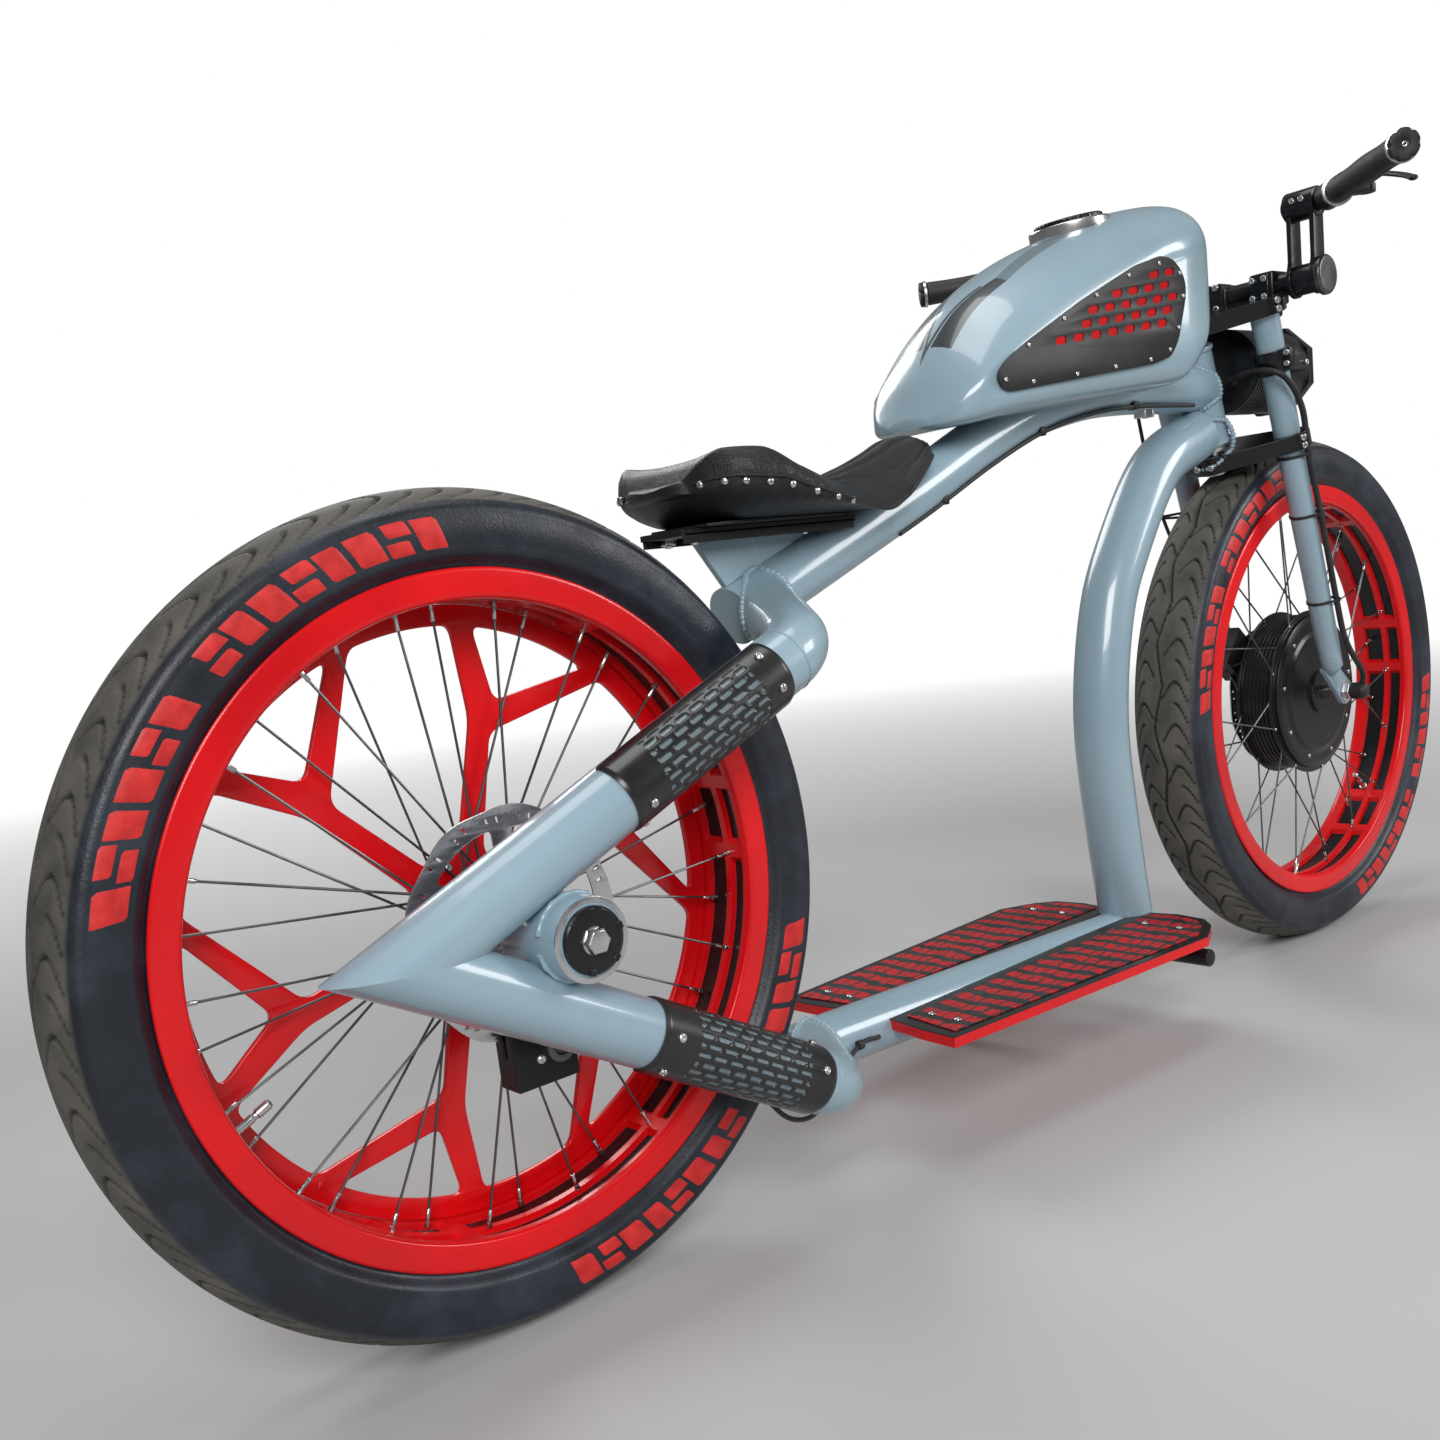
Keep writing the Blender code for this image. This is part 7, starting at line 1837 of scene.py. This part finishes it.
skins("headlight_arm_bolts", many(socket_bolt * 0.9, arm_bolts, 16), "steering", STEEL)
print("headlight at", light_at)

# %% [markdown]
# The handlebar is built from pieces: a crossbar with dark end discs, a pair of flat risers at each end, and
# two swept stub bars in collars. Flat risers are drawn and bevelled, and the rest is turned.

# %% Crossbar and risers
RISER_Y = 0.130
BAR_CLAMP_Z = CROSSBAR_Z + 0.0895
bar_profile = rod(-0.1535, 0.1535, 0.0145, 0.0012)
cross_at = np.array([CROSSBAR_X, 0.0, CROSSBAR_Z])
bar = skins("round_crossbar", [turned(bar_profile, cross_at, LEFT, 48)], "steering", BLACK)
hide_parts("crossbar")
caps = []
for side in (-1, 1):
    caps.append(turned(softened([(side * 0.1500, 0.0), (side * 0.1500, 0.0245), (side * 0.1560, 0.0245),
                                 (side * 0.1585, 0.0220), (side * 0.1580, 0.0)], 0.0014, 3), cross_at, LEFT,
                       48))
skins("crossbar_discs", caps, "steering", ALLOY, 30.0)
for side, name in ((-1, "right"), (1, "left")):
    half_width = 0.0130
    height = BAR_CLAMP_Z - CROSSBAR_Z
    drawing = np.concatenate([[(half_width, height - 0.010)], [(half_width, 0.024)],
                              polar(np.full(21, 0.0210), np.radians(np.linspace(38, -218, 21))),
                              [(-half_width, 0.024)], [(-half_width, height - 0.010)],
                              polar(np.full(9, 0.0165), np.radians(np.linspace(155, 25, 9))) + (0, height)])
    for y, label in ((RISER_Y - 0.015, "inner"), (RISER_Y + 0.015, "outer")):
        outline_plate("%s_riser_%s" % (name, label), softened(drawing, 0.002, 2, True), [circle(0.0146, 36)],
                      0.0060,
                      placed(cross_at + LEFT * side * y, AHEAD, UP), "steering", BLACK, 0.0009,
                      2)
    clamp_profile = hoop(RISER_Y - 0.0210, RISER_Y + 0.0192, 0.0112, 0.0185, 0.0012)
    clamp_at = np.array([CROSSBAR_X, 0.0, BAR_CLAMP_Z])
    collar = skins(name + "_bar_collar", [turned(clamp_profile, clamp_at, LEFT * side, 48)], "steering",
                   BLACK)
    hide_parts(name + "_riser")
    spacer = hoop(RISER_Y - 0.0120, RISER_Y + 0.0120, 0.0152, 0.0185, 0.0010)
    skins(name + "_eye_collar", [turned(spacer, cross_at, LEFT * side, 40)], "steering", BLACK)
    bolts = [(np.array([CROSSBAR_X - 0.0178, side * y, BAR_CLAMP_Z + 0.004]), np.array([-1.0, 0, 0.1]))
             for y in (RISER_Y - 0.006, RISER_Y + 0.006)]
    skins(name + "_collar_bolts", many(socket_bolt * 0.8, bolts, 14), "steering", STEEL)
print("risers done")

# %% [markdown]
# The stub bars bend back to the grips. A grip is a black leather sleeve with raised stitching along its
# foot, between a bright ring and a lobed end cap with a bolt in its middle. The right one turns as the
# throttle, so it rides on that body. The levers are slim blades on clamped perches.

# %% Stub bars, grips, perches and levers
BAR_R, GRIP_R = 0.011, 0.0165
GRIP_LEATHER = finish("grip_leather_finish", (0.008, 0.008, 0.0085), (0.018, 0.018, 0.019), (0.42, 0.60), 0.0,
                      (0.07, 0.065, 0.06), 0.4, edge=0.0015, cloud=30.0, speck=900.0, bump=0.55, depth=0.0006)
for side, name in ((-1, "right"), (1, "left")):
    bend = np.array([CROSSBAR_X, side * (RISER_Y + 0.026), BAR_CLAMP_Z])
    end = np.array([CROSSBAR_X - 0.196, side * 0.342, BAR_CLAMP_Z - 0.010])
    way = unit(end - bend)
    forward = unit(np.array([side * way[1], -side * way[0], 0.0]))
    start = np.array([CROSSBAR_X, side * (RISER_Y - 0.0255), BAR_CLAMP_Z])
    stub = skins(name + "_swept_stub", [swept(rounded_path([start, bend, end - way * 0.006], 0.020, 12),
                                              BAR_R, 32,
                                              UP)], "steering", BLACK, 50.0)
    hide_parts(name + "_stub_bar")
    ring_start = bend + way * 0.014
    ring_end = ring_start + way * 0.028
    arm_end = (ring_start + ring_end) / 2 + forward * 0.042
    arm_frame = np.stack([forward, np.cross(UP, forward), UP])
    perch_grids = [turned(hoop(0.0, 0.028, 0.0113, 0.0165, 0.0016, 3), ring_start, way, 40),
                   block((ring_start + ring_end) / 2 + forward * 0.027, (0.026, 0.0175, 0.0095), arm_frame,
                         0.0020),
                   turned(hoop(-0.0050, 0.0050, 0.0032, 0.0098, 0.0010), arm_end, UP, 36)]
    perch = skins(name + "_clamped_perch", perch_grids, "steering", SATIN, 35.0)
    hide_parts(name + "_lever_perch")
    lever_body = name + "_brake_lever"
    root = arm_end + UP * 0.0053
    tip = arm_end + way * 0.124 + forward * 0.010 - UP * 0.016
    middle = arm_end + way * 0.030 + forward * 0.006 + UP * 0.010
    blade_path = curve_through([root + UP * 0.0065 + way * 0.002, middle,
                                middle + (tip - middle) * 0.5 + forward * 0.006, tip], 60)
    t = np.linspace(0, 1, 60)
    blade_end = np.sqrt(np.clip(1 - (np.clip(t - 0.94, 0, 1) / 0.061) ** 2, 0.05, 1))
    blade_r = 0.0052 * (0.9 + 0.25 * np.clip((t - 0.9) / 0.1, 0, 1)) * blade_end
    grid, wrap_rows, wrap_columns = swept(blade_path, blade_r, 24, UP)
    centre_line = np.concatenate([blade_path[:1], blade_path, blade_path[-1:]])[:, None]
    grid = centre_line + (grid - centre_line) * (1.0, 1.0, 0.62)
    boss = turned(rod(0.0, 0.0115, 0.0088, 0.0016, 3), root, UP, 36)
    lever = skins(name + "_brake_blade", [(grid, wrap_rows, wrap_columns), boss], lever_body, SATIN,
                  45.0)
    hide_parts(name + "_lever")
    skins(name + "_lever_bolt", many(socket_bolt * 0.8, [(root + UP * 0.0117, UP)], 16), lever_body, STEEL)
    grip_body = "throttle" if side < 0 else "steering"
    grip_from = bend + way * 0.050
    length = np.linalg.norm(end - grip_from)
    s = np.linspace(0.008, length - 0.012, 60)
    swell = GRIP_R - 0.0012 + 0.0006 * np.cos(s * 2 * math.pi / (length * 0.5))
    sleeve = np.concatenate([[(0.0065, 0.0112), (0.0065, GRIP_R - 0.0026)], np.stack([s, swell], axis=1),
                             [(length - 0.0105, GRIP_R - 0.0026), (length - 0.0105, 0.0112),
                              (0.0065, 0.0112)]])
    grip = skins(name + "_leather_grip", [turned(sleeve, grip_from, way, 64)], grip_body, GRIP_LEATHER,
                 50.0)
    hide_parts("throttle_grip" if side < 0 else "left_grip")
    below = -UP + way * way[2]
    stitches = []
    for step in np.arange(0.014, length - 0.018, 0.0052):
        at = grip_from + way * step + unit(below) * (GRIP_R - 0.0011)
        stitches.append(swept(np.stack([at - way * 0.0014 - unit(below) * 0.0008, at + unit(below) * 0.0004,
                                        at + way * 0.0014 - unit(below) * 0.0008]), 0.0004, 6))
    skins(name + "_grip_stitches", stitches, grip_body, CABLE, 80.0)
    rings = [turned(profile, grip_from, way, 56) for profile in
             (hoop(0.0, 0.0060, 0.0113, 0.0190, 0.0010),
              hoop(length - 0.0100, length - 0.0055, 0.0113, 0.0178, 0.0008))]
    skins(name + "_grip_rings", rings, grip_body, STEEL, 35.0)
    cap_profile = softened([(length - 0.0056, 0.0), (length - 0.0056, 0.0168), (length - 0.0010, 0.0168),
                            (length - 0.0002, 0.0150), (length - 0.0002, 0.0060), (length - 0.0016, 0.0055),
                            (length - 0.0016, 0.0)], 0.0007, 2)
    grid, wrap_rows, wrap_columns = turned(cap_profile, grip_from, way, 96)
    lobes = 1 - 0.13 * np.clip(np.cos(6 * np.arange(96) * 2 * math.pi / 96), 0, 1) ** 3
    lobe_share = np.clip((cap_profile[:, 1] - 0.010) / 0.004, 0, 1)
    axis_points = grip_from + cap_profile[:, :1] * way
    shrink = (1 - lobes)[:, None, None] * lobe_share[None, :, None]
    grid = axis_points[None] + (grid - axis_points[None]) * (1 - shrink)
    skins(name + "_lobed_cap", [(grid, wrap_rows, wrap_columns)], grip_body, SATIN, 35.0)
    skins(name + "_cap_bolt", many(socket_bolt * 0.7, [(grip_from + way * (length - 0.0030), way)], 16),
          grip_body,
          STEEL)
print("bars done")

# %% [markdown]
# The brake hoses and the motor's lead are held along their whole way by clips and ties, so they are not
# free cords. Each is a thin tube through points chosen beside what it runs along, straight where it leaves
# a fitting. Small rubber bands tie them to the legs, and metal ends finish them.

# %% Hoses and lead
caliper_turn = math.radians(141.0)
caliper_out = wheelwise(caliper_turn)
caliper_at = FRONT + caliper_out * 0.1075 + LEFT * 0.048
caliper_top = caliper_at + caliper_out * 0.0256 + LEFT * 0.008


def beside_leg(share, behind, out, side):
    """A point beside a leg, at a share of its height from the axle."""
    return on_leg(AXLE_Z + (LEG_TOP_Z - AXLE_Z) * share, side) + (-behind, side * out, 0)


bar_point = np.array([CROSSBAR_X, RISER_Y + 0.026, BAR_CLAMP_Z])
front_route = ([caliper_top, caliper_top + caliper_out * 0.008]
               + [beside_leg(*row, 1) for row in ((0.239, 0.0427, -0.016), (0.400, 0.0295, 0.018),
                                                  (0.522, 0.0224, 0.036), (0.645, 0.0216, 0.041),
                                                  (0.806, 0.0214, 0.039), (0.956, 0.0175, 0.037))]
               + [bar_point + step for step in ((-0.039, -0.037, -0.073), (-0.040, -0.026, -0.041),
                                                (-0.025, -0.004, -0.029), (0.004, 0.015, -0.022),
                                                (0.012, 0.018, -0.010), (0.0025, 0.0265, -0.003))])
light_back = light_at - (0.028, 0, 0)
lead_route = ([FRONT - LEFT * 0.0868, FRONT - LEFT * 0.0950 + UP * 0.006, FRONT + (-0.006, -0.1040, 0.026)]
              + [beside_leg(*row, -1) for row in ((0.145, -0.0060, 0.024), (0.258, -0.0060, 0.0215),
                                                  (0.485, -0.0060, 0.0220), (0.636, -0.0030, 0.0225),
                                                  (0.749, 0.0030, 0.0280))]
              + [light_back + step for step in ((-0.027, -0.103, -0.022), (-0.037, -0.070, -0.010),
                                                (-0.029, -0.036, -0.014), (-0.013, -0.020, -0.018),
                                                (-0.0006, -0.020, -0.018))])
hose_start = np.array([REAR[0] + 0.035, -0.058, AXLE_Z - 0.1235])
rear_route = ([hose_start, hose_start + (0.008, 0, 0)]
              + [hose_start + step for step in ((0.026, -0.006, -0.0077), (0.066, -0.022, -0.0197),
                                                (0.126, -0.027, -0.0447))]
              + [FLOOR_REAR + step for step in ((-0.120, -0.087, 0.026), (-0.085, -0.088, -0.016),
                                                (-0.045, -0.076, -0.034), (-0.005, -0.053, -0.038),
                                                (0.030, -0.038, -0.028), (0.075, -0.0336, -0.004),
                                                (0.105, -0.0336, -0.004))])
for name, route, radius, body, node in (("front_hose_run", front_route, 0.0025, "steering",
                                         "front_brake_hose"),
                                        ("motor_lead_run", lead_route, 0.0040, "steering", "motor_lead"),
                                        ("rear_hose_run", rear_route, 0.0025, "root", "rear_brake_hose")):
    run = curve_through(route, 220)
    print(name, "is", round(float(np.linalg.norm(np.diff(run, axis=0), axis=1).sum()), 3), "m long")
    made = skins(name, [swept(run, radius, 14)], body, CABLE, 60.0)
    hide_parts(node)
TIE_R = 0.0052
ties = []
for share, side, behind, out in ((0.258, -1, -0.0060, 0.0215), (0.485, -1, -0.0060, 0.0220),
                                 (0.636, -1, -0.0030, 0.0225),
                                 (0.522, 1, 0.0224, 0.036), (0.645, 1, 0.0216, 0.041),
                                 (0.806, 1, 0.0214, 0.039)):
    leg_at = on_leg(AXLE_Z + (LEG_TOP_Z - AXLE_Z) * share, side)
    hose_at = beside_leg(share, behind, out, side)
    toward = unit(hose_at - leg_at)
    forward = np.cross(STEER_UP, toward)
    reach = np.linalg.norm(hose_at - leg_at)
    leg_r = LEG_R + (LEG_FOOT_R - LEG_R) * (1 - share)
    turn = np.linspace(0, 2 * math.pi, 64, endpoint=False)
    centre = np.where(np.cos(turn) > (leg_r - TIE_R) / reach, reach, 0.0)
    r = np.where(centre > 0, TIE_R, leg_r + 0.0006)
    loop = leg_at + (centre + r * np.cos(turn))[:, None] * toward + (r * np.sin(turn))[:, None] * forward
    ways = np.roll(loop, -1, axis=0) - np.roll(loop, 1, axis=0)
    ways /= np.linalg.norm(ways, axis=1)[:, None]
    outward = np.cross(ways, STEER_UP)
    section = [(-0.0018, -0.0006), (0.0018, -0.0006), (0.0018, 0.0006), (-0.0018, 0.0006)]
    ties.append((np.stack([loop + a * STEER_UP + b * outward for a, b in section], axis=1), True, True))
skins("cable_ties", ties, "steering", CABLE, 40.0)
grommet = hoop(-0.0035, 0.0035, 0.0022, 0.0052, 0.0012, 3)
skins("hose_grommet", [turned(grommet, FLOOR_REAR + (0.075, -0.0336, -0.004), AHEAD, 24)], "root", CABLE)
union_profile = softened([(0.0, 0.0), (0.0, 0.0048), (0.006, 0.0048), (0.007, 0.0036), (0.015, 0.0034),
                          (0.0155, 0.0)],
                         0.0005, 2)
skins("front_hose_union", many(union_profile, [(caliper_top - caliper_out * 0.001, caliper_out)], 14),
      "steering",
      STEEL)
skins("rear_hose_union", many(union_profile, [(hose_start - (0.002, 0, 0), AHEAD)], 14), "root", STEEL)
# The rear brake's cable follows the backbone's right flank under the tank, held by three clips
under = backbone_path[24:84]
under = under + np.linspace(0, 1, len(under))[:, None] * (0.0, -0.004, 0.0) + (0.0, -0.0215, -0.0235)
skins("backbone_cable", [swept(under, 0.0028, 14)], "root", CABLE, 60.0)
clips = [block(under[k] + (0, 0.002, 0.0015), (0.012, 0.011, 0.010), None, 0.0016) for k in (8, 27, 46)]
skins("cable_clips", clips, "root", SATIN, 35.0)
latch = [block((x, -0.012, z), size, None, 0.0008)
         for x, z, size in ((0.330, 0.7760, (0.030, 0.020, 0.004)), (0.340, 0.7700, (0.004, 0.016, 0.012)),
                            (0.322, 0.7700, (0.004, 0.016, 0.012)))]
skins("tank_latch", latch, "root", STEEL, 35.0)
print("hoses done")

# %% [markdown]
# The side stand is a bent black leg, hinged with a spring on a painted lug of the floor tube.

# %% Side stand
hinge = np.array([0.060, 0.060, 0.102])
foot = np.array([0.030, 0.215, 0.012])
node_copy("stand_leg", SATIN, 0.0010)
skins("stand_lug", [block((0.060, 0.0445 / 2, 0.108), (0.030, 0.0445, 0.024), None, 0.0020)], "root", PAINT)
way = unit(foot - hinge)
turns = np.linspace(0, 9 * 2 * math.pi, 260)
side_u, side_v = across(way)
coil = (hinge + way * 0.012)[None] + (turns / turns[-1])[:, None] * way * 0.040
coil = coil + 0.0125 * (np.cos(turns)[:, None] * side_u + np.sin(turns)[:, None] * side_v)
skins("stand_spring", [swept(coil, 0.0011, 8)], "stand", ALLOY, 80.0)
print("stand", hinge, foot)

# %% [markdown]
# The picture is taken from behind and to the right, low and close, with the camera turned about its own
# axis. The floor is plain and pale, and large soft lamps light the gloss from above, so that the tubes show
# long highlights. The world is white where the camera sees it, and dim in mirrors and as a light.

# %% Floor, lamps and camera
FLOOR_HALF = 14.0
floor_data = bpy.data.meshes.new("floor")
floor_data.from_pydata([(-FLOOR_HALF, -FLOOR_HALF, 0), (FLOOR_HALF, -FLOOR_HALF, 0),
                        (FLOOR_HALF, FLOOR_HALF, 0),
                        (-FLOOR_HALF, FLOOR_HALF, 0)], [], [(0, 1, 2, 3)])
floor = bpy.data.objects.new("floor", floor_data)
bpy.context.scene.collection.objects.link(floor)
floor_finish = bpy.data.materials.new("floor_finish")
floor_finish.use_nodes = True
tree = floor_finish.node_tree
shader = tree.nodes["Principled BSDF"]
shader.inputs["Base Color"].default_value = (0.50, 0.50, 0.50, 1.0)
shader.inputs["Roughness"].default_value = 0.9
shader.inputs["Specular IOR Level"].default_value = 0.1
reach = tree.nodes.new("ShaderNodeVectorMath")
reach.operation = "LENGTH"
tree.links.new(object_place(tree), reach.inputs[0])
fade = tree.nodes.new("ShaderNodeMixShader")
tree.links.new(spread(tree, reach.outputs["Value"], 1.6, 5.5), fade.inputs[0])
tree.links.new(shader.outputs[0], fade.inputs[1])
tree.links.new(tree.nodes.new("ShaderNodeBsdfTransparent").outputs[0], fade.inputs[2])
tree.links.new(fade.outputs[0], tree.nodes["Material Output"].inputs["Surface"])
floor_data.materials.append(floor_finish)


def lamp(name, place, aim, size, power):
    """A square area lamp at a place, aimed at a point."""
    data = bpy.data.lights.new(name, "AREA")
    data.size = size
    data.energy = power
    made = bpy.data.objects.new(name, data)
    bpy.context.scene.collection.objects.link(made)
    way = Vector(aim) - Vector(place)
    made.matrix_world = Matrix.Translation(Vector(place)) @ way.to_track_quat("-Z", "Y").to_matrix().to_4x4()


lamp("key_lamp", (-2.6, -3.4, 2.8), (0, 0, 0.4), 2.0, 150)
lamp("side_lamp", (2.6, -2.8, 2.0), (0.2, 0, 0.4), 1.4, 60)
lamp("back_lamp", (0.6, 3.4, 3.0), (0, 0, 0.5), 1.8, 60)
lamp("top_lamp", (0.0, 0.2, 4.2), (0, 0, 0), 2.0, 45)

LIGHT_OF_WORLD = 0.16
LIGHT_OF_MIRRORS = 0.04
world = bpy.data.worlds.new("studio")
bpy.context.scene.world = world
world.use_nodes = True
tree = world.node_tree
background = tree.nodes["Background"]
rays = tree.nodes.new("ShaderNodeLightPath")
seen = mix_value(tree, "MAXIMUM", rays.outputs["Is Camera Ray"],
                 mix_value(tree, "MULTIPLY", mix_value(tree, "MAXIMUM", rays.outputs["Is Glossy Ray"],
                                                       rays.outputs["Is Transmission Ray"]),
                           LIGHT_OF_MIRRORS))
tree.links.new(spread(tree, seen, 0.0, 1.0, LIGHT_OF_WORLD, 1.0), background.inputs["Strength"])
background.inputs["Color"].default_value = (1.0, 1.0, 1.0, 1.0)

FOCAL_PIXELS = 1389.0
PICTURE = 1440.0
SENSOR = 36.0
EYE = Vector((-1.278, -1.048, 0.624))
YAW, PITCH, ROLL = math.radians(38.74), math.radians(-9.95), math.radians(-6.83)
ahead = Vector((math.sin(YAW) * math.cos(PITCH), math.cos(YAW) * math.cos(PITCH), math.sin(PITCH)))
level = Vector((math.cos(YAW), -math.sin(YAW), 0.0))
above = level.cross(ahead)
right_way = level * math.cos(ROLL) + above * math.sin(ROLL)
up_way = above * math.cos(ROLL) - level * math.sin(ROLL)
camera_data = bpy.data.cameras.new("camera")
camera_data.sensor_width = SENSOR
camera_data.lens = FOCAL_PIXELS / PICTURE * SENSOR
camera_data.shift_x = 8.0 / PICTURE
camera_data.shift_y = 108.0 / PICTURE
camera = bpy.data.objects.new("camera", camera_data)
bpy.context.scene.collection.objects.link(camera)
camera.matrix_world = Matrix.Translation(EYE) @ Matrix((right_way, up_way, -ahead)).transposed().to_4x4()
bpy.context.scene.camera = camera
bpy.context.scene.view_settings.view_transform = "Standard"
print("camera at", tuple(round(value, 3) for value in EYE))
